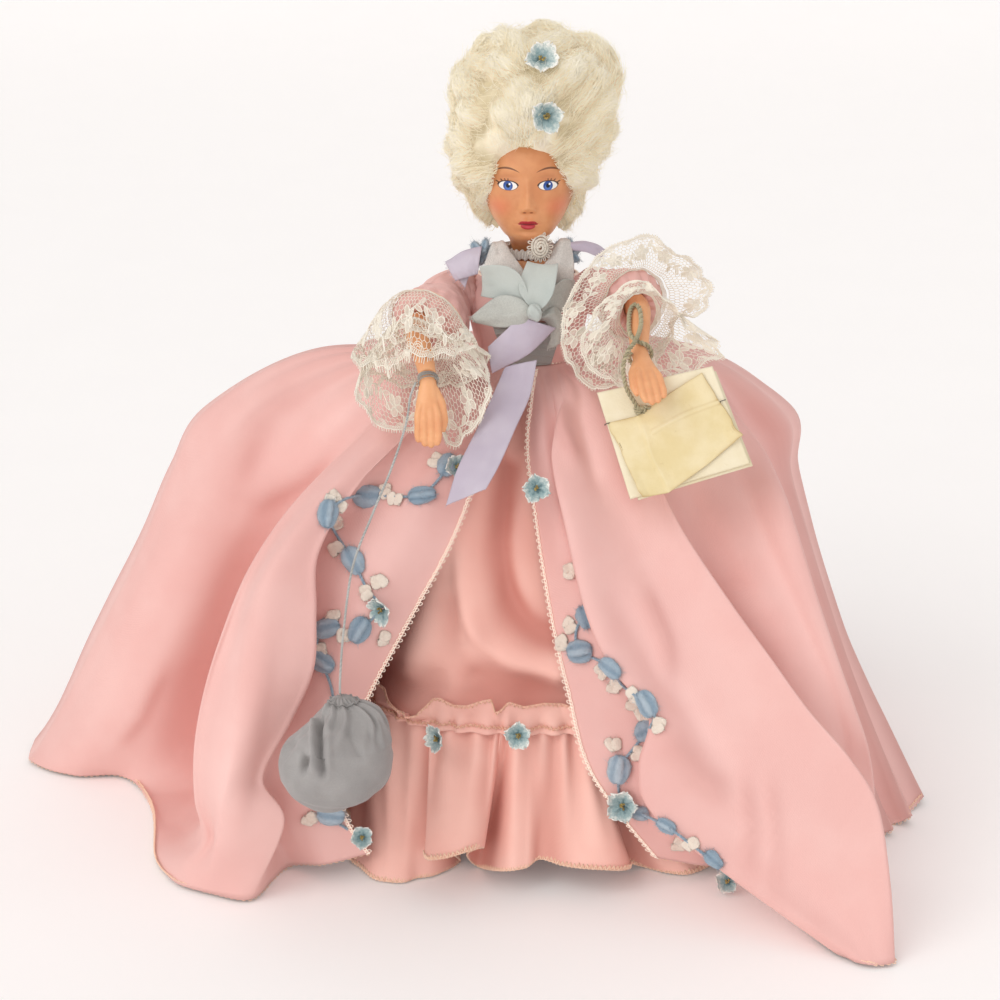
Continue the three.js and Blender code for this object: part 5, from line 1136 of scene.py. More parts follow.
for side, arm in (("right", RIGHT_ARM), ("left", LEFT_ARM)):
    b = Build()
    s = A(arm)
    p = spline(s, np.linspace(0, len(s) - 1, 50))
    b.tube(p[:, :3], p[:, 3], 24)
    h = A(HANDS[side])
    hp = spline(h, np.linspace(0, len(h) - 1, 60))
    Tn, S, U = frames(hp, first=(1, 0, 0))
    S = unit(A([1.0, 0, 0]) - Tn * Tn[:, :1])
    U = np.cross(S, Tn)
    U = np.where((U[:, 2:] - U[:, 1:2]) > 0, U, -U)  # back of the hand
    L = length(hp)
    q = np.linspace(0, 1, 60)
    # wrist and palm
    k = q < 0.6
    wd = np.interp(q, [0, 0.12, 0.3, 0.48, 0.6], [2.05, 2.2, 3.0, 3.45, 3.3])[k]
    th = np.interp(q, [0, 0.12, 0.3, 0.48, 0.6], [2.0, 1.85, 1.75, 1.55, 1.2])[k]
    w = np.linspace(0, 2 * np.pi, 28, endpoint=False)
    b.loft(hp[k][:, None] + wd[:, None, None] * np.cos(w)[None, :, None] * S[k][:, None] + th[:, None, None] * np.sin(w)[None, :, None] * U[k][:, None])
    sg = 1 if side == "right" else -1  # thumb side
    for j, (off, tip, rad) in enumerate(((2.55, 0.93, 0.92), (0.88, 1.0, 0.98), (-0.85, 0.96, 0.95), (-2.5, 0.84, 0.85))):
        qq = np.linspace(0.2, tip, 26)
        c = np.stack([np.interp(qq, q, hp[:, i]) for i in range(3)], 1)
        sd = np.stack([np.interp(qq, q, S[:, i]) for i in range(3)], 1)
        u = np.stack([np.interp(qq, q, U[:, i]) for i in range(3)], 1)
        spread = np.interp(qq, [0.2, 0.45, 0.7, 1.0], [0.45, 0.95, 1.02, 0.72 if j in (0, 3) else 0.8])
        lift = np.interp(qq, [0.2, 0.35, 0.5, 0.7, 1.0], [0.3, 0.85, 0.8, 0.35, -0.35])
        rr = rad * np.interp(qq / tip, [0.2, 0.5, 0.55, 0.75, 0.8, 0.94, 1.0], [0.8, 1.0, 1.06, 0.96, 1.0, 0.84, 0.4])
        b.tube(c + sd * (sg * off * spread)[:, None] + u * lift[:, None], rr, 16)
    qq = np.linspace(0.14, 0.66, 18)
    c = np.stack([np.interp(qq, q, hp[:, i]) for i in range(3)], 1)
    sd = np.stack([np.interp(qq, q, S[:, i]) for i in range(3)], 1)
    u = np.stack([np.interp(qq, q, U[:, i]) for i in range(3)], 1)
    b.tube(c + sd * (sg * np.interp(qq, [0.14, 0.3, 0.5, 0.66], [1.4, 3.1, 3.9, 3.7]))[:, None] + u * np.interp(qq, [0.14, 0.4, 0.66], [-0.2, -0.5, -0.9])[:, None], np.interp(qq, [0.14, 0.3, 0.55, 0.66], [1.2, 1.25, 1.0, 0.5]), 16)
    moulded(b, side + "_arm_skin", 0.22, 3, skin_m, side + "_arm", [side + "_arm"])

# =================================================================================================
# head and painted face
# =================================================================================================
HEAD = [[139.6, 4.95, 4.95, 0], [140.9, 4.95, 4.95, 0], [141.6, 4.25, 4.25, 0], [145, 4.2, 4.2, 0], [149.0, 4.3, 4.3, -0.1], [152.3, 5.2, 6.9, -3.0], [153.4, 6.3, 8.4, -3.0], [154.9, 7.4, 9.9, -2.6], [158, 9.5, 12, -1.3], [163.5, 11.8, 13.3, -0.2],
        [169, 12.9, 14, 0.6], [175, 12.6, 13.6, 1], [180, 10, 10.8, 1.2], [182.6, 6, 6.6, 1.2], [183.6, 1, 1, 1.2]]
z = np.concatenate([np.linspace(139.6, 150.5, 22)[:-1], np.linspace(150.5, 176, 170)[:-1], np.linspace(176, 183.6, 40)])
a = np.linspace(-1, 1, 260, endpoint=False)
a = np.pi * (0.45 * a + 0.55 * a * np.abs(a) ** 1.2)  # closer together at the front
T = table(HEAD, z)[:, None, :]
HGd = oval(T[..., 0], np.maximum(T[..., 1], 0.4), np.maximum(T[..., 2], 0.4), 0, T[..., 3], 2.1, a[None])
x, zz = HGd[..., 0], HGd[..., 2]
face = smooth(0.1, 0.5, np.cos(a))[None] * np.ones_like(zz)


def bell(x0, z0, sx, sz, p=2):
    return np.exp(-(np.abs((np.abs(x) - x0) / sx) ** p + np.abs((zz - z0) / sz) ** p))


nose_w = np.interp(zz, [159.5, 161.5, 165, 169], [1.55, 1.45, 0.95, 1.1])
nose_h = np.interp(zz, [159.9, 160.6, 161.5, 163, 166, 168.6, 171], [0, 1.0, 1.75, 1.35, 0.7, 0.25, 0])
f = nose_h * np.exp(-(np.abs(x) / nose_w) ** 2.2)
f += 0.55 * bell(1.5, 161.0, 0.75, 0.8) - 0.3 * bell(2.6, 161, 0.6, 1.0)
f += -0.75 * bell(5.0, 167.2, 3.4, 2.3) + 0.75 * bell(5.0, 166.9, 2.3, 1.5) + 0.16 * bell(5.0, 168.5, 2.4, 0.3)
f += 0.35 * bell(4.6, 170.6, 4.0, 1.1) + 0.6 * bell(6.6, 161.4, 3.2, 3.0) - 0.25 * bell(3.6, 158.6, 1.2, 1.6)
f += 0.7 * bell(0, 157.8, 3.2, 1.6) + 0.45 * bell(0.8, 158.2, 1.0, 0.45) + 0.55 * bell(0, 156.35, 1.7, 0.6) - 0.4 * np.exp(-((zz - (157.25 + 0.012 * x ** 2)) / 0.2) ** 2) * np.exp(-(x / 2.9) ** 4)
f += -0.3 * bell(0, 155.0, 2.4, 0.55) + 0.75 * bell(0, 153.2, 2.9, 1.5) - 0.12 * bell(0, 159.2, 0.5, 0.7)
HGd[..., 1] -= f * face
head_b = Build().loft(HGd)
fm_, c = skin("painted_face")
X, Y, Z = fm_.xyz()
ax = fm_.math("ABSOLUTE", X)


def M(op, p, q=0.0):
    return fm_.math(op, p, q)


front = fm_.ramp(Y, -4.0, -5.5)


def ell(x0, z0, rx, rz, coord=None):
    dx = M("DIVIDE", M("SUBTRACT", ax if coord is None else coord, x0), rx)
    dz = M("DIVIDE", M("SUBTRACT", Z, z0), rz)
    return M("SQRT", M("ADD", M("MULTIPLY", dx, dx), M("MULTIPLY", dz, dz)))


def inside(e, soft=0.08):
    return M("MULTIPLY", fm_.ramp(e, 1 + soft, 1 - soft), front)


def paint(c, mask, colour, amount=1.0):
    return fm_.mix(M("MULTIPLY", mask, amount) if amount != 1.0 else mask, c, lin(colour))


c = paint(c, M("MULTIPLY", fm_.ramp(ell(7.4, 161.4, 4.8, 3.9), 1.0, 0.0), front), "dd6a4c", 0.5)
c = paint(c, M("MULTIPLY", fm_.ramp(ell(0, 152.6, 3.2, 2.2), 1.0, 0.2), front), "d67a4e", 0.25)
c = paint(c, M("MULTIPLY", fm_.ramp(ell(5.0, 168.6, 3.4, 1.5), 1.0, 0.4), front), "b8764f", 0.35)
eye = ell(5.0, 166.9, 2.4, 1.16)
c = paint(c, inside(eye, 0.05), "f1ece6")
c = paint(c, M("MULTIPLY", inside(ell(5.0, 166.86, 1.2, 1.24), 0.06), inside(eye, 0.04)), "27488f")
c = paint(c, M("MULTIPLY", inside(ell(5.0, 166.5, 0.85, 0.75), 0.3), inside(eye, 0.04)), "5f86cf", 0.6)
c = paint(c, inside(ell(5.0, 166.9, 0.5, 0.54), 0.12), "0c1020")
# White dots in both eyes, each set up and towards +x: painted highlights.
c = paint(c, inside(ell(-4.6, 167.3, 0.24, 0.24, X), 0.25), "ffffff")
c = paint(c, inside(ell(5.4, 167.3, 0.24, 0.24, X), 0.25), "ffffff")
upper = fm_.ramp(Z, 166.75, 167.05)
lid = M("MULTIPLY", M("MULTIPLY", fm_.ramp(eye, 0.9, 0.97), fm_.ramp(eye, 1.17, 1.09)), front)
c = paint(c, M("MULTIPLY", lid, upper), "1f1512")
low = M("MULTIPLY", M("MULTIPLY", fm_.ramp(eye, 0.95, 0.99), fm_.ramp(eye, 1.09, 1.04)), front)
c = paint(c, low, "4a2c1e", 0.75)
dx, dz = M("SUBTRACT", ax, 5.0), M("SUBTRACT", Z, 166.4)
ang = M("ARCTAN2", dz, dx)
spokes = fm_.ramp(M("SINE", M("MULTIPLY", ang, 17.0)), 0.35, 0.75)
lash = M("MULTIPLY", M("MULTIPLY", fm_.ramp(eye, 1.08, 1.14), fm_.ramp(eye, 1.62, 1.45)), M("MULTIPLY", M("MULTIPLY", fm_.ramp(ang, 0.32, 0.42), fm_.ramp(ang, 1.95, 1.75)), front))
c = paint(c, M("MULTIPLY", lash, spokes), "2a1b16", 0.85)
bx = M("DIVIDE", M("SUBTRACT", ax, 5.4), 3.3)
bz = M("SUBTRACT", 171.35, M("MULTIPLY", M("MULTIPLY", bx, bx), 1.05))
brow_d = M("ABSOLUTE", M("SUBTRACT", Z, bz))
brow_w = M("SUBTRACT", 0.24, M("MULTIPLY", M("MULTIPLY", bx, bx), 0.2))
brow = M("MULTIPLY", M("MULTIPLY", fm_.ramp(M("SUBTRACT", brow_d, brow_w), 0.06, -0.06), fm_.ramp(M("ABSOLUTE", bx), 1.05, 0.92)), front)
c = paint(c, brow, "5a3826", 0.85)
lip_u = ell(0.78, 157.6, 1.4, 0.66)
lip_l = ell(0, 156.85, 1.85, 0.92)
lips = M("MAXIMUM", M("MULTIPLY", inside(lip_u, 0.1), fm_.ramp(Z, 157.1, 157.3)), M("MULTIPLY", inside(lip_l, 0.08), fm_.ramp(Z, 157.35, 157.15)))
corner_ = inside(ell(2.05, 157.3, 0.5, 0.2), 0.3)
lips = M("MAXIMUM", lips, corner_)
c = paint(c, lips, "b22f38")
c = paint(c, inside(ell(0.3, 156.6, 0.9, 0.32, X), 0.6), "d25560", 0.5)
line = M("MULTIPLY", fm_.ramp(M("ABSOLUTE", M("SUBTRACT", Z, M("ADD", 157.25, M("MULTIPLY", M("MULTIPLY", X, X), 0.012)))), 0.16, 0.05), fm_.ramp(ax, 2.45, 2.0))
c = paint(c, M("MULTIPLY", line, front), "5c0f16", 0.85)
c = paint(c, inside(ell(0.85, 160.35, 0.42, 0.25), 0.5), "8a4426", 0.8)
# Darker brown round the face's rim next to the wig: painted shade under the wig's edge.
face_rim_shade = M("MULTIPLY", fm_.ramp(ell(0, 162.0, 10.4, 16.6), 0.86, 1.05), fm_.ramp(Y, -2.0, -4.0))
c = paint(c, face_rim_shade, "9c6a48", 0.45)
fm_.colour(c)
head_o = head_b.make("head_painted", fm_.m, "head", ["head"], "skin_plastic")

# =================================================================================================
# wig
# =================================================================================================
WIG = [[152.6, 10.0, 10.0, 5, 0], [155, 11.6, 12, 4.4, -0.2], [158.2, 13.2, 14, 3.4, -0.5], [163.4, 15.8, 16, 2.2, -0.8], [169.8, 18.6, 17.6, 1.2, -0.6], [176.2, 20.3, 18.4, 0.8, 0.4], [183.8, 20.8, 18.6, 0.6, 1.7],
       [190, 21.2, 18, 0.8, 2.8], [195, 19.6, 16.4, 1.2, 3.2], [199, 15.6, 13, 1.6, 3], [202, 10, 9, 1.8, 2.6], [203.6, 4.6, 4.6, 2, 2.4], [204, 0.6, 0.6, 2, 2.4]]
_wz = np.concatenate([np.linspace(152.6, 198, 80)[:-1], np.linspace(198, 204, 60)])
_wt = table(WIG, _wz)
_arc = np.concatenate([[0], np.cumsum(np.hypot(np.diff(_wz), np.diff(_wt[:, 1])))])
ARC = float(_arc[-1])


def hair_flow(a, h):
    """Which way the hair is dressed: 0 is up the wig, positive is round towards +x."""
    sgn = np.where(A(a) >= 0, 1.0, -1.0)
    front = np.interp(h, [152, 158, 165, 171, 178, 186, 196, 204], [2.9, 2.7, 2.2, 1.5, 1.05, 0.95, 0.9, 1.1]) * np.where((np.abs(a) < 0.4) & (A(h) > 176), 0.5 + np.abs(a), 1.0)
    back = np.interp(h, [152, 165, 185, 204], [3.0, 2.7, 0.6, 0.5])
    return np.where(np.abs(a) < 1.9, front, back) * sgn


def in_face(p, grow=1.0):
    return (np.hypot(p[..., 0] / (9.9 * grow), (p[..., 2] - 162.0) / (16.2 * grow)) < 1) & (p[..., 1] < 0)


_g = np.random.default_rng(77)
TUFTS = []  # angle, distance up, direction, half length, half width, height, tone
for z_, count in ((155.5, 8), (161, 10), (167, 12), (173, 12), (179, 12), (185, 12), (190.5, 12), (195.5, 10), (199.5, 8), (202.4, 4)):
    for k in range(count):
        a_ = (k + 0.5 * (len(TUFTS) % 2) + _g.uniform(-0.28, 0.28)) / count * 2 * np.pi - np.pi
        zt = z_ + _g.uniform(-1.6, 1.6)
        s_ = float(np.interp(min(zt, 203.6), _wz, _arc))
        c_ = table(WIG, A([min(zt, 203.6)]))[0]
        centre = A([c_[4] + c_[1] * math.sin(a_), c_[3] - c_[2] * math.cos(a_), zt])
        if in_face(centre, 1.06):
            continue
        TUFTS.append([a_, s_, float(hair_flow(A(a_), A(zt))) + _g.normal(0, 0.34), _g.uniform(4.6, 7.0), _g.uniform(2.7, 4.1), _g.uniform(1.2, 2.5), _g.normal(0, 0.1)])


def tufted(a, s):
    """How far the dressed tufts stand off the wig's smooth shape."""
    a, s = np.broadcast_arrays(A(a), A(s))
    rad = np.maximum(np.interp(s, _arc, _wt[:, 1]), 2.0)
    best = np.zeros(a.shape)
    for a_, s_, psi, l, w, h, _ in TUFTS:
        du, dv = ((a - a_ + np.pi) % (2 * np.pi) - np.pi) * rad, s - s_
        along, across = (du * math.sin(psi) + dv * math.cos(psi)) / l, (du * math.cos(psi) - dv * math.sin(psi)) / w
        near = (np.abs(along) < 1.6) & (np.abs(across) < 2.4)
        if not near.any():
            continue
        t, c = along[near], across[near]
        top = smooth(-1.3, 0.55, t) * (1 - smooth(0.6, 1.35, t))
        best[near] = np.maximum(best[near], h * top * np.exp(-(c ** 2)))
    return best


def wig_point(a, s, lift=0.0):
    """Point on the wig's outside: a is the angle from the front, s the distance up its profile in mm."""
    zz = np.interp(s, _arc, _wz)
    T = table(WIG, zz)
    rx, ry = np.maximum(T[..., 1], 0.3), np.maximum(T[..., 2], 0.3)
    p = np.stack([T[..., 4] + rx * np.sin(a), T[..., 3] - ry * np.cos(a), zz], -1)
    n = unit(np.stack([np.sin(a) / rx, -np.cos(a) / ry, np.zeros_like(zz)], -1))
    slope = np.interp(s, _arc, np.gradient(_wt[:, 1], _arc))
    rise = np.interp(s, _arc, np.gradient(_wz, _arc))
    n = unit(n * rise[..., None] + A([0, 0, 1.0]) * (-slope)[..., None])
    lump = tufted(a, s) + 0.5 * noise(p / 4.2, 82) + 0.22 * noise(p / 1.7, 83)
    e = np.hypot(p[..., 0] / 11.2, (p[..., 2] - 162.0) / 17.4)
    mouth = np.where(p[..., 1] < 0, smooth(1.45, 0.95, e), 0)  # turns in towards the face
    d = lift - 1.0 + lump * (0.35 + 0.65 * smooth(0, 5, s)) * (1 - 0.5 * mouth)
    p = p + n * d[..., None]
    p = p + (A([0, 1.5, 168.0]) - p) * (mouth * 0.13)[..., None]
    return p, n, lump


def hair_material(name):
    # The mohair is given a little warm emission: painted light to brighten its self-shadowed fibres; its low, darker
    # tones carry painted shade.
    m = Mat(name, 0.6, **{"Sheen_Weight": 0.4, "Sheen_Roughness": 0.4, "Specular_IOR_Level": 0.25, "Emission_Color": (1.0, 0.88, 0.66, 1), "Emission_Strength": 0.105})
    t = m.tone()
    c = m.mix(m.ramp(t, 0.0, 0.5), lin("cbb98e"), lin("f9edd0"))
    c = m.mix(m.ramp(t, 0.5, 0.9), c, lin("fffaea"))
    f = m.noise(0.35, 3.0, 0.6, m.stretched(1, 1, 0.5))
    c = m.mix(m.ramp(f, 0.52, 0.75, 0.0, 0.4), c, lin("efe3c4"))
    m.colour(c).rough(m.ramp(f, 0.3, 0.7, 0.5, 0.7))
    return m


hm = hair_material("mohair")
hb = hair_material("mohair_base")
hb.bump(hb.noise(2.2, 4.0, 0.7, hb.stretched(1.6, 1.6, 0.7)), 0.7, 0.0007)
s = np.linspace(0, ARC, 170)
a = np.linspace(-np.pi, np.pi, 280, endpoint=False)
aa, ss = np.meshgrid(a, s)
G, N, lump = wig_point(aa, ss, -0.35)
e = np.hypot(G[..., 0] / (10.2 - 1.9 * smooth(166, 155, G[..., 2])), (G[..., 2] - 162.0) / 16.4)
open_ = (e < 1) & (G[..., 1] < -1)
rim = (e < 1.1) & (G[..., 1] < -1)
G[rim] = G[rim] + (A([0, 2, 165]) - G[rim]) * 0.16
idx = np.arange(G.shape[0] * G.shape[1]).reshape(G.shape[:2])
j = np.roll(idx, -1, 1)
quads = np.stack([idx[:-1], j[:-1], j[1:], idx[1:]], -1).reshape(-1, 4)
keep = ~open_.ravel()[quads].all(1)
base_b = Build()
# The base's tone is lower between the tufts and higher on them: painted shade of the tufts.
base_b.add(G.reshape(-1, 3), quads[keep], None, np.clip(0.2 + 0.3 * lump, 0, 1).ravel())
wig_base = base_b.make("wig_base", hb.m, "head", ["wig"], "mohair")
wig_tree = BVHTree.FromPolygons([tuple(p) for p in G.reshape(-1, 3)], quads[keep].tolist())


def on_wig(px, py, lift):
    """Point on the wig at a place in the picture, and the way it faces."""
    d = ray(px, py)
    hit, n, _, _ = wig_tree.ray_cast(Vector(CAM_AT), Vector(d))
    n = A(n) if A(n) @ d < 0 else -A(n)
    return A(hit) + n * lift, n


def strands(P, r, tone, sides=3):
    """Many thin fibres at once: P is fibre x point x 3, tone is for each fibre or each point."""
    P = A(P)
    n, k = P.shape[:2]
    T = np.empty_like(P)
    T[:, 1:-1] = P[:, 2:] - P[:, :-2]
    T[:, 0], T[:, -1] = P[:, 1] - P[:, 0], P[:, -1] - P[:, -2]
    T = unit(T)
    ref = np.where(np.abs(T[..., 2:3]) < 0.9, A([0, 0, 1.0]), A([1.0, 0, 0]))
    S = unit(np.cross(T, ref))
    U = np.cross(T, S)
    taper = np.interp(np.linspace(0, 1, k), [0, 0.15, 0.7, 1], [0.8, 1, 0.9, 0.25])
    R = (np.broadcast_to(A(r), (n,))[:, None] * taper[None])[..., None, None]
    w = np.arange(sides) / sides * 2 * np.pi
    ring = P[:, :, None] + R * (np.cos(w)[None, None, :, None] * S[:, :, None] + np.sin(w)[None, None, :, None] * U[:, :, None])
    idx = np.arange(n * k * sides).reshape(n, k, sides)
    top = np.roll(idx, -1, 2)
    q = np.stack([idx[:, :-1], top[:, :-1], top[:, 1:], idx[:, 1:]], -1).reshape(-1, 4)
    return Build().add(ring.reshape(-1, 3), q, None, np.repeat(np.broadcast_to(A(tone).reshape(n, -1), (n, k)), sides, 1).reshape(-1))


K = 10
q = np.linspace(0, 1, K)
g = np.random.default_rng(91)
P, R_, T_ = [], [], []
for a_, s_, psi, l, w, h, tn in TUFTS:
    n = int(26 * l * w / 2.9)
    across0 = g.normal(0, w * 0.6, n)
    start = -l * g.uniform(0.5, 1.25, n)
    reach = l * g.uniform(1.2, 2.1, n)
    d = start[:, None] + reach[:, None] * q[None]
    wave = g.uniform(0.15, 0.5, n)[:, None] * np.sin(2 * np.pi * (d / g.uniform(3.2, 5.5, n)[:, None] + g.uniform(0, 1, n)[:, None]))
    across = across0[:, None] * (1 - 0.2 * q[None]) + wave + g.normal(0, 0.06, n)[:, None] * (reach[:, None] * q[None]) + g.normal(0, 0.012) * d ** 2
    us_, ups = d * math.sin(psi) + across * math.cos(psi), d * math.cos(psi) - across * math.sin(psi)
    S_ = np.clip(s_ + ups, 0.2, ARC - 0.35)
    A_ = a_ + us_ / np.maximum(np.interp(S_, _arc, _wt[:, 1]), 2.2)
    p, nn, lump = wig_point(A_, S_, 0.1 + np.abs(g.normal(0, 0.28, n))[:, None] + q[None] ** 3 * np.abs(g.normal(0.2, 0.7, n))[:, None])
    bad = in_face(p, 0.93).any(1) & (p[..., 1].min(1) < -4)
    P.append(p[~bad])
    R_.append(0.072 * g.uniform(0.75, 1.25, int((~bad).sum())))
    # Each fibre's tone rises with the tuft height under it: painted shade in the low places; tn is each tuft's own
    # tone.
    T_.append(np.clip(0.42 + tn + 0.25 * lump[~bad] + g.normal(0, 0.18, int((~bad).sum()))[:, None], 0, 1))
# loose hairs that stand off the outline
n = 1500
a0, s0 = g.uniform(-np.pi, np.pi, n), g.uniform(1, ARC - 1, n)
dirn, ln, bend = g.uniform(0, 6.28, n), g.uniform(3, 8, n), g.normal(0, 0.14, n)
d = q[None] * ln[:, None]
S_ = np.clip(s0[:, None] + d * np.cos(dirn)[:, None] + bend[:, None] * d ** 2 * 0.5, 0.2, ARC - 0.35)
A_ = a0[:, None] + (d * np.sin(dirn)[:, None]) / np.maximum(np.interp(S_, _arc, _wt[:, 1]), 2.5)
p, _, _ = wig_point(A_, S_, 0.4 + (q[None] ** 1.4) * g.uniform(0.5, 3.2, n)[:, None])
ok = ~(in_face(p, 0.9).any(1))
P.append(p[ok])
R_.append(np.full(ok.sum(), 0.045))
T_.append(np.repeat(g.uniform(0.5, 1.0, ok.sum())[:, None], K, 1))
P, R_, T_ = np.concatenate(P), np.concatenate(R_), np.concatenate(T_)
P[..., 2] = np.minimum(P[..., 2], 205.5)
order = g.permutation(len(P))
print("wig fibres", len(P), "quads a piece", len(P) * 27 // 6)
for k, part in enumerate(np.array_split(order, 6)):
    strands(P[part], R_[part], T_[part]).make(f"wig_fibres_{k + 1}", hm.m, "head", (), "mohair")
cap_m = hair_material("wig_cap_cloth")
cap_m.bump(cap_m.noise(3.0, 3.0), 0.4, 0.0003)
frame["nodes"]["wig_cap"].data.materials.clear()
frame["nodes"]["wig_cap"].data.materials.append(cap_m.m)
plain = {n: frame["nodes"][n].data.materials for n in ("torso_front", "torso_back", "right_leg", "left_leg", "arm_elastic", "right_arm_hook", "left_arm_hook")}
steel = Mat("hook_steel", 0.35, Metallic=1.0)
sn = steel.noise(3.0, 4.0, 0.7)
steel.colour(steel.mix(steel.ramp(sn, 0.35, 0.7), lin("8f9194"), lin("bfc1c4"))).rough(steel.ramp(sn, 0.3, 0.7, 0.25, 0.5)).bump(sn, 0.2, 0.0001)
elastic = cloth("white_elastic", "efece6", "dcd7cd", 0.8, 0.1, 1.6, 0.5, 0.15)
for n, m in zip(plain, (skin_m, skin_m, skin_m, skin_m, elastic, steel.m, steel.m)):
    plain[n].clear()
    plain[n].append(m)

# =================================================================================================
# lace ruffles
# =================================================================================================
# The lace thread is given a little emission: painted light to brighten it.
lace_m = Mat("lace_thread", 0.75, **{"Sheen_Weight": 0.3, "Sheen_Roughness": 0.5, "Specular_IOR_Level": 0.25, "Emission_Color": (1.0, 0.93, 0.82, 1), "Emission_Strength": 0.05})
ln_ = lace_m.noise(2.4, 3.0, 0.6)
lace_m.colour(lace_m.mix(lace_m.math("ADD", lace_m.math("MULTIPLY", lace_m.tone(), 0.75), lace_m.math("MULTIPLY", ln_, 0.4), clamp=True), lin("e0d5c1"), lin("fbf4e6"))).bump(ln_, 0.4, 0.00006)


def segments(b, P0, P1, r, tone=0.5, sides=3):
    """Many short open threads at once."""
    P0, P1 = A(P0).reshape(-1, 3), A(P1).reshape(-1, 3)
    n = len(P0)
    T = unit(P1 - P0)
    ref = np.where(np.abs(T[:, 2:3]) < 0.9, A([0, 0, 1.0]), A([1.0, 0, 0]))
    S = unit(np.cross(T, ref))
    U = np.cross(T, S)
    w = np.arange(sides) / sides * 2 * np.pi
    off = np.broadcast_to(A(r), (n,))[:, None, None] * (np.cos(w)[None, :, None] * S[:, None] + np.sin(w)[None, :, None] * U[:, None])
    ring = np.stack([P0[:, None] + off, P1[:, None] + off], 1)
    idx = np.arange(n * 2 * sides).reshape(n, 2, sides)
    top = np.roll(idx, -1, 2)
    q = np.stack([idx[:, 0], top[:, 0], top[:, 1], idx[:, 1]], -1).reshape(-1, 4)
    return b.add(ring.reshape(-1, 3), q, None, np.repeat(np.broadcast_to(A(tone), (n,)), 2 * sides))


class Lace:
    """A ruffle from a ring on the arm to a rim, with a thread pattern laid out in millimetres along the rim and across."""

    def __init__(self, centre, axis, radius, rim, seed, waves, amp, lift=0.35):
        g = np.random.default_rng(seed)
        E = even(closed_spline([at(*p) for p in rim], np.linspace(0, 1, 1200, endpoint=False)), n=421, closed=True)
        self.nu = len(E)
        c, ax = A(centre), unit(axis)
        S = unit(np.cross(ax, A([0.2, 0.1, 1.0])))
        U = np.cross(ax, S)
        th = np.linspace(0, 2 * np.pi, self.nu, endpoint=False)
        best = None
        for d in (1, -1):
            for k in np.linspace(0, 2 * np.pi, 90, endpoint=False):
                R = c + radius * (np.cos(d * th + k)[:, None] * S + np.sin(d * th + k)[:, None] * U)
                cost = float((np.linalg.norm(R - E, axis=1) ** 2).sum())
                if best is None or cost < best[0]:
                    best = (cost, R, np.cos(d * th + k)[:, None] * S + np.sin(d * th + k)[:, None] * U)
        R, rad = best[1], best[2]
        self.nv = 44
        v = np.linspace(0, 1, self.nv)[:, None, None]
        d = np.linalg.norm(E - R, axis=1)[:, None]
        c1 = R + ax * d * 0.30 + rad * d * 0.22
        c2 = R * 0.34 + E * 0.66 + rad * d * lift * 0.5
        G = R * (1 - v) ** 3 + 3 * c1 * v * (1 - v) ** 2 + 3 * c2 * v ** 2 * (1 - v) + E * v ** 3
        N = normals(G, True)
        if (N[-1] * (E - E.mean(0))).sum() < 0:
            N = -N
        u = np.linspace(0, 1, self.nu, endpoint=False)
        ring_u = np.stack([np.cos(2 * np.pi * u), np.sin(2 * np.pi * u)], -1)
        wob = noise2(ring_u[:, 0] * 2.2 + 5, ring_u[:, 1] * 2.2, seed)
        wave = np.sin(2 * np.pi * waves * u + 2.6 * wob) * (0.75 + 0.35 * noise2(ring_u[:, 0] * 3, ring_u[:, 1] * 3, seed + 1))
        fine = np.sin(2 * np.pi * waves * 2.3 * u + 4 * wob) * 0.25
        vv = v[..., 0]
        G = G + N * (amp * (wave + fine)[None] * (0.12 + 0.88 * vv ** 1.2) + 0.18 * noise2(ring_u[None, :, 0] * 6 + 3 * vv, ring_u[None, :, 1] * 6, seed + 2))[..., None]
        flat_pts = G.reshape(-1, 3)
        for k in range(len(flat_pts)):  # stays in front of the skirt as the camera sees it
            p = flat_pts[k]
            dv = p - CAM_AT
            L = np.linalg.norm(dv)
            hit = skirt_tree.ray_cast(Vector(CAM_AT), Vector(dv / L))
            if hit[0] is not None and hit[3] < L + 1.2:
                flat_pts[k] = CAM_AT + dv / L * (hit[3] - 1.2)
        self.G = flat_pts.reshape(G.shape)
        self.L = length(np.concatenate([self.G[-1], self.G[-1][:1]]))
        self.W = float(np.mean([length(self.G[:, k]) for k in range(0, self.nu, 20)]))
        self.area = grid_area(self.G, True)
        self.g = g

    def pos(self, s, t, lift=0.0):
        u = (A(s) / self.L % 1) * self.nu
        v = A(t) / self.W * (self.nv - 1)
        i = np.floor(u).astype(int) % self.nu
        f = (u - np.floor(u))[..., None]
        j = np.clip(np.floor(v).astype(int), 0, self.nv - 2)
        h = (v - j)[..., None]
        i1 = (i + 1) % self.nu
        G = self.G
        return (G[j, i] * (1 - f) + G[j, i1] * f) * (1 - h) + (G[j + 1, i] * (1 - f) + G[j + 1, i1] * f) * h

    def line(self, b, s, t, r, tone=0.6):
        p = self.pos(A(s), A(t))
        segments(b, p[:-1], p[1:], r, tone)


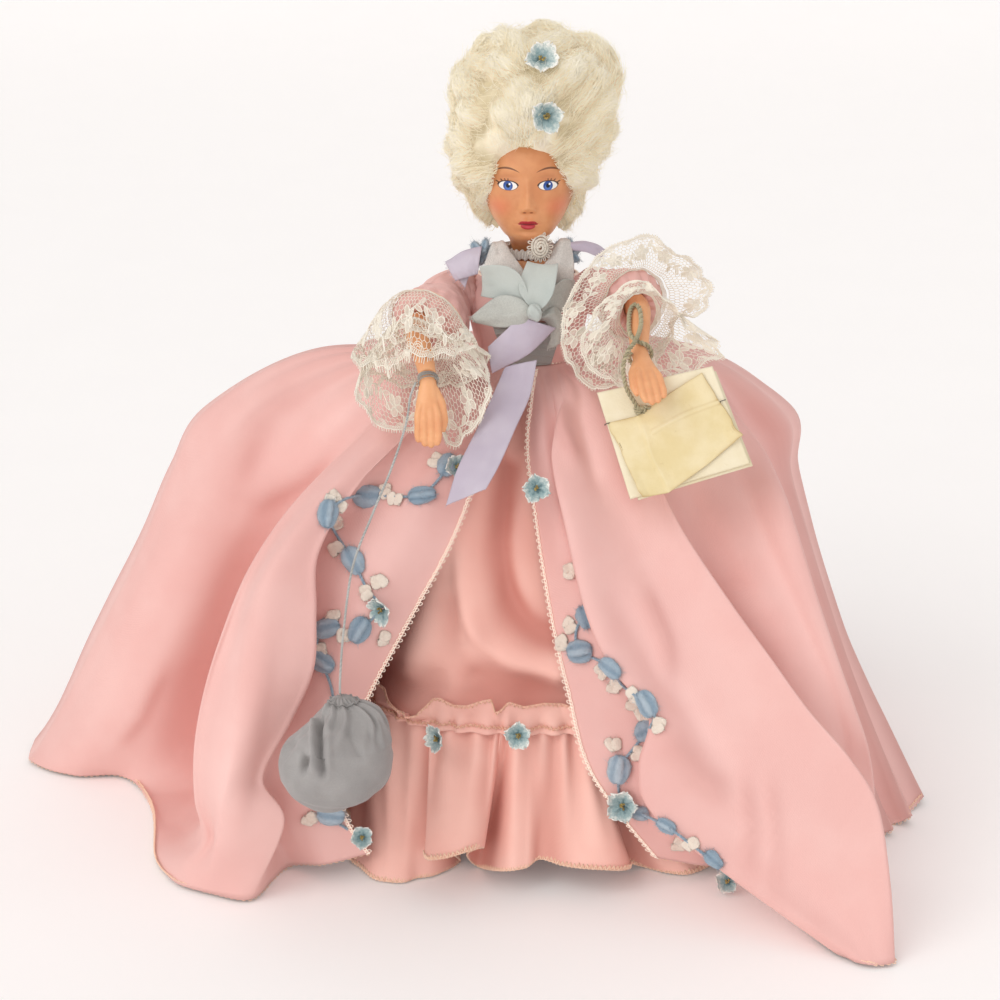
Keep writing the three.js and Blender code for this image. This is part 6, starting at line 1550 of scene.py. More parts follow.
def lace_ruffle(name, lc, body, node, pitch, motif_pitch):
    b = Build()
    L, W, g = lc.L, lc.W, lc.g
    nq = max(6, round(L / 5.0))
    q = L / nq
    nm = max(4, round(L / motif_pitch))
    p = L / nm

    def edge(s):
        return W * 0.93 + 0.55 * np.abs(np.sin(np.pi * A(s) / q)) ** 0.7 - 0.45

    solid = []  # dense places, kept free of net: centre and half sizes
    # flower sprigs
    for k in range(nm):
        s0, t0 = (k + 0.5 + 0.06 * g.standard_normal()) * p, W * (0.56 + 0.05 * g.standard_normal())
        big = min(1.0, W / 13)
        for j in range(5):
            w = j / 5 * 2 * np.pi + 0.3 * k
            du, dv = math.cos(w), math.sin(w)
            cs, ct = s0 + 1.62 * big * du, t0 + 1.62 * big * dv
            solid.append((cs, ct, 1.15 * big))
            la, lb = 1.28 * big, 0.92 * big
            e = np.linspace(0, 2 * np.pi, 17)
            ex, ey = la * np.cos(e), lb * np.sin(e)
            lc.line(b, cs + ex * du - ey * dv, ct + ex * dv + ey * du, 0.17, 0.95)
            for h in np.arange(-lb + 0.16, lb, 0.23):
                hw = la * math.sqrt(max(0, 1 - (h / lb) ** 2))
                xs = np.linspace(-hw, hw, 4)
                lc.line(b, cs + xs * du - h * dv, ct + xs * dv + h * du, 0.088, 0.8)
        e = np.linspace(0, 2 * np.pi, 11)
        lc.line(b, s0 + 0.5 * np.cos(e), t0 + 0.5 * np.sin(e), 0.16, 0.95)
        # stem to the next sprig, with leaves
        xs = np.linspace(0, p, 30)
        ts = t0 + W * 0.17 * np.sin(np.pi * xs / p) * (1 if k % 2 else -1)
        lc.line(b, s0 + xs, ts, 0.17, 0.9)
        for f, sg in ((0.3, 1), (0.42, -1), (0.56, 1), (0.7, -1)):
            i = int(f * 29)
            cs, ct = s0 + xs[i], ts[i]
            w = math.atan2(ts[i + 1] - ts[i], xs[i + 1] - xs[i]) + sg * 0.9
            du, dv = math.cos(w), math.sin(w)
            la, lb = 1.25 * big, 0.5 * big
            cs, ct = cs + la * du, ct + la * dv
            solid.append((cs, ct, 0.75 * big))
            e = np.linspace(0, 2 * np.pi, 13)
            lc.line(b, cs + la * np.cos(e) * du - lb * np.sin(e) * dv, ct + la * np.cos(e) * dv + lb * np.sin(e) * du, 0.14, 0.92)
            for h in np.arange(-lb + 0.12, lb, 0.22):
                hw = la * math.sqrt(max(0, 1 - (h / lb) ** 2))
                lc.line(b, cs + A([-hw, hw]) * du - h * dv, ct + A([-hw, hw]) * dv + h * du, 0.085, 0.8)
    # net
    n = round(L / pitch)
    c = L / n
    a = c / math.sqrt(3)
    rows = int(W / (c * 0.866)) + 1
    ii, jj = np.meshgrid(np.arange(n), np.arange(rows))
    cx, cy = (ii + 0.5 * (jj % 2)) * c, jj * c * 0.866
    corner = [(a * math.cos(math.radians(30 + 60 * k)), a * math.sin(math.radians(30 + 60 * k))) for k in range(6)]
    for k in (0, 1, 2):
        s0, t0 = cx + corner[k][0], cy + corner[k][1]
        s1, t1 = cx + corner[k + 1][0], cy + corner[k + 1][1]
        ok = (t0 > 0.9) & (t1 > 0.9) & (t0 < edge(s0) - 0.9) & (t1 < edge(s1) - 0.9)
        sm, tm = (s0 + s1) / 2, (t0 + t1) / 2
        for cs, ct, rr in solid:
            ds = (sm - cs + L / 2) % L - L / 2
            ok &= ds ** 2 + (tm - ct) ** 2 > rr ** 2
        P0, P1 = lc.pos(s0[ok], t0[ok]), lc.pos(s1[ok], t1[ok])
        segments(b, P0, P1, 0.092, 0.55 + 0.3 * g.random(len(P0)))
    # scalloped border: two cords, close stitches between, picots outside
    s = np.linspace(0, L, int(L / 0.3))
    lc.line(b, s, edge(s), 0.2, 0.95)
    lc.line(b, s, edge(s) - 0.95, 0.13, 0.85)
    s = np.linspace(0, L, int(L / 0.24))
    lc.line(b, s, edge(s) - np.where(np.arange(len(s)) % 2 == 0, 0.05, 0.9), 0.095, 0.75)
    s = np.linspace(0, L, int(L / 0.7), endpoint=False) + 0.04 * g.standard_normal(int(L / 0.7))
    segments(b, lc.pos(s, edge(s)), lc.pos(s + 0.12 * g.standard_normal(len(s)), edge(s) + 1.1 + 0.12 * g.standard_normal(len(s))), 0.12, 0.8)
    # dense half moons in each scallop
    for k in range(nq):
        s0 = (k + 0.5) * q
        for j, rr in enumerate((0.55, 0.95, 1.35)):
            e = np.linspace(0.15, np.pi - 0.15, 9)
            lc.line(b, s0 + rr * np.cos(e), edge(A([s0]))[0] - 1.0 - rr * np.sin(e), 0.12, 0.85)
    # heading
    s = np.linspace(0, L, int(L / 0.6))
    lc.line(b, s, np.full(len(s), 0.12), 0.16, 0.8)
    lc.line(b, s, np.full(len(s), 0.95), 0.11, 0.8)
    s = np.linspace(0, L, int(L / 0.42))
    lc.line(b, s, np.where(np.arange(len(s)) % 2 == 0, 0.15, 0.92), 0.08, 0.7)
    o = b.make(name, lace_m.m, body, [node], "lace")
    w, l = round(L / 1000, 4), round(max(W, 10.1) / 1000, 4)
    return o


RIMS = {
    "right_upper": [(351, 359, -24), (360, 370, -29), (377, 371, -27), (389, 379, -32), (402, 369, -30), (410, 361, -35), (424, 366, -37), (437, 361, -36), (453, 361, -37), (463, 354, -34), (480, 352, -30), (489, 362, -26), (482, 375, -24), (462, 385, -22), (430, 388, -22), (395, 385, -22), (365, 372, -22)],
    "right_lower": [(354, 399, -33), (366, 415, -37), (383, 431, -40), (399, 436, -41), (411, 432, -39), (425, 425, -37), (442, 438, -39), (449, 448, -42), (462, 445, -42), (475, 430, -40), (485, 414, -37), (493, 391, -33), (490, 372, -28), (470, 352, -24), (435, 340, -26), (400, 345, -24), (370, 372, -26)],
    "left_upper": [(596, 388, -33), (578, 380, -31), (566, 362, -28), (560, 343, -25), (561, 320, -23), (566, 300, -22), (578, 279, -20), (590, 262, -19), (603, 251, -18), (622, 240, -17), (643, 234, -16), (661, 242, -17), (676, 250, -16), (691, 261, -18), (705, 273, -17), (711, 286, -19), (711, 306, -22), (697, 313, -23), (684, 315, -22), (672, 330, -20), (665, 350, -22), (655, 372, -26), (630, 385, -31), (612, 390, -33)],
    "left_lower": [(610, 383, -33), (640, 388, -34), (664, 384, -34), (690, 375, -33), (710, 364, -31), (725, 359, -29), (714, 341, -25), (697, 333, -24), (684, 328, -22), (668, 300, -20), (640, 280, -19), (612, 292, -20), (590, 320, -23), (580, 350, -27), (590, 372, -30)],
}
for side in ("right", "left"):
    end, Tn, S, U = sleeve_end[side]
    up = Lace(end + Tn * 0.3, Tn, 10.1 if side == "right" else 8.9, RIMS[side + "_upper"], 201 if side == "right" else 203, 11 if side == "right" else 12, 0.9)
    lace_ruffle(side + "_lace_upper_tier", up, side + "_arm", side + "_lace_upper", 1.32, 10.0)
    lowc = A([-27.7, -20.6, 130.5]) if side == "right" else A([27.6, -18.8, 135.6])
    lo = Lace(lowc, Tn, 5.4, RIMS[side + "_lower"], 205 if side == "right" else 207, 9, 0.9)
    lace_ruffle(side + "_lace_lower_tier", lo, side + "_arm", side + "_lace_lower", 1.32, 10.0)
    w = np.linspace(0, 2 * np.pi, 91)
    seam = end + Tn * 0.15 + (10.2 if side == "right" else 9.0) * (np.cos(w)[:, None] * S + np.sin(w)[:, None] * U)
    Build().tube(seam[:-1], 0.16, 6, closed=True, tone=0.2).make(side + "_sleeve_seam", hem_thread, side + "_arm", (), "pink_satin")

# =================================================================================================
# cloth flowers, garlands, posies
# =================================================================================================
fl = Mat("cloth_flower", 0.7, **{"Sheen_Weight": 0.3, "Sheen_Roughness": 0.5, "Specular_IOR_Level": 0.3})
ft, fnn = fl.tone(), fl.noise(1.3, 4.0, 0.65)
mixed = fl.math("ADD", ft, fl.math("MULTIPLY", fl.math("SUBTRACT", fnn, 0.5), 1.0))
c = fl.mix(fl.ramp(mixed, 0.1, 0.48), lin("5d7c83"), lin("97aeb0"))
c = fl.mix(fl.ramp(mixed, 0.48, 0.78), c, lin("c9d3cf"))
c = fl.mix(fl.ramp(mixed, 0.76, 0.98), c, lin("f8f6ef"))
c = fl.mix(fl.ramp(ft, 1.3, 1.5), c, fl.mix(fl.ramp(fnn, 0.4, 0.65), lin("7c6a34"), lin("b9a25a")))
fl.colour(c).bump(fnn, 0.5, 0.0002).bump(fl.noise(6.0, 2.0), 0.3, 0.00008)


def flower(name, place, normal, r, spin, seed, node, body="doll_body", cup=0.5, pale=0.0):
    g = np.random.default_rng(seed)
    n = unit(normal)
    S = unit(np.cross(n, A([0.05, 0.1, 1.0])))
    U = np.cross(S, n) * -1
    b = Build()
    for layer, (count, scale, raise_) in enumerate(((5, 1.0, 0.0),)):
        for j in range(count):
            w = spin + j / count * 2 * np.pi + 0.12 * g.standard_normal() + layer * 0.6
            rr = r * scale * g.uniform(0.9, 1.08)
            rho, sig = np.meshgrid(np.linspace(0.05, 1, 15), np.linspace(-1, 1, 13), indexing="ij")
            half = rr * 0.47 * np.sin(np.pi * np.clip(rho, 0, 1) ** 1.35 * 0.86 + 0.14) ** 0.75
            tip = 1 - 0.13 * sig ** 2 * rho ** 3 - 0.1 * np.exp(-((sig - g.uniform(-0.4, 0.4)) / 0.22) ** 2) * rho ** 4 + 0.07 * rho ** 4 * np.sin(sig * 7 + g.uniform(0, 6))
            xx, yy = rr * rho * tip, half * sig
            hh = raise_ + rr * (cup * rho ** 1.6 - 0.30 * np.clip(rho - 0.66, 0, 1) ** 1.4 * g.uniform(0.2, 2.4)) + 0.30 * rr * cup * (sig ** 2) * rho + 0.10 * rr * noise2(rho * 2 + j * 9, sig * 1.7 + seed, seed) + 0.12 * (j % 2)
            d, e = math.cos(w) * S + math.sin(w) * U, -math.sin(w) * S + math.cos(w) * U
            G = A(place) + xx[..., None] * d + yy[..., None] * e + hh[..., None] * n
            tone = np.clip(0.12 + 0.72 * rho + 0.20 * np.abs(sig) ** 3 * rho - 0.12 * np.exp(-(sig / 0.15) ** 2) + 0.1 * g.standard_normal() * 0.6 + pale, 0, 1.15)
            b.sheet(G, 0.16, tone=tone)
    for j in range(13):
        w, q = g.uniform(0, 6.28), 0.12 * r * math.sqrt(g.random())
        p0 = A(place) + n * (0.1 + raise_)
        p1 = p0 + (math.cos(w) * S + math.sin(w) * U) * q * 1.5 + n * g.uniform(0.22, 0.36) * r
        b.tube(np.stack([p0, (p0 + p1) / 2, p1]), A([0.07, 0.07, 0.16]) * r / 3.3, 5, tone=2.0)
        b.tube(np.stack([p1 - n * 0.16, p1, p1 + n * 0.18]), A([0.14, 0.24, 0.1]) * r / 3.3, 6, tone=2.0)
    return b.make(name, fl.m, body, [node] if node else (), "cloth_flower")


def felt(name, light, mid, dark):
    m = Mat(name, 0.9, **{"Sheen_Weight": 0.6, "Sheen_Roughness": 0.5, "Specular_IOR_Level": 0.15})
    n1, n2 = m.noise(1.1, 4.0, 0.65), m.noise(5.0, 3.0, 0.7)
    f = m.math("ADD", m.math("MULTIPLY", m.tone(), 0.7), m.math("MULTIPLY", m.math("ADD", n1, n2), 0.25), clamp=True)
    c = m.mix(m.ramp(f, 0.1, 0.55), lin(dark), lin(mid))
    m.colour(m.mix(m.ramp(f, 0.5, 0.95), c, lin(light))).bump(n2, 0.8, 0.0003).bump(n1, 0.5, 0.0005)
    return m.m


blue = felt("blue_felt", "b9c8d3", "8fa5b7", "586c80")
white = felt("pale_felt", "f8ebdc", "eddaca", "cfb19e")


def puff(b, fz, place, along, normal, size, seed, lobes=2, tone0=0.55):
    """A small stuffed felt bead with pinched ends and grooves along it; loose fibres go to fz."""
    g = np.random.default_rng(seed)
    n = unit(normal)
    d = unit(A(along) - n * (A(along) @ n))
    e = np.cross(n, d)
    lx, ly, lz = size
    q, w = np.meshgrid(np.linspace(0.0, 1, 19), np.linspace(0, 2 * np.pi, 22, endpoint=False), indexing="ij")
    th = np.pi * (0.03 + 0.94 * q)
    rad = np.sin(th) ** 0.72
    groove = sum(np.exp(-((((w - g0 + np.pi) % (2 * np.pi)) - np.pi) / 0.3) ** 2) for g0 in ((np.pi / 2,) if lobes == 2 else (np.pi / 2 - 0.6, np.pi / 2 + 0.7)))
    k = rad * (1 - 0.30 * groove * np.sin(th) + 0.2 * noise(np.stack([np.cos(w) * 1.7 + seed, np.sin(w) * 1.7, q * 3], -1), seed) + 0.1 * noise(np.stack([np.cos(w) * 4.2 + seed, np.sin(w) * 4.2, q * 8], -1), seed + 3))
    x = -lx * np.cos(th) * (1 + 0.04 * np.sin(3 * w))
    bend = 0.12 * lx * (q - 0.5) ** 2 * 4 * g.uniform(-1, 1)
    P = A(place) + x[..., None] * d + (ly * k * np.cos(w) + bend)[..., None] * e + (lz * k * np.sin(w) + lz * 0.5)[..., None] * n
    # Paler on the side facing out, darker underneath and in the grooves on top: painted light and shade.
    tone = np.clip(tone0 + 0.28 * np.sin(w) * rad - 0.5 * groove * (np.sin(w) > 0) + 0.08 * g.standard_normal(), 0, 1)
    b.loft(P, tone)
    k = g.integers(0, P.shape[0] * P.shape[1], 190)
    p0 = P.reshape(-1, 3)[k]
    out = unit(p0 - A(place) - n * lz * 0.5)
    p1 = p0 + (0.8 * out + 0.7 * g.standard_normal((len(k), 3))) * g.uniform(0.2, 0.75, len(k))[:, None]
    more(fz, strands(np.stack([p0, (p0 + p1) / 2 + 0.06 * g.standard_normal(p0.shape), p1], 1), 0.035, np.clip(tone.ravel()[k] + 0.25, 0, 1)))


def tab(b, fz, place, along, normal, lx, ly, seed):
    """A small flat felt tab with rounded corners, a little curled, fuzzy at its rim."""
    g = np.random.default_rng(seed)
    n = unit(normal)
    d = unit(A(along) - n * (A(along) @ n))
    e = np.cross(n, d)
    x, y = np.meshgrid(np.linspace(-1, 1, 13), np.linspace(-1, 1, 11), indexing="ij")
    k = 1 - 0.17 * (x ** 2) * (y ** 2)
    h = 0.45 * g.uniform(0.4, 1.2) * x ** 2 + 0.3 * g.uniform(-1, 1) * y + 0.14 * noise2(x * 1.5 + seed, y * 1.5, seed)
    G = A(place) + (lx * x * k)[..., None] * d + (ly * y * k * (1 - 0.12 * x * g.uniform(-1, 1)))[..., None] * e + h[..., None] * n
    b.sheet(G + (0.3 * (1 - x ** 4) * (1 - y ** 4))[..., None] * n, 0.6, tone=np.clip(0.75 + 0.12 * noise2(x * 2, y * 2, seed + 1) + 0.08 * g.standard_normal(), 0, 1))
    rim = np.concatenate([G[0], G[-1], G[:, 0], G[:, -1]])
    k = g.integers(0, len(rim), 34)
    p0 = rim[k]
    p1 = p0 + (unit(p0 - A(place)) + 0.6 * g.standard_normal((len(k), 3))) * g.uniform(0.15, 0.5, len(k))[:, None]
    more(fz, strands(np.stack([p0, (p0 + p1) / 2 + 0.05 * g.standard_normal(p0.shape), p1], 1), 0.035, 0.8 + 0.15 * g.random(len(k))))


def forward(p, gap):
    """Brings a point in front of the skirt as the camera sees it, by at least gap."""
    dv = A(p) - CAM_AT
    L = np.linalg.norm(dv)
    hit = skirt_tree.ray_cast(Vector(CAM_AT), Vector(dv / L))
    if hit[0] is not None and hit[3] < L + gap:
        return CAM_AT + dv / L * (hit[3] - gap)
    return A(p)


def garland(side, node, stem_px, blue_px, white_px, seed):
    pts = [on_skirt(x, y, 0.7) for x, y in stem_px]
    pts = [p for p, n in pts if p is not None]
    path = curve(pts, 0.35)
    path = A([forward(p, 0.5) for p in path])
    for _ in range(6):
        path[1:-1] = (path[:-2] + path[1:-1] * 2 + path[2:]) / 4
    b, fz = Build(), Build()
    T, S, U = frames(path)
    ph = np.arange(len(path)) * 0.35 / 1.5 * 2 * np.pi
    for k in (0, np.pi):
        b.tube(path + 0.24 * (np.cos(ph + k)[:, None] * S + np.sin(ph + k)[:, None] * U) * 0.8, 0.24, 6, tone=0.5 + 0.15 * np.sin(ph * 0.37 + k))
    for k, (x, y, sx, sy, turn) in enumerate(blue_px):
        p, n = on_skirt(x, y, 0.35)
        if p is None:
            continue
        n = unit(n + unit(CAM_AT - p) * 0.6)
        i = int(np.argmin(np.linalg.norm(path - p, axis=1)))
        d = T[i] if turn is None else ((math.cos(math.radians(turn)) * A([1.0, 0, 0])) + math.sin(math.radians(turn)) * UP)
        puff(b, fz, p, d, n, (sx, sy * 1.16, sy * 0.6), seed + k, 2 + k % 2)
    b.make(side + "_garland_blue", blue, "doll_body", [node], "blue_trim")
    fz.make(side + "_garland_fibres", blue, "doll_body", (), "blue_trim")
    b, fz = Build(), Build()
    g = np.random.default_rng(seed + 50)
    for k, (x, y) in enumerate(white_px):
        w = g.uniform(0, 6.28)
        for m in range(2):
            p, n = on_skirt(x + 6 * m * math.sin(w), y + 6 * m * math.cos(w), 0.45)
            if p is None:
                continue
            n = unit(n + unit(CAM_AT - p) * 0.6)
            tab(b, fz, p, math.cos(w + 0.5 * m) * A([1.0, 0, 0]) + math.sin(w + 0.5 * m) * UP, n, g.uniform(1.4, 1.8), g.uniform(1.0, 1.25), seed + 60 + 3 * k + m)
    b.make(side + "_garland_tufts", white, "doll_body", (), "blue_trim")
    fz.make(side + "_garland_tuft_fibres", white, "doll_body", (), "blue_trim")


garland("right", "right_garland", [(447, 466), (440, 478), (422, 496), (400, 498), (366, 496), (345, 500), (326, 514), (335, 532), (354, 561), (366, 586), (378, 607), (359, 629), (340, 632), (327, 627), (318, 642), (323, 662), (332, 690), (334, 730), (330, 780), (331, 814), (348, 828), (362, 838)],
        [(447, 466, 3.0, 2.0, 60), (422, 496, 3.4, 2.0, 8), (366, 496, 3.6, 2.4, -5), (326, 514, 3.4, 2.2, 80), (354, 561, 3.6, 2.2, -60), (359, 629, 3.3, 2.4, 60), (327.5, 627, 3.4, 2.2, 15), (323, 662, 3.3, 2.2, -30), (331, 814, 3.4, 2.2, -10)],
        [(438.6, 459.5), (399, 501), (385.6, 489), (334, 496), (341, 507.6), (337.5, 526), (334, 550.7), (375.6, 582), (365.7, 589), (332.5, 620), (342.5, 635), (321, 647), (384, 635), (312.6, 816)], 300)
garland("left", "left_garland", [(583, 611), (582, 618), (577, 634), (581, 651), (600, 660), (613, 668), (622, 684), (634, 692), (647, 703), (655, 716), (648, 730), (634, 748), (620, 769), (622, 800), (641, 811), (667, 825), (690, 842), (713, 860), (726, 880)],
        [(586, 617, 2.8, 1.9, -70), (581, 651, 3.2, 2.4, 10), (612, 667, 3.0, 1.9, -30), (647, 703, 3.3, 2.3, -60), (648, 730, 3.3, 2.3, 25), (620, 769, 3.5, 2.5, 80), (640, 811, 2.4, 1.6, -20), (667, 825, 2.5, 1.5, -30), (714, 859, 2.5, 1.5, -40)],
        [(570, 574), (572.5, 628), (563, 646), (601, 668), (617, 683), (633, 691), (635, 700), (646, 714), (659, 722), (617, 744), (639, 750), (681, 840), (694, 842)], 400)


def skirt_flower(name, node, px, py, r, spin, seed, lift=0.9, face=None):
    p, n = on_skirt(px, py, lift)
    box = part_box(node)
    mid = (A(box[0]) + A(box[1])) / 2 * 1000 - SHIFT
    if p is None or np.linalg.norm(p - mid) > 9:
        d = ray(px, py)
        p, n = CAM_AT + d * ((mid - CAM_AT) @ d), unit(CAM_AT - mid)
    return flower(name, p, unit(n + unit(CAM_AT - p) * 0.9) if face is None else unit(face), r, spin, seed, node)


skirt_flower("right_top_flower", "right_garland_flower_top", 455, 469, 3.3, 0.4, 501, 1.6)
skirt_flower("right_middle_flower", "right_garland_flower_middle", 380, 606, 3.8, 0.9, 502, 2.2, (-0.55, -0.8, -0.15))
skirt_flower("right_bottom_flower", "right_garland_flower_bottom", 362, 838, 3.0, 0.2, 503)
skirt_flower("left_top_flower", "left_garland_flower_top", 536, 488, 3.7, 0.1, 504)
skirt_flower("left_middle_flower", "left_garland_flower_middle", 624, 801, 4.2, 0.6, 505, 1.6)
skirt_flower("left_bottom_flower", "left_garland_flower_bottom", 727, 881, 3.3, 1.1, 506)
flower("flounce_flower_one", at(439, 738, -58.8), (-0.8, -0.65, 0.1), 3.9, 0.5, 507, "flounce_flower_right")
flower("flounce_flower_two", at(518, 735, -59.8), (0.05, -1, 0.2), 3.6, 1.0, 508, "flounce_flower_left")
flower("hair_flower_one", on_wig(540, 62, 1.1)[0], on_wig(540, 62, 1.1)[1] * 0.8 + A([0.1, -0.9, 0.35]), 4.1, 0.3, 509, "hair_flower_upper", "head", 0.6, 0.12)
flower("hair_flower_two", on_wig(544, 113, 1.1)[0], on_wig(544, 113, 1.1)[1] * 0.8 + A([0.12, -0.98, 0.15]), 4.2, 0.75, 510, "hair_flower_lower", "head", 0.6, 0.08)
for side, x in (("right", -11.3), ("left", 10.6)):
    b, fz = Build(), Build()
    sg = -1 if side == "right" else 1
    n = unit(A([sg * 0.3, -0.9, 0.35]))
    c0 = A([x + (0.0 if sg < 0 else -0.9), -6.6, 148.5])
    for j in range(6):
        w = j / 6 * 2 * np.pi + 0.3
        d = A([math.cos(w), 0.15 * math.sin(w), math.sin(w)])
        puff(b, fz, c0 + d * A([2.1, 1, 1.7]) + n * 0.15 * (j % 3), d, n, (1.75, 1.2, 0.95), 520 + j + (10 if sg > 0 else 0), 2, 0.55 if j % 3 else 0.75)
    puff(b, fz, c0 + n * 0.75, A([1.0, 0, 0.3]), n, (1.3, 1.0, 0.9), 530 + (10 if sg > 0 else 0), 3, 0.8)
    b.make(side + "_posy", blue, "doll_body", [side + "_shoulder_posy"], "blue_trim")
    fz.make(side + "_posy_fibres", blue, "doll_body", (), "blue_trim")

# =================================================================================================
# neck band and rosette
# =================================================================================================
silver = thread("silver_ruching", "f3f0ea", "c6bfb6", 0.5)
beige = thread("beige_braid", "ebe2d5", "b3a797", 0.7)
a = np.linspace(-np.pi, np.pi, 480, endpoint=False)
v = np.linspace(0, 1, 11)
aa, vv = np.meshgrid(a, v)
rr = 5.2 + 0.35 * vv + 0.55 * np.abs(np.sin(21 * aa + 2 * noise2(aa * 4, 0 * aa, 541) + 1.2 * vv)) * np.sin(np.pi * (0.12 + 0.76 * vv)) + 0.12 * noise2(aa * 30, vv * 6, 542)
zz = 148.7 - 2.3 * vv + 0.25 * np.sin(21 * aa + 1.1) + 0.15 * noise2(aa * 9, vv, 543)
NG = np.stack([rr * np.sin(aa), -rr * np.cos(aa), zz], -1)
# The tone rises and falls at the pleats' spacing: painted light and shade on the silver ruching.
b = Build().sheet(NG, 0.22, True, tone=0.5 + 0.4 * np.sin(42 * aa))
b.make("neck_ruching", silver, "doll_body", ["neck_trim"], "lace")
b = Build()
n = unit(A([0.2, -1.0, 0.1]))
S = unit(np.cross(n, A([0, 0, 1.0])))
U = np.cross(S, n)
cen = at(540, 247, -11.4)
q = np.linspace(0, 1, 260)
sp = 0.35 + 2.2 * q
turn = 2 * np.pi * 3.4 * q
path = cen + (sp * np.cos(turn))[:, None] * S * 0.9 + (sp * np.sin(turn))[:, None] * U * 1.15 + (0.9 * (1 - q ** 2))[:, None] * n
T, S2, U2 = frames(path)
for k in range(3):
    b.tube(path + 0.17 * (np.cos(turn * 9 + k * 2.09)[:, None] * S2 + np.sin(turn * 9 + k * 2.09)[:, None] * U2), 0.2, 5, tone=0.5 + 0.3 * np.sin(turn * 9 + k))
for k in range(16):
    w = k / 16 * 2 * np.pi
    e = cen + math.cos(w) * S * 2.6 + math.sin(w) * U * 3.2
    d = -math.sin(w) * S * 0.8 + math.cos(w) * U
    o = math.cos(w) * S + math.sin(w) * U
    lp = A([e - o * 0.5 - d * 0.28, e + o * 0.35 - d * 0.3 + n * 0.2, e + o * 0.7, e + o * 0.35 + d * 0.3 + n * 0.2, e - o * 0.5 + d * 0.28])
    b.tube(curve(lp, 0.15), 0.16, 5, tone=0.6)
b.make("neck_rosette", beige, "doll_body", (), "lace")

# =================================================================================================
# bag and its cord
# =================================================================================================
crepe = cloth("bag_crepe", "aeaaa8", "989492", 0.75, 0.3, 3.0, 0.5, 0.14, 0.6)
rows = [  # picture row, left, right, half depth mm
    [697, 334, 349, 1.6], [700, 330, 356, 2.6], [704, 327, 365, 3.6], [709, 324, 375, 4.6], [714, 319, 382, 5.6], [722, 309, 387, 7.0], [732, 297, 390.5, 8.5], [745, 284, 393, 9.8],
    [758, 279.5, 394, 10.4], [770, 279.5, 391, 10.2], [782, 284, 384, 9.2], [793, 293, 371, 7.6], [801, 305, 355, 5.4], [806, 317, 341, 3.0], [808, 325, 332, 0.8]]
tb = table(rows, np.linspace(697, 808, 130))
yc = np.interp(tb[:, 0], [697, 716, 740, 808], [-75.4, -78.0, -82.0, -83.8])
w = np.linspace(0, 2 * np.pi, 200, endpoint=False)  # 0 to +X, quarter turn to the camera
PG = np.empty((130, 200, 3))
for k in range(130):
    l, r = at(tb[k, 1], tb[k, 0], yc[k]), at(tb[k, 2], tb[k, 0], yc[k])
    c, h = (l + r) / 2, (r[0] - l[0]) / 2
    PG[k] = c + np.stack([h * np.cos(w), -tb[k, 3] * np.sin(w), 0.3 * tb[k, 3] * np.sin(w) * 0], 1)
N = normals(PG, True)
if (N * (PG - PG.mean((0, 1)))).sum() < 0:
    N = -N
pr = tb[:, 0][:, None] * np.ones((1, 200))
px = (tb[:, 1] + tb[:, 2])[:, None] / 2 + ((tb[:, 2] - tb[:, 1]) / 2)[:, None] * np.cos(w)[None]
near = smooth(-0.1, 0.35, np.sin(w))[None]


def crease(x0, y0, x1, y1, wd, dp):
    """A fold line on the near side between two picture points."""
    d = A([x1 - x0, y1 - y0])
    L = np.linalg.norm(d)
    d = d / L
    s = (px - x0) * d[0] + (pr - y0) * d[1]
    t = -(px - x0) * d[1] + (pr - y0) * d[0]
    return dp * np.exp(-(t / wd) ** 2) * smooth(-6, 4, s) * smooth(L + 8, L - 8, s) * near


ww = w[None] + 0.25 * noise2(np.cos(w)[None] * 2, pr / 30, 601)
gath = 0.5 * np.sin(9 * ww) * smooth(732, 712, pr) * smooth(697, 704, pr) + 0.22 * np.sin(17 * ww + 1) * smooth(750, 716, pr)
disp = gath + crease(319, 712, 327, 756, 3.2, -2.6) + crease(313, 716, 318, 752, 3.0, 1.1) + crease(331, 716, 334, 748, 3.4, 0.9) + crease(309, 741, 307, 754, 3.4, -2.4) + crease(297, 734, 285, 752, 3.0, -0.6) + crease(352, 718, 366, 742, 3.6, -0.7) + crease(372, 722, 386, 738, 3.4, -0.6) + crease(300, 790, 352, 800, 4.0, -0.5)
disp = disp + 0.45 * noise(PG / 6.5, 602) + 0.2 * noise(PG / 2.6, 603)
disp = disp - 0.4 * np.exp(-((pr - 701.5) / 1.6) ** 2)
disp *= smooth(808.5, 800, pr) * 0.85 + 0.15
PG = PG + N * disp[..., None]
bag = Build().loft(PG).make("reticule_bag", crepe, "reticule", ["reticule_pouch"], "grey_blue_chiffon")
silver_cord = thread("silver_cord", "c9cac6", "8d8f8c", 0.6)
tie = Build()
ring = PG[5] + N[5] * 0.2
for k in range(2):
    tie.tube(even(ring + A([0, 0, 0.35 - 0.7 * k]), n=121, closed=True), 0.2, 6, closed=True, tone=0.5)
tie_o = tie.make("reticule_tie", thread("tie_thread", "a3a09e", "7d7a78", 0.7), "reticule", (), "cord")


def twisted(b, path, r, plies, pitch, tone=0.5, sides=6):
    """A laid cord of outer radius r."""
    T, S, U = frames(path)
    s = np.concatenate([[0], np.cumsum(np.linalg.norm(np.diff(path, axis=0), axis=1))])
    rp = r / (1 + 1 / math.sin(math.pi / plies)) if plies > 2 else r / 2
    for k in range(plies):
        a = s / pitch * 2 * np.pi + k * 2 * np.pi / plies
        b.tube(path + (r - rp) * (np.cos(a)[:, None] * S + np.sin(a)[:, None] * U), rp * 1.06, sides, tone=tone + 0.22 * np.sin(a * 0.11 + k) + (0.12 if k % 2 else -0.12))
    return b


def world(path):
    return [tuple(float(x) for x in p) for p in (A(path) + SHIFT) / 1000]


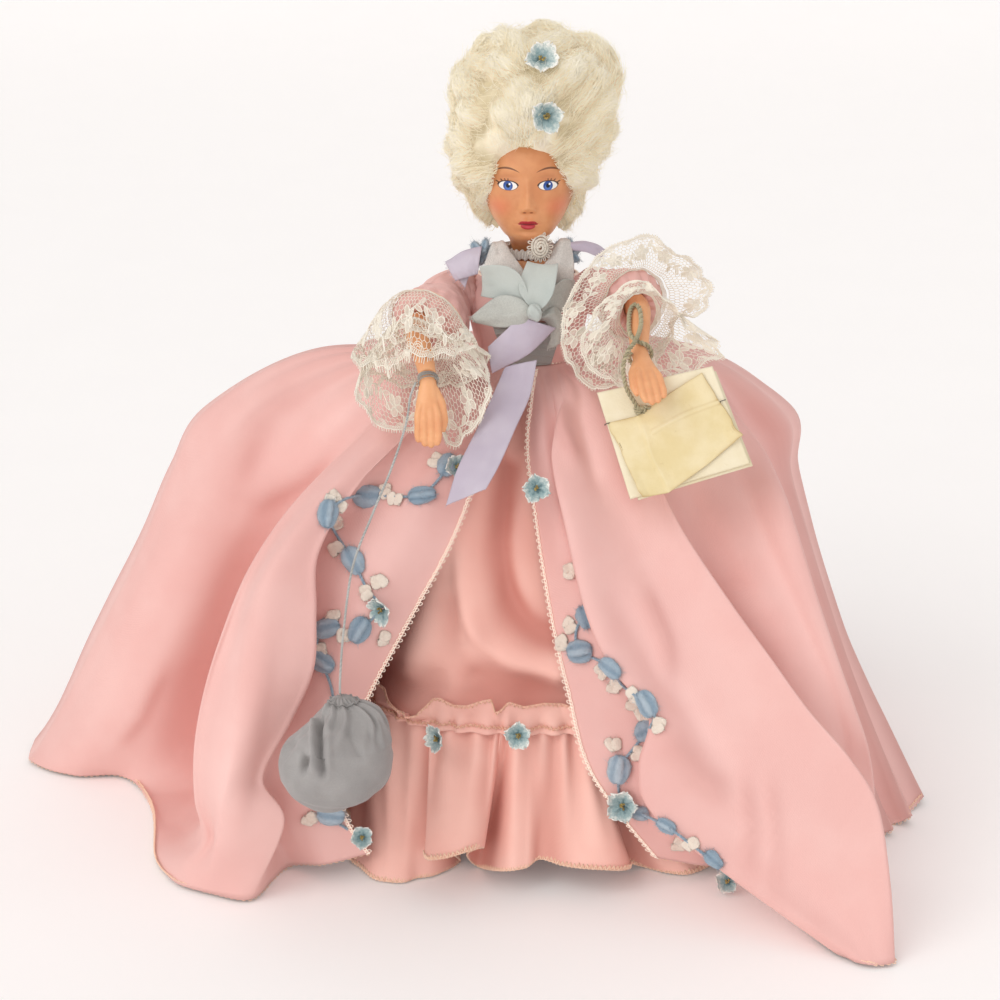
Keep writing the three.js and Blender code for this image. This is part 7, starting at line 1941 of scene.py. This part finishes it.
rc = curve([[-27.3, -39.2, 123.6], [-28.6, -41.6, 120.6], [-29.6, -44.8, 114.6], [-33, -49.5, 105], [-37.5, -55, 95], [-42, -61, 84], [-44, -68, 70], [-44.6, -73.2, 60.6], [-44.6, -75.0, 57.2]], 0.25)
rc = A([forward(p, 0.9) for p in rc])
for _ in range(20):
    rc[1:-1] = (rc[:-2] + rc[1:-1] * 2 + rc[2:]) / 4
cord_o = twisted(Build(), rc, 0.34, 2, 1.15).make("reticule_cord_laid", silver_cord, "reticule", ["reticule_cord"], "cord")
world(rc[:1])[0]
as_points(world(rc[::2] if len(rc) % 2 else np.concatenate([rc[::2], rc[-1:]])))
print("reticule cord", length(rc))

# two turns of the same cord round the wrist
wc = A([-24.5, -38, 125])
ax = unit(A([-24.3, -41, 120]) - A([-25.6, -31.5, 127.4]))
S = unit(np.cross(ax, A([0, 0, 1.0])))
U = np.cross(S, ax)
q = np.linspace(0, 4, 320)
wp = wc + ax * (0.2 + 0.52 * q + 0.18 * np.sin(5 * q))[:, None] + (2.34 + 0.07 * np.sin(9 * q))[:, None] * (np.cos(2 * np.pi * q)[:, None] * S + np.sin(2 * np.pi * q)[:, None] * U)
b = twisted(Build(), wp, 0.2, 2, 0.8)
kn = wc + ax * 1.2 + 2.6 * (-S * 0.8 + U * 0.2)
for k in range(4):
    w = k / 4 * 2 * np.pi
    b.tube(curve([kn + A([-0.5, -0.2, 0.3 - 0.2 * k]), kn + A([0.1 * k, -0.7, 0.2]), kn + A([0.45, -0.2, -0.3 + 0.15 * k])], 0.15), 0.2, 6, tone=0.4 + 0.1 * k)
b.make("right_wrist_turns", thread("wrist_cord", "b3b0a9", "5d5852", 0.65), "right_arm", ["right_wrist_cord"], "cord")

# =================================================================================================
# card tag
# =================================================================================================
TL, TR, BR, BL = A([16.7, -43.6, 122.3]), A([44.6, -41.6, 128.5]), A([53.4, -52, 107.1]), A([24.5, -56, 99.4])


def on_card(u, v, lift):
    u, v = np.broadcast_arrays(A(u), A(v))
    p = TL * ((1 - u) * (1 - v))[..., None] + TR * (u * (1 - v))[..., None] + BR * (u * v)[..., None] + BL * ((1 - u) * v)[..., None]
    n = unit(np.cross(BL - TL, TR - TL))
    if n[1] > 0:
        n = -n
    warp = 0.5 * np.sin(np.pi * u) * (v - 0.3) + 0.3 * (u - 0.5) * (v - 0.5)
    return p + n * (warp + lift)[..., None], n


def paper(name, light, dark, stain, rough=0.75):
    m = Mat(name, rough, **{"Specular_IOR_Level": 0.25})
    slow, fib, spot = m.noise(0.11, 4.0, 0.6), m.noise(2.2, 4.0, 0.7), m.noise(0.6, 3.0, 0.7)
    c = m.mix(m.ramp(slow, 0.32, 0.68), lin(light), lin(dark))
    c = m.mix(m.ramp(spot, 0.62, 0.8, 0.0, 0.35), c, lin(stain))
    # Low tone takes the stain colour; high tone a paler cream, which the label's creases use as painted highlight.
    t = m.tone()
    c = m.mix(m.ramp(t, 0.5, 0.0), c, lin(stain))
    c = m.mix(m.ramp(t, 0.55, 1.0, 0.0, 0.6), c, lin("fffbe9"))
    m.colour(c).rough(m.ramp(fib, 0.3, 0.7, rough - 0.1, rough + 0.12)).bump(fib, 0.35, 0.0001).bump(spot, 0.25, 0.0003)
    return m.m


card_m = paper("tag_card_stock", "f1e6cb", "eaddbd", "cdb98e")
label_m = paper("aged_paper", "ecdcb4", "e3d09f", "c2a46e")
u, v = np.meshgrid(np.linspace(0, 1, 60), np.linspace(0, 1, 50))
G, cn = on_card(u, v, -0.28 + 0.05 * noise2(u * 5, v * 5, 611))
edge_d = np.minimum(np.minimum(u, 1 - u) * 29, np.minimum(v, 1 - v) * 24)
b = Build().sheet(G, 0.5, tone=np.clip(0.38 + 0.14 * smooth(0, 0.8, edge_d), 0, 1))
G2, _ = on_card(0.06 + 0.955 * u, 0.05 + 0.975 * v, -0.95 - 0.5 * (1 - v) * 0)
b.sheet(G2, 0.45, tone=0.42)
card_o = b.make("tag_card_layers", card_m, "tag", ["tag_card"], "card")
u, v = np.meshgrid(np.linspace(0, 1, 110), np.linspace(0, 1, 90))
gu, gv = np.meshgrid(np.linspace(-0.05, 1.05, 221), np.linspace(-0.05, 1.05, 221))
gp = np.stack(seen(on_card(gu, gv, 0.3 + 0 * gu)[0].reshape(-1, 3)), -1)


def on_card_uv(px, py):
    """Card coordinates of a picture place."""
    i = int(np.argmin((gp[:, 0] - px) ** 2 + (gp[:, 1] - py) ** 2))
    return gu.ravel()[i], gv.ravel()[i]


head_edge_uv, foot_edge_uv = A([on_card_uv(*c) for c in ((607, 423), (637, 416), (669, 394), (702, 373))]), A([on_card_uv(*c) for c in ((642, 498), (669, 494), (706, 466), (742, 436))])
ku = A([0.0, 0.3, 0.62, 1.0])
hu, hv = [np.interp(u, ku, head_edge_uv[:, k]) for k in (0, 1)]
lu, lv = [np.interp(u, ku, foot_edge_uv[:, k]) for k in (0, 1)]
uu, vv = hu * (1 - v) + lu * v, hv * (1 - v) + lv * v
uu = uu + 0.012 * noise2(v * 9, 0 * v, 612) * (u < 0.02) + 0.014 * noise2(v * 7 + 3, 0 * v, 613) * (u > 0.98)
curl = 0.9 * smooth(0.86, 1, u) * smooth(0.5, 1, v) + 0.5 * smooth(0.1, 0, u) * smooth(0.4, 1, v) + 0.35 * smooth(0.9, 1, v) + 0.25 * smooth(0.1, 0, v) * smooth(0.5, 1, u)
line1 = np.abs(v - (0.16 + 0.28 * u) - 0.02 * np.sin(7 * u)) + 3 * np.maximum(0, 0.36 - u)
line2 = np.abs(u - 0.30 - 0.012 * np.sin(9 * v))
fold_ = 0.28 * np.exp(-(line1 / 0.035) ** 2) + 0.22 * np.exp(-(line2 / 0.03) ** 2)
cock = 0.12 * noise2(u * 4, v * 4, 614) + 0.06 * noise2(u * 13, v * 13, 615)
G, _ = on_card(uu, vv, 0.30 + curl + fold_ + np.maximum(cock, -0.1))
ed = np.minimum(np.minimum(u, 1 - u) * 23, np.minimum(v, 1 - v) * 19)
# Darker at the aged edges; paler along both creases and darker in a band beside the first: painted highlight and shade
# of the folds.
tone = 0.52 - 0.3 * np.exp(-(ed / 0.5)) + 0.16 * np.exp(-(line1 / 0.012) ** 2) + 0.14 * np.exp(-(line2 / 0.012) ** 2) - 0.16 * np.exp(-((line1 - 0.03) / 0.02) ** 2) + 0.1 * noise2(u * 6, v * 6, 616)
label_o = Build().sheet(G, 0.14, tone=np.clip(tone, 0, 1)).make("tag_label_paper", label_m, "tag", ["tag_label"], "aged_paper")
print("label area", grid_area(G))


def card_at(px, py, lift):
    """Point in front of the card at a picture place."""
    d = ray(px, py)
    _, n = on_card(0.5, 0.5, 0.0)
    t = ((TL + BR) / 2 - CAM_AT) @ n / (d @ n)
    return CAM_AT + d * t + n * lift


b = Build()
for x0, y0, x1, y1 in ((605, 425, 609.5, 423.5), (720.5, 402, 725, 400.5)):
    p, q = card_at(x0, y0, 0.95), card_at(x1, y1, 0.95)
    b.tube(curve([p - cn * 1.6, p - cn * 0.15, p, p * 0.8 + q * 0.2 + cn * 0.06, p * 0.2 + q * 0.8 + cn * 0.06, q, q - cn * 0.15, q - cn * 1.6], 0.1), 0.15, 8, flat=0.7)
dark = Mat("staple_steel", 0.4, Metallic=0.9)
dn = dark.noise(2.0, 4.0, 0.7)
dark.colour(dark.mix(dark.ramp(dn, 0.35, 0.7), lin("5e564c"), lin("9a958d"))).rough(dark.ramp(dn, 0.3, 0.7, 0.3, 0.55)).bump(dn, 0.2, 0.0001)
b.make("tag_staples", dark.m, "tag", (), "steel")

# the tag's cord: a turn round the wrist, a loop up the arm and down to the card
tag_thread = thread("tag_cord_yarn", "c6bb9b", "756d4d", 0.85)
lw = A([27.3, -36, 129.9])
ax = unit(A([28.2, -42.2, 128]) - A([27.4, -30, 132]))
S = unit(np.cross(ax, A([0, 0, 1.0])))
U = np.cross(S, ax)
if U[2] < 0:
    U = -U
if S[0] > 0:
    S = -S  # towards the doll's middle
arm_line = spline(A(LEFT_ARM), np.linspace(0, len(LEFT_ARM) - 1, 300))


def on_arm(px, py, lift):
    """First point near the left arm's skin along the line of sight."""
    P = CAM_AT + ray(px, py) * np.linspace(470, 560, 1800)[:, None]
    gap = (np.linalg.norm(P[:, None] - arm_line[None, :, :3], axis=-1) - arm_line[None, :, 3]).min(1)
    k = np.nonzero(gap < lift)[0]
    return P[k[0] if len(k) else int(np.argmin(gap))]


q = np.linspace(0, 1, 60)
w = 0.6 - 5.466 * q
turn = lw + ax * (1.6 - 2.3 * q)[:, None] + 2.95 * (np.cos(w)[:, None] * S + np.sin(w)[:, None] * U)
loop = [on_arm(630, 334, 0.75), on_arm(629, 320, 0.75), on_arm(630.5, 309, 0.75), on_arm(635, 303.5, 0.75), on_arm(639.8, 309, 0.75), on_arm(641, 325, 0.85), on_arm(635.5, 341, 2.0), at(628, 351, -41.6), at(623, 366, -43.2), at(626, 387, -45.6), at(633, 400, -46.6), card_at(640, 412, 1.4)]
tcp = even(np.concatenate([turn, spline(np.concatenate([turn[-1:], A(loop)]), np.linspace(0.25, len(loop), 220))]), step=0.25)
for _ in range(30):
    tcp[1:-1] = (tcp[:-2] + tcp[1:-1] * 2 + tcp[2:]) / 4
knot = Build()
kc = card_at(640, 411, 1.2)
for k in range(3):
    w = np.linspace(0, 2 * np.pi, 30, endpoint=False)
    d1 = unit(A([1.0, 0, 0.35 * (k - 1)]))
    d2 = np.cross(cn, d1)
    twisted(knot, even(kc + 0.95 * np.cos(w)[:, None] * d1 * (1.25 - 0.2 * k) + 0.55 * np.sin(w)[:, None] * cn + 0.55 * np.sin(w + k)[:, None] * d2, n=40), 0.5, 2, 1.6, 0.3)
twisted(knot, curve([kc, kc + A([0.9, -0.2, 0.9]), card_at(647, 408, 1.1), card_at(650, 409, 1.0)], 0.2), 0.5, 2, 1.6, 0.25)
knot_o = knot.make("tag_cord_knot", tag_thread, "tag", (), "cord")
tc_o = twisted(Build(), tcp, 0.62, 2, 2.1).make("tag_cord_laid", tag_thread)  # one piece, attached to neither the arm nor the card
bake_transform(tc_o)
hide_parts("tag_cord")
world(tcp[:1])[0]
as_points(world(np.concatenate([tcp[::2], tcp[-1:]]) if len(tcp) % 2 == 0 else tcp[::2]))
print("tag cord", length(tcp))
